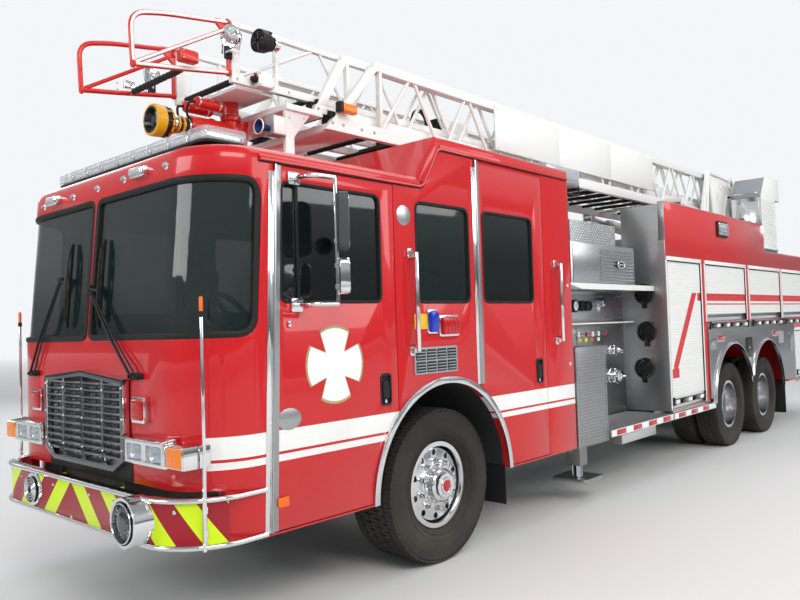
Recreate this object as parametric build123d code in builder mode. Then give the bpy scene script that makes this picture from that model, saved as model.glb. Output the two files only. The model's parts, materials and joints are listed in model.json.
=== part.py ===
"""Three-axle fire engine with a rear-mounted aerial ladder, one solid for each sub-part.

Millimetres. +X points forward, +Y to the vehicle's left, +Z up, and the wheels stand on Z = 0.
The origin lies on the ground at the middle of the vehicle's length and width.
"""
from build123d import *
from math import hypot
import os

os.makedirs("parts", exist_ok=True)

# Axles and wheels
front_axle_x = 3900.0
first_rear_x = front_axle_x - 5943.0
tandem_spacing = 1400.0
rear_axle_x = (first_rear_x, first_rear_x - tandem_spacing)
front_tyre_radius = 545.0
front_tyre_width = 400.0
front_tyre_y = 1020.0
rear_tyre_radius = 535.0
rear_tyre_width = 285.0
dual_pitch = 335.0
dual_centre_y = 910.0
rim_radius = 286.0
rim_wall = 14.0
rim_flange = 22.0
flange_width = 14.0
disc_thickness = 16.0
hub_length = 150.0
hub_cap = 34.0
bead_clearance = 0.3
front_rim_width = 300.0
rear_rim_width = 215.0
hub_radius = 140.0
spindle_radius = 60.0
running_clearance = 0.3
hand_hole_count = 10
hand_hole_radius = 33.0
hand_hole_circle = 195.0
kingpin_y = 850.0
knuckle_half_height = 120.0
fork_thickness = 35.0

# Frame
rail_outer_y = 430.0
rail_flange = 85.0
rail_web = 9.0
rail_bottom_z = 640.0
rail_top_z = 920.0
rail_front_x = front_axle_x + 1992.0
rail_rear_x = front_axle_x - 9800.0

tow_eye_x = front_axle_x - 9700.0
tow_eye_y = 390.0
tow_eye_z = 560.0
tow_eye_radius = 32.0
tow_eye_thickness = 30.0

# Cab
cab_half_width = 1245.0
cab_front_x = front_axle_x + 2000.0
cab_front_top_x = front_axle_x + 1905.0
cab_rear_x = front_axle_x - 1863.0
cab_corner_radius = 380.0
cab_bottom_z = 542.0
belt_z = 1655.0
low_roof_z = 2690.0
raised_roof_z = 2993.0
raised_foot_x = front_axle_x + 195.0
raised_head_x = front_axle_x - 25.0
roof_edge_radius = 80.0
cab_wall = 60.0
gutter_depth = 14.0
floor_top_z = 1150.0
floor_thickness = 50.0
well_inner_y = 870.0
arch_x = front_axle_x - 50.0
arch_z = 530.0
arch_radius = 750.0
arch_liner = 30.0
arch_trim_thickness = 12.0
liner_inner_y = 450.0
tunnel_rear_x = front_axle_x + 150.0
tunnel_half_width = 430.0
tunnel_top_z = 1600.0
tunnel_wall = 25.0
pane_setback = 14.0
pane_thickness = 8.0
pane_clearance = 0.3
screen_low_z = 1690.0
screen_high_z = 2515.0
screen_side_low_x = front_axle_x + 1612.0
screen_side_high_x = front_axle_x + 1556.0
screen_post = 60.0
screen_corner_radius = 90.0

# Doors: the hinge edge of the front door leans back with height
door_gap = 8.0
door_bottom_z = 560.0
door_arch_gap = 45.0
front_door_hinge_low_x = front_axle_x + 1550.0
front_door_hinge_high_x = front_axle_x + 1463.0
front_door_rear_x = front_axle_x + 475.0
front_door_top_z = 2600.0
rear_door_hinge_x = front_axle_x - 460.0
rear_door_rear_x = front_axle_x - 1406.0
rear_door_top_z = 2880.0
rear_hinge_low_z = 1230.0
hinge_barrel_radius = 9.0
hinge_leaf_width = 45.0
hinge_leaf_thickness = 4.0
hinge_barrel_lift = 10.5
window_low_z = 1850.0
window_high_z = 2547.0
window_corner_radius = 55.0
handle_width = 85.0
handle_height = 190.0
handle_depth = 14.0

# Bumper and front fittings
bumper_front_x = front_axle_x + 2117.0
bumper_end_x = front_axle_x + 1822.0
bumper_low_z = 552.0
bumper_high_z = 818.0
bumper_thickness = 45.0
bumper_rail = 22.0
bumper_notch_top_z = 835.0
grille_half_width = 535.0
grille_low_z = 890.0
grille_high_z = 1475.0
grille_depth = 48.0
grille_border = 34.0
slat_count = 11
slat_height = 14.0
lamp_inner_y = 576.0
lamp_outer_y = 1004.0
lamp_low_z = 915.0
lamp_high_z = 1100.0
lamp_depth = 60.0
siren_y = 830.0
siren_z = 690.0
siren_radius = 135.0
siren_front_x = front_axle_x + 2300.0
light_bar_x = (front_axle_x + 1435.0, front_axle_x + 1750.0)
light_bar_half_length = 980.0
light_bar_low_z = 2775.0
light_bar_high_z = 2905.0

# Pump section between cab and body
body_front_x = front_axle_x - 3972.0
pump_front_x = front_axle_x - 1897.0
pump_half_width = 720.0
pump_low_z = 560.0
pump_high_z = 1985.0
board_front_x = front_axle_x - 2478.0
board_top_z = 626.0
board_thickness = 70.0
board_outer_y = 1270.0

# Outriggers behind the cab
cover_x = (front_axle_x - 2470.0, front_axle_x - 1897.0)
cover_inner_y = 860.0
cover_low_z = 530.0
cover_high_z = 1440.0
beam_width = 110.0
beam_height = 150.0
beam_spacing = 150.0
beam_centre_x = front_axle_x - 2183.0
beam_centre_z = 530.0
beam_housing_wall = 12.0
beam_clearance = 0.3
jack_y = 1060.0
jack_tube = 140.0
jack_tube_low_z = 330.0
jack_rod_radius = 48.0
jack_foot_size = 360.0
jack_foot_low_z = 200.0
jack_foot_thickness = 28.0

# Rear body
body_rear_x = front_axle_x - 9950.0
body_half_width = 1245.0
body_low_z = 640.0
body_deck_z = 2606.0
tall_panel_rear_x = front_axle_x - 7516.0
tall_panel_high_z = 2987.0
tall_panel_thickness = 72.0
rear_arch_radius = 725.0
rear_arch_z = 600.0
wheel_well_x = (front_axle_x - 8400.0, front_axle_x - 5135.0)
wheel_well_top_z = 1400.0
wheel_well_inner_y = 520.0
skirt_thickness = 18.0
skirt_high_z = 1600.0
hose_bed_x = (front_axle_x - 6600.0, front_axle_x - 4150.0)
hose_bed_half_width = 1000.0
hose_bed_floor_z = 1950.0
shutter_thickness = 22.0
shutter_frame = 30.0

# Turntable
turntable_x = front_axle_x - 8000.0
ring_radius = 520.0
ring_height = 28.7
deck_low_z = 2635.0
deck_thickness = 30.0
deck_radius = 1250.0
deck_half_width = 1190.0
upright_inner_y = 560.0
upright_thickness = 24.0
pivot_x = front_axle_x - 8175.0
pivot_z = 3769.0
pivot_radius = 45.0
console_x = (front_axle_x - 8370.0, front_axle_x - 7690.0)
console_y = (760.0, 1185.0)

# Ladder sections, nested: outer half width, chord width, bottom, top, rear end and front ends
base_half_width = 525.0
mid_half_width = 445.0
fly_half_width = 375.0
base_low_z = 3243.0
base_high_z = 3825.0
mid_low_z = 3316.0
mid_high_z = 3830.0
fly_low_z = 3410.0
fly_high_z = 3842.0
fly_front_x = front_axle_x + 1122.0
guard_tube_radius = 17.0
chord_height = 62.0
rung_spacing = 356.0
rung_radius = 17.0
slide_clearance = 0.3
end_post = 90.0
post = 17.0
brace = 20.0

# Lift cylinders
cylinder_y = 664.0
foot_x = front_axle_x - 8100.0
foot_z = 2950.0
eye_x = front_axle_x - 5855.0
eye_z = 3180.0
barrel_radius = 72.0
barrel_length = 1700.0
rod_radius = 42.0
rod_length = 1600.0
cylinder_pin_radius = 32.0
cylinder_eye_radius = 62.0
cylinder_eye_width = 90.0


def block(x_range, y_range, z_range, mode=Mode.ADD):
    """Join or cut a rectangular block between its low and high faces on each axis."""
    spans = (x_range, y_range, z_range)
    with Locations(tuple(sum(span) / 2 for span in spans)):
        Box(*(abs(span[1] - span[0]) for span in spans), mode=mode)


def side_blocks(x_range, y_range, z_range, mode=Mode.ADD):
    """The same block on the left and on the right side."""
    for side in (1, -1):
        block(x_range, tuple(side * y for y in y_range), z_range, mode)


def cross_plane(x, z=0.0):
    """A plane across the vehicle whose sketch axes are global Y and Z."""
    return Plane(origin=(x, 0, z), x_dir=(0, 1, 0), z_dir=(1, 0, 0))


def side_plane(y=0.0):
    """A plane along the vehicle, sketched in global X and Z, that extrudes towards -Y."""
    return Plane.XZ.offset(-y)


def finish(part, name):
    """Label a finished sub-part and write it to its own file."""
    part.label = name
    export_step(part, f"parts/{name}.step")


def cab_plan(z, front_x, inset):
    """The cab's outline seen from above at one height, drawn in by an inset."""
    rear_x = cab_rear_x + inset
    with BuildSketch(Plane.XY.offset(z)) as plan:
        with Locations(((front_x - inset + rear_x) / 2, 0)):
            Rectangle(front_x - inset - rear_x, 2 * (cab_half_width - inset))
        fillet(plan.vertices().group_by(Axis.X)[-1], cab_corner_radius - inset)
    return plan.sketch


def cab_form(inset, low_z):
    """The closed form of the cab with both roofs, drawn in by an inset, from a given height up."""
    roof_z = low_roof_z - inset
    with BuildPart() as form:
        extrude(cab_plan(low_z, cab_front_x, inset), amount=belt_z - low_z)
        loft(sections=[cab_plan(belt_z, cab_front_x, inset), cab_plan(roof_z, cab_front_top_x, inset)])
        fillet(form.edges().group_by(Axis.Z)[-1], roof_edge_radius)
        with BuildSketch(side_plane(cab_half_width - inset)) as raised:
            Polygon((raised_foot_x - inset, roof_z - 2 * roof_edge_radius),
                    (raised_foot_x - inset, roof_z - 30),
                    (raised_head_x - inset, raised_roof_z - inset),
                    (cab_rear_x + inset, raised_roof_z - inset),
                    (cab_rear_x + inset, roof_z - 2 * roof_edge_radius), align=None)
        with BuildPart() as raised_block:
            extrude(raised.sketch, amount=2 * (cab_half_width - inset))
            fillet(raised_block.edges().filter_by(Axis.X).group_by(Axis.Z)[-1], roof_edge_radius / 2)
    return form.part + raised_block.part


def arch_disc(radius, y_range):
    """A disc across the vehicle, about the axis of the front wheel arch."""
    with BuildPart() as disc:
        with BuildSketch(side_plane(max(y_range))):
            with Locations((arch_x, arch_z)):
                Circle(radius)
        extrude(amount=max(y_range) - min(y_range))
    return disc.part


def screen_region(clearance):
    """The space of the left windscreen pane, from the centre post round to the side edge."""
    with BuildPart() as region:
        with BuildSketch(side_plane(cab_half_width + 50)) as outline:
            Polygon((screen_side_low_x + clearance, screen_low_z + clearance),
                    (cab_front_x + 100, screen_low_z + clearance),
                    (cab_front_x + 100, screen_high_z - clearance),
                    (screen_side_high_x + clearance, screen_high_z - clearance), align=None)
            fillet(outline.vertices().sort_by(Axis.X)[:2], screen_corner_radius)
        extrude(amount=cab_half_width + 50 - screen_post / 2 - clearance)
    return region.part


def door_outline(name, grow=0.0):
    """The outline of a door in X and Z, with the wheel arch cut from its lower corner."""
    if name == "front":
        corners = ((front_door_hinge_low_x, door_bottom_z), (front_door_hinge_high_x, front_door_top_z),
                   (front_door_rear_x, front_door_top_z), (front_door_rear_x, door_bottom_z))
    else:
        corners = ((rear_door_hinge_x, door_bottom_z), (rear_door_hinge_x, rear_door_top_z),
                   (rear_door_rear_x, rear_door_top_z), (rear_door_rear_x, door_bottom_z))
    with BuildSketch(side_plane(cab_half_width)) as outline:
        Polygon(*corners, align=None)
        if grow:
            offset(amount=grow, kind=Kind.INTERSECTION)
        with Locations((arch_x, arch_z)):
            Circle(arch_radius + door_arch_gap - grow, mode=Mode.SUBTRACT)
    return outline.sketch


def window_outline(name, clearance=0.0):
    """The outline of a side window in X and Z, drawn in by a clearance."""
    lean = (front_door_hinge_high_x - front_door_hinge_low_x) / (front_door_top_z - door_bottom_z)
    front_edge = {"front": front_axle_x + 1446.0, "fixed": front_axle_x + 241.0, "rear": front_axle_x - 540.0}
    rear_edge = {"front": front_axle_x + 609.0, "fixed": front_axle_x - 356.0, "rear": front_axle_x - 1234.0}
    slope = lean * (window_high_z - window_low_z) if name == "front" else 0.0
    with BuildSketch(side_plane(cab_half_width)) as outline:
        Polygon((front_edge[name] - clearance, window_low_z + clearance),
                (front_edge[name] - clearance + slope, window_high_z - clearance),
                (rear_edge[name] + clearance, window_high_z - clearance),
                (rear_edge[name] + clearance, window_low_z + clearance), align=None)
        fillet(outline.vertices(), window_corner_radius - clearance)
    return outline.sketch


def make_cab_shell():
    """The cab's walls and both roofs, open below, with the door, window and wheel openings."""
    low_cavity = cab_plan(0, cab_front_x, cab_wall)
    with BuildPart() as shell:
        add(cab_form(0, cab_bottom_z))
        add(cab_form(cab_wall, floor_top_z), mode=Mode.SUBTRACT)
        extrude(low_cavity, amount=floor_top_z + 1, mode=Mode.SUBTRACT)
        # Notch for the bumper and the radiator opening behind the grille
        block((bumper_end_x - 15, cab_front_x + 10), (-cab_half_width - 10, cab_half_width + 10),
              (cab_bottom_z - 10, bumper_notch_top_z), Mode.SUBTRACT)
        block((cab_front_x - cab_wall - 20, cab_front_x + 10), (-rail_outer_y - 10, rail_outer_y + 10),
              (cab_bottom_z, rail_top_z + 10), Mode.SUBTRACT)
        block((cab_front_x - cab_wall - 20, cab_front_x + 10), (-grille_half_width + 60, grille_half_width - 60),
              (grille_low_z + 60, grille_high_z - 60), Mode.SUBTRACT)
        # Slot for the frame rails in the rear wall
        block((cab_rear_x - 10, cab_rear_x + cab_wall + 10), (-rail_outer_y - 10, rail_outer_y + 10),
              (cab_bottom_z - 10, rail_top_z + 10), Mode.SUBTRACT)
        # Rain gutters above the doors
        for x_range, gutter_z in (((raised_foot_x, screen_side_high_x), front_door_top_z + 2 * door_gap),
                                  ((cab_rear_x + 20, raised_head_x - 15), rear_door_top_z + 2 * door_gap)):
            side_blocks(x_range, (cab_half_width - 2, cab_half_width + gutter_depth), (gutter_z, gutter_z + 12))
        # Wheel arches
        for side in (1, -1):
            add(arch_disc(arch_radius, (side * (liner_inner_y + arch_liner), side * (cab_half_width + 10))),
                mode=Mode.SUBTRACT)
        # Door and window openings
        for name in ("front", "rear"):
            opening = extrude(door_outline(name, door_gap), amount=cab_wall + 1, mode=Mode.PRIVATE)
            add(opening, mode=Mode.SUBTRACT)
            add(mirror(opening, about=Plane.XZ, mode=Mode.PRIVATE), mode=Mode.SUBTRACT)
        fixed = extrude(window_outline("fixed"), amount=cab_wall + 1, mode=Mode.PRIVATE)
        screen = screen_region(0)
        for opening in (fixed, screen):
            add(opening, mode=Mode.SUBTRACT)
            add(mirror(opening, about=Plane.XZ, mode=Mode.PRIVATE), mode=Mode.SUBTRACT)
    return shell.part


def make_cab_floor():
    """The cab's floor with the wheel housings, the step wells inside the doors and the engine tunnel."""
    inner_y = cab_half_width - cab_wall - running_clearance
    under_z = floor_top_z - floor_thickness
    tunnel_front_x = cab_front_x - cab_wall - running_clearance
    with BuildPart() as floor:
        extrude(cab_plan(under_z, cab_front_x, cab_wall + running_clearance), amount=floor_thickness)
        for side in (1, -1):
            add(arch_disc(arch_radius + arch_liner, (side * liner_inner_y, side * inner_y)) & block_part(
                (arch_x - 1000, arch_x + 1000), (-cab_half_width, cab_half_width), (cab_bottom_z, 2000)))
            add(arch_disc(arch_radius, (side * (liner_inner_y + arch_liner), side * cab_half_width)),
                mode=Mode.SUBTRACT)
        block((arch_x - 1000, arch_x + 1000), (-liner_inner_y - arch_liner, liner_inner_y + arch_liner),
              (cab_bottom_z - 10, under_z), Mode.SUBTRACT)
        # Step wells inside the doors
        for well_front, well_rear in ((front_axle_x + 1480, front_axle_x + 800),
                                      (front_axle_x - 880, front_axle_x - 1390)):
            side_blocks((well_rear, well_front), (well_inner_y, inner_y), (door_bottom_z, floor_top_z))
            side_blocks((well_rear + 20, well_front - 20), (well_inner_y + 20, inner_y + 1),
                        (door_bottom_z + 30, floor_top_z + 1), Mode.SUBTRACT)
            side_blocks((well_rear, well_front), (well_inner_y, well_inner_y + 140), (850, 880))
        # Engine tunnel between the front seats
        block((tunnel_rear_x, tunnel_front_x), (-tunnel_half_width, tunnel_half_width), (floor_top_z - 1, tunnel_top_z))
        block((tunnel_rear_x + tunnel_wall, tunnel_front_x - tunnel_wall),
              (-tunnel_half_width + tunnel_wall, tunnel_half_width - tunnel_wall),
              (under_z - 1, tunnel_top_z - tunnel_wall), Mode.SUBTRACT)
    return floor.part


def block_part(x_range, y_range, z_range):
    """A rectangular block as a part of its own."""
    with BuildPart() as piece:
        block(x_range, y_range, z_range)
    return piece.part


def make_cab_glass():
    """Both windscreen panes and the fixed side panes between the doors."""
    with BuildPart() as layer:
        add(cab_form(pane_setback, belt_z - 100))
        add(cab_form(pane_setback + pane_thickness, belt_z - 101), mode=Mode.SUBTRACT)
    with BuildPart() as glass:
        add(layer.part & screen_region(pane_clearance))
        with BuildSketch(side_plane(cab_half_width - pane_setback)):
            add(window_outline("fixed", pane_clearance).moved(Location((0, -pane_setback, 0))))
        extrude(amount=pane_thickness)
        mirror(about=Plane.XZ)
    return glass.part


def make_door(name):
    """The left door of a row, with its window, handle pocket, hinge leaf and barrel."""
    outer_y = cab_half_width
    hinge_bottom = ((front_door_hinge_low_x, door_bottom_z) if name == "front"
                    else (rear_door_hinge_x, rear_hinge_low_z))
    hinge_top = ((front_door_hinge_high_x, front_door_top_z) if name == "front"
                 else (rear_door_hinge_x, rear_door_top_z))
    handle_x = front_axle_x + 590.0 if name == "front" else front_axle_x - 1292.0
    with BuildPart() as door:
        extrude(door_outline(name), amount=cab_wall)
        extrude(window_outline(name), amount=cab_wall, mode=Mode.SUBTRACT)
        block((handle_x - handle_width / 2, handle_x + handle_width / 2), (outer_y - handle_depth, outer_y + 1),
              (1275 - handle_height / 2, 1275 + handle_height / 2), Mode.SUBTRACT)
        block((handle_x - 30, handle_x + 30), (outer_y - handle_depth, outer_y - 3), (1240, 1310))
        barrel_y = outer_y + hinge_barrel_lift
        with BuildSketch(side_plane(outer_y + hinge_leaf_thickness)):
            Polygon(hinge_bottom, hinge_top, (hinge_top[0] - hinge_leaf_width, hinge_top[1]),
                    (hinge_bottom[0] - hinge_leaf_width, hinge_bottom[1]), align=None)
        extrude(amount=hinge_leaf_thickness)
        with BuildLine():
            pin_line = Line((hinge_bottom[0], barrel_y, hinge_bottom[1]), (hinge_top[0], barrel_y, hinge_top[1]))
        with BuildSketch(Plane(pin_line @ 0, z_dir=pin_line % 0)):
            Circle(hinge_barrel_radius)
        sweep(path=pin_line)
    return door.part


def make_door_glass(name):
    """The window pane of a left door."""
    with BuildPart() as pane:
        with BuildSketch(side_plane(cab_half_width - pane_setback)):
            add(window_outline(name, pane_clearance).moved(Location((0, -pane_setback, 0))))
        extrude(amount=pane_thickness)
    return pane.part


def make_mirror():
    """The left mirror: a bent tube arm from the door, a tall glass head and a lower convex one."""
    top_z, low_z, arm_radius = 2575.0, 1830.0, 13.0
    arm_x = front_axle_x + 1330.0
    head_x = front_axle_x + 1130.0
    head_y = 1440.0
    seat_y = cab_half_width + running_clearance
    with BuildPart() as assembly:
        with BuildLine() as arm:
            FilletPolyline((arm_x, seat_y + 10, top_z), (arm_x - 40, head_y - 50, top_z), (head_x, head_y, top_z - 30),
                           (head_x, head_y, low_z + 30), (arm_x - 40, head_y - 50, low_z), (arm_x, seat_y + 10, low_z),
                           radius=30)
        with BuildSketch(Plane(arm.line @ 0, z_dir=arm.line % 0)):
            Circle(arm_radius)
        sweep(path=arm.line)
        for z in (top_z, low_z):
            block((arm_x - 45, arm_x + 45), (seat_y, seat_y + 12), (z - 28, z + 28))
        for z_low, z_high, half in ((2137.0, 2486.0, 92.0), (1885.0, 2100.0, 88.0)):
            with BuildSketch(cross_plane(head_x - 30)):
                with Locations((head_y, (z_low + z_high) / 2)):
                    RectangleRounded(2 * half, z_high - z_low, 25)
            extrude(amount=75)
    return assembly.part


def ring_plan(front_x, half_width, radius, thickness, end_x, z):
    """A band that runs round the front of the cab, seen from above."""
    with BuildSketch(Plane.XY.offset(z)) as plan:
        for inset, mode in ((0, Mode.ADD), (thickness, Mode.SUBTRACT)):
            with BuildSketch(Plane.XY.offset(z), mode=Mode.PRIVATE) as outline:
                with Locations(((front_x - inset + end_x - 200) / 2, 0)):
                    Rectangle(front_x - inset - end_x + 200, 2 * (half_width - inset))
                fillet(outline.vertices().group_by(Axis.X)[-1], radius - inset)
            add(outline.sketch, mode=mode)
        with Locations((end_x - 200, 0)):
            Rectangle(400, 2 * half_width + 10, mode=Mode.SUBTRACT)
    return plan.sketch


def make_bumper():
    """The wrap-round bumper with raised top and bottom rails, siren, horn and corner wands."""
    half_width = cab_half_width + 5
    radius = cab_corner_radius + 10
    with BuildPart() as bumper:
        extrude(ring_plan(bumper_front_x, half_width, radius, bumper_thickness, bumper_end_x, bumper_low_z),
                amount=bumper_high_z - bumper_low_z)
        for z in (bumper_low_z, bumper_high_z - bumper_rail):
            extrude(ring_plan(bumper_front_x + 10, half_width + 10, radius + 10, 30, bumper_end_x, z),
                    amount=bumper_rail)
        # Back plates that meet the ends of the frame rails
        side_blocks((rail_front_x, bumper_front_x - bumper_thickness + 5), (rail_outer_y - rail_flange, rail_outer_y),
                    (rail_bottom_z, bumper_high_z - 20))
        for y, front_x, outer in ((siren_y, siren_front_x, siren_radius), (-530.0, bumper_front_x + 60, 105.0)):
            with BuildSketch(cross_plane(bumper_front_x - 20)):
                with Locations((y, siren_z)):
                    Circle(outer)
            extrude(amount=front_x - bumper_front_x + 20)
            with BuildSketch(cross_plane(front_x)):
                with Locations((y, siren_z)):
                    Circle(outer - 18)
            extrude(amount=-35, mode=Mode.SUBTRACT)
        for side in (1, -1):
            with BuildSketch(Plane.XY.offset(bumper_low_z + 30)):
                with Locations((front_axle_x + 1945.0, side * 1205.0)):
                    Circle(9)
            extrude(amount=1290)
    return bumper.part


def make_grille():
    """The radiator grille: a stepped frame, level slats and three upright bars."""
    x = cab_front_x
    with BuildPart() as grille:
        with BuildSketch(cross_plane(x)) as frame:
            Polygon((-grille_half_width, grille_low_z + 70), (-grille_half_width + 130, grille_low_z),
                    (grille_half_width - 130, grille_low_z), (grille_half_width, grille_low_z + 70),
                    (grille_half_width, grille_high_z - 45), (0, grille_high_z),
                    (-grille_half_width, grille_high_z - 45), align=None)
            offset(amount=-grille_border, mode=Mode.SUBTRACT)
        extrude(amount=grille_depth)
        field_low = grille_low_z + grille_border
        pitch = (grille_high_z - grille_low_z - 2 * grille_border) / (slat_count + 1)
        for row in range(slat_count):
            z = field_low + pitch * (row + 1)
            reach = grille_half_width - 20
            block((x + 8, x + 38), (-reach, reach), (z - slat_height / 2, z + slat_height / 2))
        for y in (-grille_half_width / 2, 0, grille_half_width / 2):
            block((x + 4, x + 42), (y - 9, y + 9), (grille_low_z + 10, grille_high_z - 45))
    return grille.part


def make_headlamps():
    """Lamp boxes on both sides of the grille, with the turn lamps that wrap the corners."""
    with BuildPart() as lamps:
        for side in (1, -1):
            block((cab_front_x - 60, cab_front_x + lamp_depth), (side * lamp_inner_y, side * lamp_outer_y),
                  (lamp_low_z, lamp_high_z))
            block((cab_front_x - 110, cab_front_x + lamp_depth - 8),
                  (side * (lamp_outer_y - 5), side * (lamp_outer_y + 175)), (lamp_low_z + 10, lamp_high_z - 12))
            block((cab_front_x - 10, cab_front_x + 38), (side * 620, side * 760), (1190, 1335))
            for lens_y in (680.0, 890.0):
                with BuildSketch(cross_plane(cab_front_x + lamp_depth)):
                    with Locations((side * lens_y, (lamp_low_z + lamp_high_z) / 2)):
                        RectangleRounded(165, 125, 14)
                extrude(amount=-22, mode=Mode.SUBTRACT)
        extrude(cab_plan(lamp_low_z - 20, cab_front_x + running_clearance, 0), amount=500, mode=Mode.SUBTRACT)
    return lamps.part


def make_light_bar():
    """The roof light bar on three feet."""
    with BuildPart() as bar:
        with BuildSketch(Plane.XY.offset(light_bar_low_z)):
            with Locations((sum(light_bar_x) / 2, 0)):
                RectangleRounded(light_bar_x[1] - light_bar_x[0], 2 * light_bar_half_length, 60)
        extrude(amount=light_bar_high_z - light_bar_low_z)
        fillet(bar.edges().group_by(Axis.Z)[-1], 30)
        for y in (-700.0, 0.0, 700.0):
            block((light_bar_x[0] + 60, light_bar_x[1] - 80), (y - 60, y + 60),
                  (low_roof_z + running_clearance, light_bar_low_z + 5))
    return bar.part


def make_cab_brightwork():
    """Hand rails beside the doors, fixed leaves of the door hinges and wheel arch trims, both sides."""
    seat_y = cab_half_width + running_clearance
    with BuildPart() as rails:
        for low_x, high_x, low_z, high_z in (
                (front_door_hinge_low_x, front_door_hinge_high_x, door_bottom_z, front_door_top_z),
                (rear_door_hinge_x, rear_door_hinge_x, rear_hinge_low_z, rear_door_top_z)):
            near = hinge_barrel_radius + running_clearance
            for far, thickness in ((hinge_leaf_width, hinge_leaf_thickness), (near + 6, hinge_barrel_lift)):
                with BuildSketch(side_plane(seat_y + thickness)):
                    Polygon((low_x + near, low_z), (low_x + far, low_z),
                            (high_x + far, high_z), (high_x + near, high_z), align=None)
                extrude(amount=thickness)
        # Polished trims round the front wheel arches
        with BuildSketch(side_plane(seat_y + arch_trim_thickness)):
            with Locations((arch_x, arch_z)):
                Circle(arch_radius + door_arch_gap - door_gap - 3)
                Circle(arch_radius - 12, mode=Mode.SUBTRACT)
            with Locations((arch_x, cab_bottom_z - arch_radius)):
                Rectangle(3 * arch_radius, 2 * arch_radius, mode=Mode.SUBTRACT)
        extrude(amount=arch_trim_thickness)
        mirror(about=Plane.XZ)
        for x in (front_axle_x + 320.0, front_axle_x - 1588.0):
            for side in (1, -1):
                with BuildSketch(Plane.XY.offset(1510)):
                    with Locations((x, side * (cab_half_width + 62))):
                        Circle(16)
                extrude(amount=675)
                for z in (1545.0, 2150.0):
                    block((x - 14, x + 14), (side * (cab_half_width + running_clearance), side * (cab_half_width + 62)),
                          (z - 14, z + 14))
    return rails.part


def seat(x, y, floor_z):
    """Join one seat that faces forward: pedestal, cushion, back and head rest."""
    block((x - 160, x + 160), (y - 160, y + 160), (floor_z, floor_z + 330))
    block((x - 230, x + 260), (y - 230, y + 230), (floor_z + 330, floor_z + 450))
    with BuildSketch(side_plane(y + 215)) as back:
        Polygon((x - 130, floor_z + 440), (x - 260, floor_z + 1080), (x - 350, floor_z + 1080),
                (x - 230, floor_z + 400), align=None)
    extrude(back.sketch, amount=430)
    with BuildSketch(side_plane(y + 130)) as head_rest:
        Polygon((x - 265, floor_z + 1060), (x - 290, floor_z + 1230), (x - 350, floor_z + 1230),
                (x - 345, floor_z + 1060), align=None)
    extrude(head_rest.sketch, amount=260)


def make_seats():
    """Two front seats beside the engine tunnel and four crew seats at the rear wall."""
    floor_z = floor_top_z + running_clearance
    with BuildPart() as seats:
        for x, y in ((front_axle_x + 1000.0, 690.0), (front_axle_x + 1000.0, -690.0)):
            seat(x, y, floor_z)
        for y in (-920.0, -310.0, 310.0, 920.0):
            seat(front_axle_x - 1390.0, y, floor_z)
    return seats.part


def make_dashboard():
    """The dashboard along the front wall, with the steering column and wheel."""
    wheel_y = 690.0
    column_low = Vector(front_axle_x + 1680.0, wheel_y, 1560.0)
    column_high = Vector(front_axle_x + 1420.0, wheel_y, 1760.0)
    with BuildPart() as dash:
        with BuildSketch(side_plane(cab_half_width)):
            Polygon((front_axle_x + 1960.0, 1720.0), (front_axle_x + 1960.0, 1660.0), (front_axle_x + 1780.0, 1705.0),
                    (front_axle_x + 1640.0, 1680.0), (front_axle_x + 1590.0, 1560.0), (front_axle_x + 1700.0, 1400.0),
                    (front_axle_x + 1960.0, 1360.0), align=None)
        extrude(amount=2 * cab_half_width)
        add(cab_form(cab_wall + 1, floor_top_z), mode=Mode.INTERSECT)
        block((front_axle_x + 1500.0, cab_front_x), (-tunnel_half_width - 5, tunnel_half_width + 5),
              (floor_top_z, tunnel_top_z + running_clearance), Mode.SUBTRACT)
        with BuildLine():
            column = Line(column_low, column_high)
        with BuildSketch(Plane(column @ 0, z_dir=column % 0)):
            Circle(26)
        sweep(path=column)
        rim_plane = Plane(column @ 1, z_dir=column % 1)
        with BuildSketch(rim_plane):
            Circle(215)
            Circle(190, mode=Mode.SUBTRACT)
            Rectangle(390, 34)
            Circle(60)
        extrude(amount=24)
    return dash.part


def make_wheel_rims(offsets, width, seat_x, reach):
    """Rims on one hub about the X axis: barrels at the offsets, dished discs, hub, bore and cap.

    Each disc runs from the hub's face at seat_x to its barrel, a reach further out.
    """
    half = width / 2
    inner = rim_radius - rim_wall
    with BuildPart() as rims:
        with BuildSketch(Plane.XY):
            for y in offsets:
                outwards = -1 if y < 0 else 1
                with BuildLine():
                    Polyline((y - half, rim_radius + rim_flange), (y - half, inner), (y + half, inner),
                             (y + half, rim_radius + rim_flange), (y + half - flange_width, rim_radius + rim_flange),
                             (y + half - flange_width, rim_radius), (y - half + flange_width, rim_radius),
                             (y - half + flange_width, rim_radius + rim_flange), close=True)
                make_face()
                with BuildLine():
                    Polyline((seat_x, spindle_radius + 20), (seat_x + outwards * disc_thickness, spindle_radius + 20),
                             (seat_x + outwards * disc_thickness, 0.84 * inner),
                             (seat_x + outwards * (reach + disc_thickness), inner + 1),
                             (seat_x + outwards * reach, inner + 1), (seat_x, 0.84 * inner), close=True)
                make_face()
            with Locations((seat_x + hub_length / 2 - 45, (hub_radius + spindle_radius + running_clearance) / 2)):
                Rectangle(hub_length, hub_radius - spindle_radius - running_clearance)
            with Locations((seat_x + hub_length - 45 + hub_cap / 2, (spindle_radius + 30) / 2)):
                Rectangle(hub_cap, spindle_radius + 30)
        revolve(axis=Axis.X)
        with BuildSketch(Plane.YZ.offset(seat_x - 100)):
            with PolarLocations(hand_hole_circle, hand_hole_count):
                Circle(hand_hole_radius)
        extrude(amount=200, mode=Mode.SUBTRACT)
    return rims.part


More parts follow.
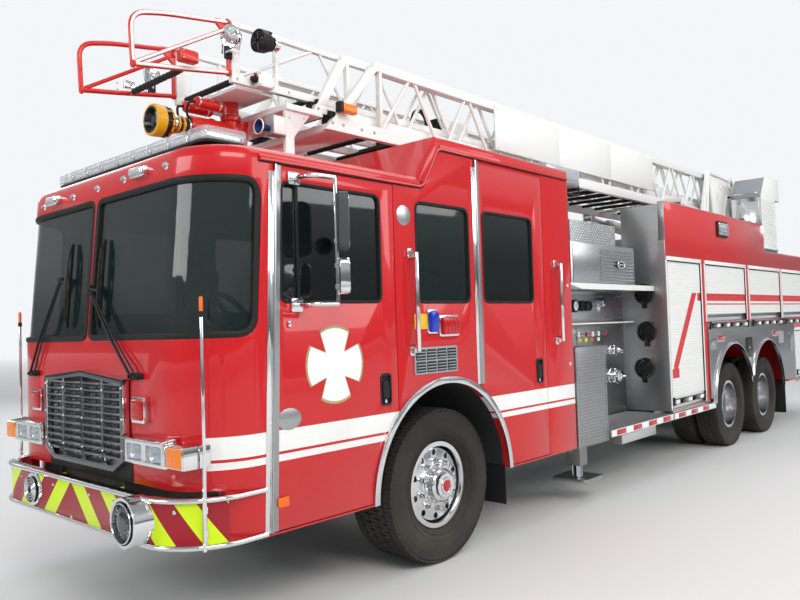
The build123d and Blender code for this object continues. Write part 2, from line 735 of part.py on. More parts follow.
def make_tyres(offsets, radius, width, rim_width):
    """Tyres about the X axis of their own frame, with crowned tread and bulged sidewalls."""
    bead = rim_radius + bead_clearance
    half_bead = rim_width / 2 - flange_width - bead_clearance
    flank = bead + 0.5 * (radius - bead)
    with BuildPart() as tyres:
        with BuildSketch(Plane.XY):
            for y in offsets:
                with BuildLine():
                    Polyline((y - half_bead, bead), (y - half_bead, bead + rim_flange), (y - 0.5 * width, flank),
                             (y - 0.46 * width, radius - 30), (y - 0.38 * width, radius),
                             (y + 0.38 * width, radius), (y + 0.46 * width, radius - 30),
                             (y + 0.5 * width, flank), (y + half_bead, bead + rim_flange), (y + half_bead, bead),
                             close=True)
                make_face()
        revolve(axis=Axis.X)
    return tyres.part


def place_wheel(part, x, y, z, side):
    """Turn a wheel from its own frame to an axle end, its outer face outwards."""
    return part.moved(Location((x, y, z), (0, 0, 90 * side)))


def make_knuckle():
    """The left steering knuckle: an upright on the kingpin and the wheel spindle."""
    with BuildPart() as knuckle:
        with BuildSketch(Plane.XY.offset(front_tyre_radius - knuckle_half_height)):
            with Locations((front_axle_x, kingpin_y)):
                Circle(48)
        extrude(amount=2 * knuckle_half_height)
        block((front_axle_x - 60, front_axle_x + 60), (kingpin_y, kingpin_y + 75),
              (front_tyre_radius - 75, front_tyre_radius + 75))
        with BuildSketch(Plane.XZ.offset(-kingpin_y)):
            with Locations((front_axle_x, front_tyre_radius)):
                Circle(spindle_radius)
        extrude(amount=-(front_tyre_y + 190 - kingpin_y))
    return knuckle.part


def make_axles():
    """The front beam and both rear axles, each on its leaf springs and hangers."""
    spring_y = (rail_outer_y - rail_flange + 2, rail_outer_y)
    with BuildPart() as axles:
        block((front_axle_x - 55, front_axle_x + 55), (-kingpin_y + 150, kingpin_y - 150),
              (front_tyre_radius - 115, front_tyre_radius - 15))
        for side in (1, -1):
            fork = knuckle_half_height + running_clearance
            for z in (front_tyre_radius - fork - fork_thickness, front_tyre_radius + fork):
                block((front_axle_x - 50, front_axle_x + 50), (side * (kingpin_y - 160), side * (kingpin_y + 45)),
                      (z, z + fork_thickness))
            block((front_axle_x - 50, front_axle_x + 50), (side * (kingpin_y - 160), side * (kingpin_y - 75)),
                  (front_tyre_radius - fork - fork_thickness, front_tyre_radius + fork + fork_thickness))
        for x, seat_z in ((front_axle_x, front_tyre_radius - 15), (rear_axle_x[0], rear_tyre_radius + 70),
                          (rear_axle_x[1], rear_tyre_radius + 70)):
            reach = 620.0
            hanger_top = rail_bottom_z
            side_blocks((x - reach, x + reach), spring_y, (seat_z, seat_z + 18))
            side_blocks((x - 0.6 * reach, x + 0.6 * reach), spring_y, (seat_z + 18, seat_z + 32))
            for end in (-reach, reach - 60):
                side_blocks((x + end, x + end + 60), spring_y, (seat_z - 20, hanger_top))
        for x in rear_axle_x:
            with BuildSketch(side_plane(dual_centre_y + 90)):
                with Locations((x, rear_tyre_radius)):
                    Circle(spindle_radius)
            extrude(amount=2 * dual_centre_y + 180)
            with BuildSketch(side_plane(560)):
                with Locations((x, rear_tyre_radius)):
                    Circle(95)
            extrude(amount=1120)
            with BuildSketch(Plane(origin=(x, 0, rear_tyre_radius), z_dir=(1, 0, 0))):
                Circle(205)
            extrude(amount=150, both=True)
        # Shaft between the two final drives
        with BuildSketch(Plane(origin=(rear_axle_x[1], 0, rear_tyre_radius), z_dir=(1, 0, 0))):
            Circle(45)
        extrude(amount=tandem_spacing)
    return axles.part


def make_chassis_frame():
    """Two channel rails, their cross members, the outrigger housings, tank and drive shaft."""
    with BuildPart() as frame:
        for side in (1, -1):
            block((rail_rear_x, rail_front_x), (side * (rail_outer_y - rail_web), side * rail_outer_y),
                  (rail_bottom_z, rail_top_z))
            for z in (rail_bottom_z, rail_top_z - rail_web):
                block((rail_rear_x, rail_front_x), (side * (rail_outer_y - rail_flange), side * rail_outer_y),
                      (z, z + rail_web))
        for x in (1900.0, -700.0, -3300.0, -4700.0, -6640.0, -8700.0, -9700.0):
            block((front_axle_x + x - 60, front_axle_x + x + 60), (-rail_outer_y + 5, rail_outer_y - 5),
                  (rail_bottom_z + 40, rail_top_z - 20))
        # Tow eyes under the rear ends of the rails
        for side in (1, -1):
            with BuildSketch(side_plane(side * tow_eye_y + tow_eye_thickness / 2)):
                with Locations((tow_eye_x, tow_eye_z)):
                    Circle(65)
                with Locations((tow_eye_x, (tow_eye_z + rail_bottom_z + 5) / 2)):
                    Rectangle(130, rail_bottom_z + 5 - tow_eye_z)
                with Locations((tow_eye_x, tow_eye_z)):
                    Circle(tow_eye_radius, mode=Mode.SUBTRACT)
            extrude(amount=tow_eye_thickness)
        housing = beam_housing_wall + beam_clearance
        for x in (beam_centre_x - beam_spacing / 2, beam_centre_x + beam_spacing / 2):
            block((x - beam_width / 2 - housing, x + beam_width / 2 + housing), (-cover_inner_y + 20, cover_inner_y - 20),
                  (beam_centre_z - beam_height / 2 - housing, rail_bottom_z))
        for x in (beam_centre_x - beam_spacing / 2, beam_centre_x + beam_spacing / 2):
            block((x - beam_width / 2 - beam_clearance, x + beam_width / 2 + beam_clearance), (-900, 900),
                  (beam_centre_z - beam_height / 2 - beam_clearance, beam_centre_z + beam_height / 2 + beam_clearance),
                  Mode.SUBTRACT)
    return frame.part


def make_outrigger(side):
    """One outrigger: its sliding beam, the jack's tube and the tread-plate cover round it."""
    x = beam_centre_x + side * beam_spacing / 2
    inner_reach = 780.0
    with BuildPart() as outrigger:
        block((x - beam_width / 2, x + beam_width / 2), (-side * inner_reach, side * jack_y),
              (beam_centre_z - beam_height / 2, beam_centre_z + beam_height / 2))
        block((beam_centre_x - jack_tube / 2, beam_centre_x + jack_tube / 2),
              (side * (jack_y - jack_tube / 2), side * (jack_y + jack_tube / 2)), (jack_tube_low_z, cover_high_z - 40))
        block(cover_x, (side * cover_inner_y, side * cab_half_width), (cover_low_z, cover_high_z))
        block((cover_x[0] + 12, cover_x[1] - 12), (side * (cover_inner_y + 12), side * (cab_half_width - 12)),
              (cover_low_z - 1, cover_high_z - 12), Mode.SUBTRACT)
        block((beam_centre_x - jack_tube / 2, beam_centre_x + jack_tube / 2),
              (side * (jack_y - jack_tube / 2), side * (jack_y + jack_tube / 2)), (jack_tube_low_z, cover_high_z - 12))
        block((x - beam_width / 2, x + beam_width / 2), (side * (cover_inner_y - 5), side * jack_y),
              (beam_centre_z - beam_height / 2, beam_centre_z + beam_height / 2))
        with BuildSketch(Plane.XY.offset(jack_tube_low_z)):
            with Locations((beam_centre_x, side * jack_y)):
                Circle(jack_rod_radius + running_clearance)
        extrude(amount=900, mode=Mode.SUBTRACT)
    return outrigger.part


def make_jack(side):
    """The jack's rod and its foot plate."""
    with BuildPart() as jack:
        with BuildSketch(Plane.XY.offset(jack_foot_low_z)):
            with Locations((beam_centre_x, side * jack_y)):
                Circle(jack_rod_radius)
        extrude(amount=jack_tube_low_z + 850 - jack_foot_low_z)
        with BuildSketch(Plane.XY.offset(jack_foot_low_z)):
            with Locations((beam_centre_x, side * jack_y)):
                RectangleRounded(jack_foot_size, jack_foot_size, 40)
        extrude(amount=jack_foot_thickness)
    return jack.part


# Hose couplings on the pump panels: X, Z, thread radius, reach from the panel
coupling_table = (
    (front_axle_x - 2960.0, 1050.0, 76.0, 110.0),
    (front_axle_x - 2700.0, 1330.0, 38.0, 90.0),
    (front_axle_x - 3250.0, 1330.0, 38.0, 90.0),
    (front_axle_x - 3250.0, 1020.0, 38.0, 90.0),
)


def make_pump_house():
    """The pump enclosure with its panels, shelf, louvred box and tread-plate cover box."""
    half = pump_half_width
    with BuildPart() as house:
        block((body_front_x, board_front_x), (-half, half), (rail_top_z, pump_high_z))
        side_blocks((body_front_x, board_front_x), (rail_outer_y + 10, half), (pump_low_z, rail_top_z))
        block((board_front_x, pump_front_x), (-half, half), (rail_top_z, pump_high_z))
        block((body_front_x + 20, pump_front_x), (-1100, 1100), (pump_high_z, pump_high_z + 50))
        block((front_axle_x - 3490.0, front_axle_x - 2140.0), (-1100, 1100), (pump_high_z + 50, 2440))
        block((front_axle_x - 3480.0, front_axle_x - 2500.0), (-900, 900), (2440, 2700))
        for x, z, radius, reach in coupling_table:
            for side in (1, -1):
                with BuildSketch(Plane.XZ.offset(-side * (half - 1))):
                    with Locations((x, z)):
                        Circle(radius)
                extrude(amount=-side * (reach + 1))
    return house.part


def make_running_boards():
    """The steps beside the pump and the edge strips that run on to the rear arches."""
    with BuildPart() as boards:
        for side in (1, -1):
            block((body_front_x, board_front_x), (side * (pump_half_width + running_clearance), side * board_outer_y),
                  (board_top_z - board_thickness, board_top_z))
            block((wheel_well_x[1] - 110, body_front_x), (side * 1100, side * board_outer_y),
                  (board_top_z - board_thickness, board_top_z))
            block((front_axle_x - 3640.0, front_axle_x - 2830.0), (side * 800, side * 1200),
                  (board_top_z - board_thickness - 120, board_top_z - board_thickness))
    return boards.part


# Roll-up shutters: front X, rear X, low Z, high Z
shutter_table = (
    (front_axle_x - 3990.0, front_axle_x - 4988.0, 670.0, 2358.0),
    (front_axle_x - 5135.0, front_axle_x - 6613.0, 1622.0, 2345.0),
    (front_axle_x - 6761.0, front_axle_x - 8210.0, 1622.0, 2345.0),
    (front_axle_x - 8295.0, front_axle_x - 9800.0, 1622.0, 2345.0),
    (front_axle_x - 8860.0, front_axle_x - 9800.0, 670.0, 1420.0),
)


def make_body_shell():
    """The rear body: side compartments, hose bed, tall side panels and wheel wells."""
    half = body_half_width
    with BuildPart() as body:
        block((body_rear_x, body_front_x), (-half, half), (body_low_z, body_deck_z))
        side_blocks((tall_panel_rear_x, body_front_x), (half - tall_panel_thickness, half),
                    (body_deck_z - 1, tall_panel_high_z))
        block(wheel_well_x, (-half - 1, half + 1), (body_low_z - 1, wheel_well_top_z), Mode.SUBTRACT)
        block((body_rear_x - 1, body_front_x + 1), (-wheel_well_inner_y, wheel_well_inner_y),
              (body_low_z - 1, rail_top_z), Mode.SUBTRACT)
        block(hose_bed_x, (-hose_bed_half_width, hose_bed_half_width), (hose_bed_floor_z, body_deck_z + 1),
              Mode.SUBTRACT)
        # Shutter recesses
        for front_x, rear_x, low_z, high_z in shutter_table:
            side_blocks((rear_x, front_x), (half - shutter_frame, half + 1), (low_z, high_z), Mode.SUBTRACT)
    return body.part


def make_shutters():
    """All roll-up shutters, each seated in its recess, with a bar to pull it by."""
    inner_y = body_half_width - shutter_frame
    gap = running_clearance
    with BuildPart() as shutters:
        for front_x, rear_x, low_z, high_z in shutter_table:
            side_blocks((rear_x + gap, front_x - gap), (inner_y + gap, inner_y + shutter_thickness), (low_z + gap, high_z - gap))
            side_blocks((rear_x + 40, front_x - 40), (inner_y + shutter_thickness - 1, body_half_width + 18),
                        (low_z + 30, low_z + 60))
    return shutters.part


def make_rear_skirts():
    """Stainless side skirts over the tandem, with both arches cut and rolled lips."""
    half = body_half_width
    front_x, rear_x = front_axle_x - 5135.0, front_axle_x - 8790.0
    with BuildPart() as skirts:
        with BuildSketch(side_plane(half + skirt_thickness)):
            Polygon((front_x, body_low_z + 40), (front_x, skirt_high_z), (rear_x, skirt_high_z),
                    (rear_x, body_low_z + 40), align=None)
            for x in rear_axle_x:
                with Locations((x, rear_arch_z)):
                    Circle(rear_arch_radius, mode=Mode.SUBTRACT)
        extrude(amount=skirt_thickness - running_clearance)
        for x in rear_axle_x:
            with BuildSketch(side_plane(half + skirt_thickness + 14)):
                with Locations((x, rear_arch_z)):
                    Circle(rear_arch_radius + 45)
                    Circle(rear_arch_radius - 5, mode=Mode.SUBTRACT)
                with Locations((x, board_top_z + 10 - 750)):
                    Rectangle(2000, 1500, mode=Mode.SUBTRACT)
                middle = sum(rear_axle_x) / 2
                with Locations((middle + (700 if x < middle else -700), rear_arch_z)):
                    Rectangle(1400, 2000, mode=Mode.SUBTRACT)
            extrude(amount=15)
        mirror(about=Plane.XZ)
    return skirts.part


def make_tail():
    """The rear face fittings: a full-width step and the lamp clusters."""
    with BuildPart() as tail:
        block((body_rear_x - 150, body_rear_x - running_clearance), (-1200, 1200), (560, 640))
        side_blocks((body_rear_x - 60, body_rear_x - running_clearance), (rail_outer_y - rail_flange, rail_outer_y),
                    (640, 900))
        for side in (1, -1):
            for z in (960.0, 1130.0, 1300.0):
                block((body_rear_x - 30, body_rear_x - running_clearance), (side * 1010, side * 1200), (z, z + 140))
    return tail.part


def make_turntable():
    """The turning deck, the ladder's side plates, their cross members and the cylinder feet."""
    low_z = deck_low_z
    top_z = deck_low_z + deck_thickness
    with BuildPart() as deck:
        with BuildSketch(Plane.XY.offset(low_z)):
            with Locations((turntable_x, 0)):
                Circle(deck_radius)
                Rectangle(2 * deck_radius, 2 * deck_half_width, mode=Mode.INTERSECT)
        extrude(amount=deck_thickness)
        for side in (1, -1):
            outer_y = upright_inner_y + upright_thickness
            with BuildSketch(side_plane(side * outer_y if side > 0 else -upright_inner_y)):
                Polygon((front_axle_x - 6900.0, top_z - 1), (front_axle_x - 6960.0, 3300.0),
                        (front_axle_x - 7200.0, 3865.0), (front_axle_x - 8316.0, 3830.0),
                        (front_axle_x - 8577.0, 3289.0), (front_axle_x - 8760.0, top_z - 1), align=None)
            extrude(amount=upright_thickness)
        # Cross members, clear of the ladder's heel
        block((front_axle_x - 8700.0, front_axle_x - 8640.0), (-upright_inner_y - 5, upright_inner_y + 5), (top_z - 1, 3100))
        block((front_axle_x - 7520.0, front_axle_x - 7380.0), (-upright_inner_y - 5, upright_inner_y + 5), (top_z - 1, 2760))
        # Cylinder foot ears
        for side in (1, -1):
            for offset_y in (-1, 1):
                centre = side * cylinder_y + offset_y * (cylinder_eye_width / 2 + 16)
                with BuildSketch(side_plane(centre + 11)):
                    Polygon((foot_x - 90, top_z - 1), (foot_x - 55, foot_z + 50), (foot_x + 55, foot_z + 50),
                            (foot_x + 90, top_z - 1), align=None)
                extrude(amount=22)
        with BuildSketch(side_plane(cylinder_y + 75)):
            with Locations((foot_x, foot_z)):
                Circle(cylinder_pin_radius)
        extrude(amount=2 * (cylinder_y + 75))
        # Ladder pivot pins
        for side in (1, -1):
            with BuildSketch(side_plane(side * 600 if side > 0 else -440)):
                with Locations((pivot_x, pivot_z)):
                    Circle(pivot_radius)
            extrude(amount=160)
    return deck.part


def make_console():
    """The control console on the deck, its overhanging hood and the hand post behind it."""
    top_z = deck_low_z + deck_thickness + running_clearance
    with BuildPart() as console:
        block(console_x, console_y, (top_z, 3440))
        with BuildSketch(side_plane(console_y[1])):
            Polygon((console_x[1] + 30, 3440), (console_x[1] - 190, 3750), (console_x[0] - 220, 3790),
                    (console_x[0] - 220, 3440), align=None)
        extrude(amount=console_y[1] - console_y[0])
        with BuildSketch(Plane.XY.offset(top_z)):
            with Locations((console_x[0] - 35, console_y[1] - 25)):
                Circle(16)
        extrude(amount=3440 - top_z)
    return console.part


def ladder_section(half_width, wall, rear_x, chord_rear_x, front_low_x, front_high_x, low_z, high_z, panels):
    """Two bottom chords joined by rungs, and on each chord a truss side with its top chord."""
    seat_z = low_z + chord_height
    chord_front_x = front_low_x + (front_high_x - front_low_x) * chord_height / (high_z - low_z)
    foot_z, head_z = seat_z + slide_clearance, high_z - 0.8 * chord_height
    with BuildSketch(Plane.XZ) as chord:
        Polygon((chord_rear_x, low_z), (front_low_x, low_z), (chord_front_x, seat_z), (chord_rear_x, seat_z),
                align=None)
    with BuildSketch(Plane.XZ) as truss:
        Polygon((rear_x, foot_z), (chord_front_x, foot_z), (front_high_x, high_z), (rear_x, high_z), align=None)
        start = rear_x + end_post
        pitch = (min(front_low_x, front_high_x) - end_post - start) / panels
        for number in range(panels):
            left = start + number * pitch
            Polygon((left + post, foot_z - 1), (left + pitch - post - brace, foot_z - 1), (left + post, head_z - brace),
                    align=None, mode=Mode.SUBTRACT)
            Polygon((left + pitch - post, seat_z + brace), (left + pitch - post, head_z), (left + post + brace, head_z),
                    align=None, mode=Mode.SUBTRACT)
    with BuildPart() as section:
        for y in (half_width, -half_width + wall):
            for outline in (chord, truss):
                extrude(outline.sketch.moved(Location((0, y, 0))), amount=wall)
        rungs = int((front_low_x - chord_rear_x - 200) / rung_spacing)
        with BuildSketch(Plane.XZ.offset(-half_width + wall / 2)):
            with Locations(*[(front_low_x - 150 - number * rung_spacing, low_z + chord_height / 2)
                             for number in range(rungs + 1)]):
                RegularPolygon(rung_radius, 8)
        extrude(amount=2 * half_width - wall)
    return section.part


def slide_pads(x_range, inner_y, wall_y, low_z, seat_z, top_z):
    """Join the pads inside both bottom chords that carry the next section, up to their sliding face."""
    side_blocks(x_range, (inner_y, wall_y + 5), (low_z, seat_z - 5))
    side_blocks(x_range, (inner_y, wall_y - slide_clearance), (low_z, top_z))


def make_ladder_base():
    """The base section with its sign panels, heel plates, slide pads and the lift cylinders' bracket."""
    rear_x = front_axle_x - 7950.0
    heel_front_x = rear_x + 600.0
    wall = 55.0
    outer = base_half_width
    bracket_top_z = base_low_z - slide_clearance
    with BuildPart() as base:
        add(ladder_section(outer, wall, rear_x, heel_front_x + slide_clearance, front_axle_x + 343.0,
                           front_axle_x - 164.0, base_low_z, base_high_z, 12))
        for sign in (1, -1):
            # Blank sign panel
            block((front_axle_x - 5390.0, front_axle_x - 1790.0), (sign * (outer - 5), sign * (outer + 12)),
                  (3354, 3775))
            # Heel plate round the pivot
            plate_y = sign * (outer + 12) if sign > 0 else -(outer - wall)
            with BuildSketch(side_plane(plate_y)):
                Polygon((heel_front_x, base_low_z), (heel_front_x, base_high_z), (pivot_x + 60, base_high_z + 40),
                        (pivot_x - 110, pivot_z + 70), (pivot_x - 110, pivot_z - 90), (pivot_x + 60, pivot_z - 180),
                        (rear_x + 60, base_low_z), align=None)
                with Locations((pivot_x, pivot_z)):
                    Circle(pivot_radius + running_clearance, mode=Mode.SUBTRACT)
            extrude(amount=wall + 12)
        slide_pads((front_axle_x + 180.0, front_axle_x + 330.0), mid_half_width - 45, outer - wall, base_low_z + 5,
                   base_low_z + chord_height, mid_low_z - slide_clearance)
        # Bracket under the chords with the ears that take the lift cylinders
        bracket_reach = cylinder_y + cylinder_eye_width / 2 + 30
        block((eye_x - 60, eye_x + 60), (-bracket_reach, bracket_reach), (bracket_top_z - 10, bracket_top_z))
        side_blocks((eye_x - 60, eye_x + 60), (outer + 13, bracket_reach), (bracket_top_z - 1, bracket_top_z + 50))
        for sign in (1, -1):
            for offset_y in (-1, 1):
                centre = sign * cylinder_y + offset_y * (cylinder_eye_width / 2 + 21)
                with BuildSketch(side_plane(centre + 9)):
                    Polygon((eye_x - 60, bracket_top_z - 5), (eye_x - 40, eye_z - 45), (eye_x + 40, eye_z - 45),
                            (eye_x + 60, bracket_top_z - 5), align=None)
                extrude(amount=18)
    return base.part


def make_ladder_mid():
    """The middle section, nested in the base section."""
    rear_x = front_axle_x - 7800.0
    wall = 48.0
    with BuildPart() as mid:
        add(ladder_section(mid_half_width, wall, rear_x, rear_x, front_axle_x + 450.0, front_axle_x + 126.0,
                           mid_low_z, mid_high_z, 12))
        slide_pads((front_axle_x + 290.0, front_axle_x + 430.0), fly_half_width - 40, mid_half_width - wall,
                   mid_low_z + 5, mid_low_z + chord_height, fly_low_z - slide_clearance)
    return mid.part


def make_ladder_fly():
    """The fly section, nested in the middle section."""
    rear_x = front_axle_x - 7600.0
    return ladder_section(fly_half_width, 42.0, rear_x, rear_x, fly_front_x, fly_front_x, fly_low_z, fly_high_z, 13)


def make_tip_guard():
    """The red folding-step guard tubes at the ladder's tip, one closed loop a side, with rungs."""
    y = fly_half_width - 21
    tip_x = fly_front_x + guard_tube_radius + running_clearance
    with BuildPart() as guard:
        with BuildLine() as loop:
            FilletPolyline((tip_x, y, 3600), (tip_x, y, fly_high_z - 17), (front_axle_x + 1640.0, y, 3790),
                           (front_axle_x + 1847.0, y, 3640), (front_axle_x + 1830.0, y, 3365),
                           (tip_x, y, fly_low_z + 30), (tip_x, y, 3599), radius=60)
        with BuildSketch(Plane(loop.line @ 0, z_dir=loop.line % 0)):
            Circle(guard_tube_radius)
        sweep(path=loop.line)
        mirror(about=Plane.XZ)
        inner_y = y - guard_tube_radius - slide_clearance
        for x, z in ((front_axle_x + 1490.0, 3388.0), (front_axle_x + 1640.0, 3770.0)):
            with BuildSketch(side_plane(inner_y)):
                with Locations((x, z)):
                    Circle(guard_tube_radius - 1)
            extrude(amount=2 * inner_y)
    return guard.part


def make_tip_fittings():
    """The monitor nozzle under the tip, the lamps, the speaker and both junction boxes."""
    seat_z = fly_low_z - running_clearance
    with BuildPart() as fittings:
        block((front_axle_x + 760.0, front_axle_x + 1000.0), (-fly_half_width, fly_half_width), (seat_z - 40, seat_z))
        with BuildSketch(cross_plane(front_axle_x + 860.0)):
            with Locations((0, 3180)):
                Circle(85)
        extrude(amount=340)
        with BuildSketch(Plane.XY.offset(3180)):
            with Locations((front_axle_x + 880.0, 0)):
                Circle(70)
        extrude(amount=seat_z - 3180)
        with BuildSketch(cross_plane(front_axle_x + 1200.0)):
            with Locations((0, 3180)):
                Circle(60)
        extrude(amount=240)
        with BuildSketch(cross_plane(front_axle_x + 1400.0)):
            with Locations((0, 3180)):
                Circle(95)
        extrude(amount=130)
        side_blocks((front_axle_x + 800.0, front_axle_x + 950.0),
                    (fly_half_width + running_clearance, fly_half_width + 60), (3430, 3560))
    return fittings.part


def make_cradle():
    """The ladder's rest on the low roof: two gusseted posts and a flat-topped cross beam."""
    top_z = mid_low_z - slide_clearance
    x = (front_axle_x + 395.0, front_axle_x + 740.0)
    roof_seat = low_roof_z + running_clearance
    with BuildPart() as cradle:
        block(x, (-490, 490), (top_z - 45, top_z))
        for side in (1, -1):
            with BuildSketch(side_plane(side * 470 if side > 0 else -440)):
                Polygon((front_axle_x + 660.0, roof_seat), (front_axle_x + 740.0, roof_seat),
                        (front_axle_x + 740.0, top_z - 20), (front_axle_x + 480.0, top_z - 20),
                        (front_axle_x + 660.0, 3080.0), align=None)
            extrude(amount=30)
        block((front_axle_x + 640.0, front_axle_x + 755.0), (-490, 490), (roof_seat, roof_seat + 14))
    return cradle.part


def cylinder_direction():
    """The unit vector from the lift cylinder's foot to its rod eye, at rest."""
    length = hypot(eye_x - foot_x, eye_z - foot_z)
    return Vector((eye_x - foot_x) / length, 0, (eye_z - foot_z) / length)


def make_lift_barrels():
    """Both lift cylinder barrels with their foot eyes."""
    along = cylinder_direction()
    with BuildPart() as barrels:
        for side in (1, -1):
            foot = Vector(foot_x, side * cylinder_y, foot_z)
            plane = Plane(foot + along * 90, z_dir=along)
            with BuildSketch(plane):
                Circle(barrel_radius)
            extrude(amount=barrel_length - 90)
            with BuildSketch(side_plane(side * cylinder_y + cylinder_eye_width / 2)):
                with Locations((foot_x, foot_z)):
                    Circle(cylinder_eye_radius)
            extrude(amount=cylinder_eye_width)
            with BuildSketch(Plane(foot + along * 30, z_dir=along)):
                Circle(cylinder_eye_width / 2 - 2)
            extrude(amount=90)
            with BuildSketch(side_plane(side * cylinder_y + cylinder_eye_width)):
                with Locations((foot_x, foot_z)):
                    Circle(cylinder_pin_radius + running_clearance)
            extrude(amount=2 * cylinder_eye_width, mode=Mode.SUBTRACT)
            with BuildSketch(Plane(foot + along * barrel_length, z_dir=along)):
                Circle(rod_radius + running_clearance)
            extrude(amount=-(barrel_length - 450), mode=Mode.SUBTRACT)
    return barrels.part


def make_lift_rods():
    """Both lift cylinder rods with their eyes and short pins."""
    along = cylinder_direction()
    with BuildPart() as rods:
        for side in (1, -1):
            eye = Vector(eye_x, side * cylinder_y, eye_z)
            with BuildSketch(Plane(eye - along * 30, z_dir=along)):
                Circle(rod_radius)
            extrude(amount=-rod_length)
            with BuildSketch(side_plane(side * cylinder_y + cylinder_eye_width / 2)):
                with Locations((eye_x, eye_z)):
                    Circle(cylinder_eye_radius - 15)
            extrude(amount=cylinder_eye_width)
    return rods.part


# Cab
finish(make_cab_shell(), "cab_shell")
finish(make_cab_floor(), "cab_floor")
finish(make_cab_glass(), "cab_glass")
for name in ("front", "rear"):
    for part, label in ((make_door(name), "door"), (make_door_glass(name), "door_glass")):
        finish(part, f"{name}_{label}_left")
        finish(mirror(part, about=Plane.XZ), f"{name}_{label}_right")
left_mirror = make_mirror()
finish(left_mirror, "mirror_left")
finish(mirror(left_mirror, about=Plane.XZ), "mirror_right")
finish(make_bumper(), "bumper")
finish(make_grille(), "grille")
finish(make_headlamps(), "headlamps")
finish(make_light_bar(), "light_bar")
finish(make_cab_brightwork(), "cab_brightwork")
finish(make_seats(), "seats")
finish(make_dashboard(), "dashboard")
with BuildPart() as engine:
    block((front_axle_x + 300, front_axle_x + 1650), (-330, 330), (760, 1550))
    block((front_axle_x + 600, front_axle_x + 900), (-rail_outer_y, rail_outer_y), (rail_top_z, rail_top_z + 60))
finish(engine.part, "engine")

# Chassis
finish(make_chassis_frame(), "chassis_frame")
finish(make_axles(), "axles")
left_knuckle = make_knuckle()
finish(left_knuckle, "knuckle_left")
finish(mirror(left_knuckle, about=Plane.XZ), "knuckle_right")
front_tyre = make_tyres((0,), front_tyre_radius, front_tyre_width, front_rim_width)
front_rim = make_wheel_rims((0,), front_rim_width, 100.0, -70.0)
rear_offsets = (-dual_pitch / 2, dual_pitch / 2)
rear_tyres = make_tyres(rear_offsets, rear_tyre_radius, rear_tyre_width, rear_rim_width)
rear_rims = make_wheel_rims(rear_offsets, rear_rim_width, 0.0, 90.0)
for side, side_name in ((1, "left"), (-1, "right")):
    centre = (front_axle_x, side * front_tyre_y, front_tyre_radius, side)
    finish(place_wheel(front_tyre, *centre), f"front_tyre_{side_name}")
    finish(place_wheel(front_rim, *centre), f"front_rim_{side_name}")
    for number, x in enumerate(rear_axle_x, start=1):
        centre = (x, side * dual_centre_y, rear_tyre_radius, side)
        finish(place_wheel(rear_tyres, *centre), f"rear_tyres_{number}_{side_name}")
        finish(place_wheel(rear_rims, *centre), f"rear_rims_{number}_{side_name}")
    finish(make_outrigger(side), f"outrigger_{side_name}")
    finish(make_jack(side), f"jack_{side_name}")

# Pump section and rear body
finish(make_pump_house(), "pump_house")
finish(make_running_boards(), "running_boards")
finish(make_body_shell(), "body_shell")
finish(make_shutters(), "roll_shutters")
finish(make_rear_skirts(), "rear_skirts")
finish(make_tail(), "tail_fittings")

# Ladder and turntable
with BuildPart() as ring:
    with BuildSketch(Plane.XY.offset(body_deck_z)):
        with Locations((turntable_x, 0)):
            Circle(ring_radius)
    extrude(amount=ring_height)
finish(ring.part, "turntable_ring")
finish(make_turntable(), "turntable")
finish(make_console(), "control_console")
finish(make_ladder_base(), "ladder_base")
finish(make_ladder_mid(), "ladder_mid")
finish(make_ladder_fly(), "ladder_fly")
finish(make_tip_guard(), "tip_guard")
finish(make_tip_fittings(), "tip_fittings")
finish(make_cradle(), "ladder_cradle")
finish(make_lift_barrels(), "lift_barrels")
finish(make_lift_rods(), "lift_rods")
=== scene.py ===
# %% [markdown]
# # A fire engine with an aerial ladder
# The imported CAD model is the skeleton: every solid sits in its place and rides on its body. This lesson
# dresses it. Each step says what a piece is on the real engine, how it could be made and why this way was
# taken. Lengths are metres, +X points forward, +Y to the engine's left, and the wheels stand on Z = 0.
# Most places were measured from the front axle, so `AXLE` is added to them.

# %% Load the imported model
import json
from math import asin, cos, degrees, pi, radians, sin, tau

import bmesh
import bpy
from mathutils import Matrix, Vector


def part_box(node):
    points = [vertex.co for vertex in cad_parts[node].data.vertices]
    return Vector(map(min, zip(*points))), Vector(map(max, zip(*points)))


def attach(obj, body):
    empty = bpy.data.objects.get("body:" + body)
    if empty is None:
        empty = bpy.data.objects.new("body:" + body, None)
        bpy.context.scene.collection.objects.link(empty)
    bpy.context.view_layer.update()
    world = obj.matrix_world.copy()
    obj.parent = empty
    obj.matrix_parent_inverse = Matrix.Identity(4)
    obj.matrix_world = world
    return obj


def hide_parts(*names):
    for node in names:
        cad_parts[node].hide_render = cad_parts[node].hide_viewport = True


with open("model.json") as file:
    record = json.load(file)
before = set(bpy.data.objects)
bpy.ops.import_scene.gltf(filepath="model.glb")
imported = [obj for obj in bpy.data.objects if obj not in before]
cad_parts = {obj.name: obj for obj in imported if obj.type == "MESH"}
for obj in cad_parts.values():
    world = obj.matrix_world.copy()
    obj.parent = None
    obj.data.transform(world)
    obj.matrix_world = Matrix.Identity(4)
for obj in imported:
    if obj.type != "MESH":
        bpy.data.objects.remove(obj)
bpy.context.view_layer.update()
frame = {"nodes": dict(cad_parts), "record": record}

# %% Shared sizes
AXLE = 3.9
SIDES = (("left", 1), ("right", -1))


def from_axle(*places):
    """Places along X, given from the front axle."""
    return tuple(AXLE + place for place in places)


CAB_SIDE = 1.245
BELT_Z, ROOF_Z = 1.655, 2.742
CAB_NOSE, CAB_BROW = 2.000, 1.900
CORNER_R = 0.38
REAR_AXLES = from_axle(-5.943, -7.343)
collection = bpy.context.scene.collection
nodes = frame["nodes"]

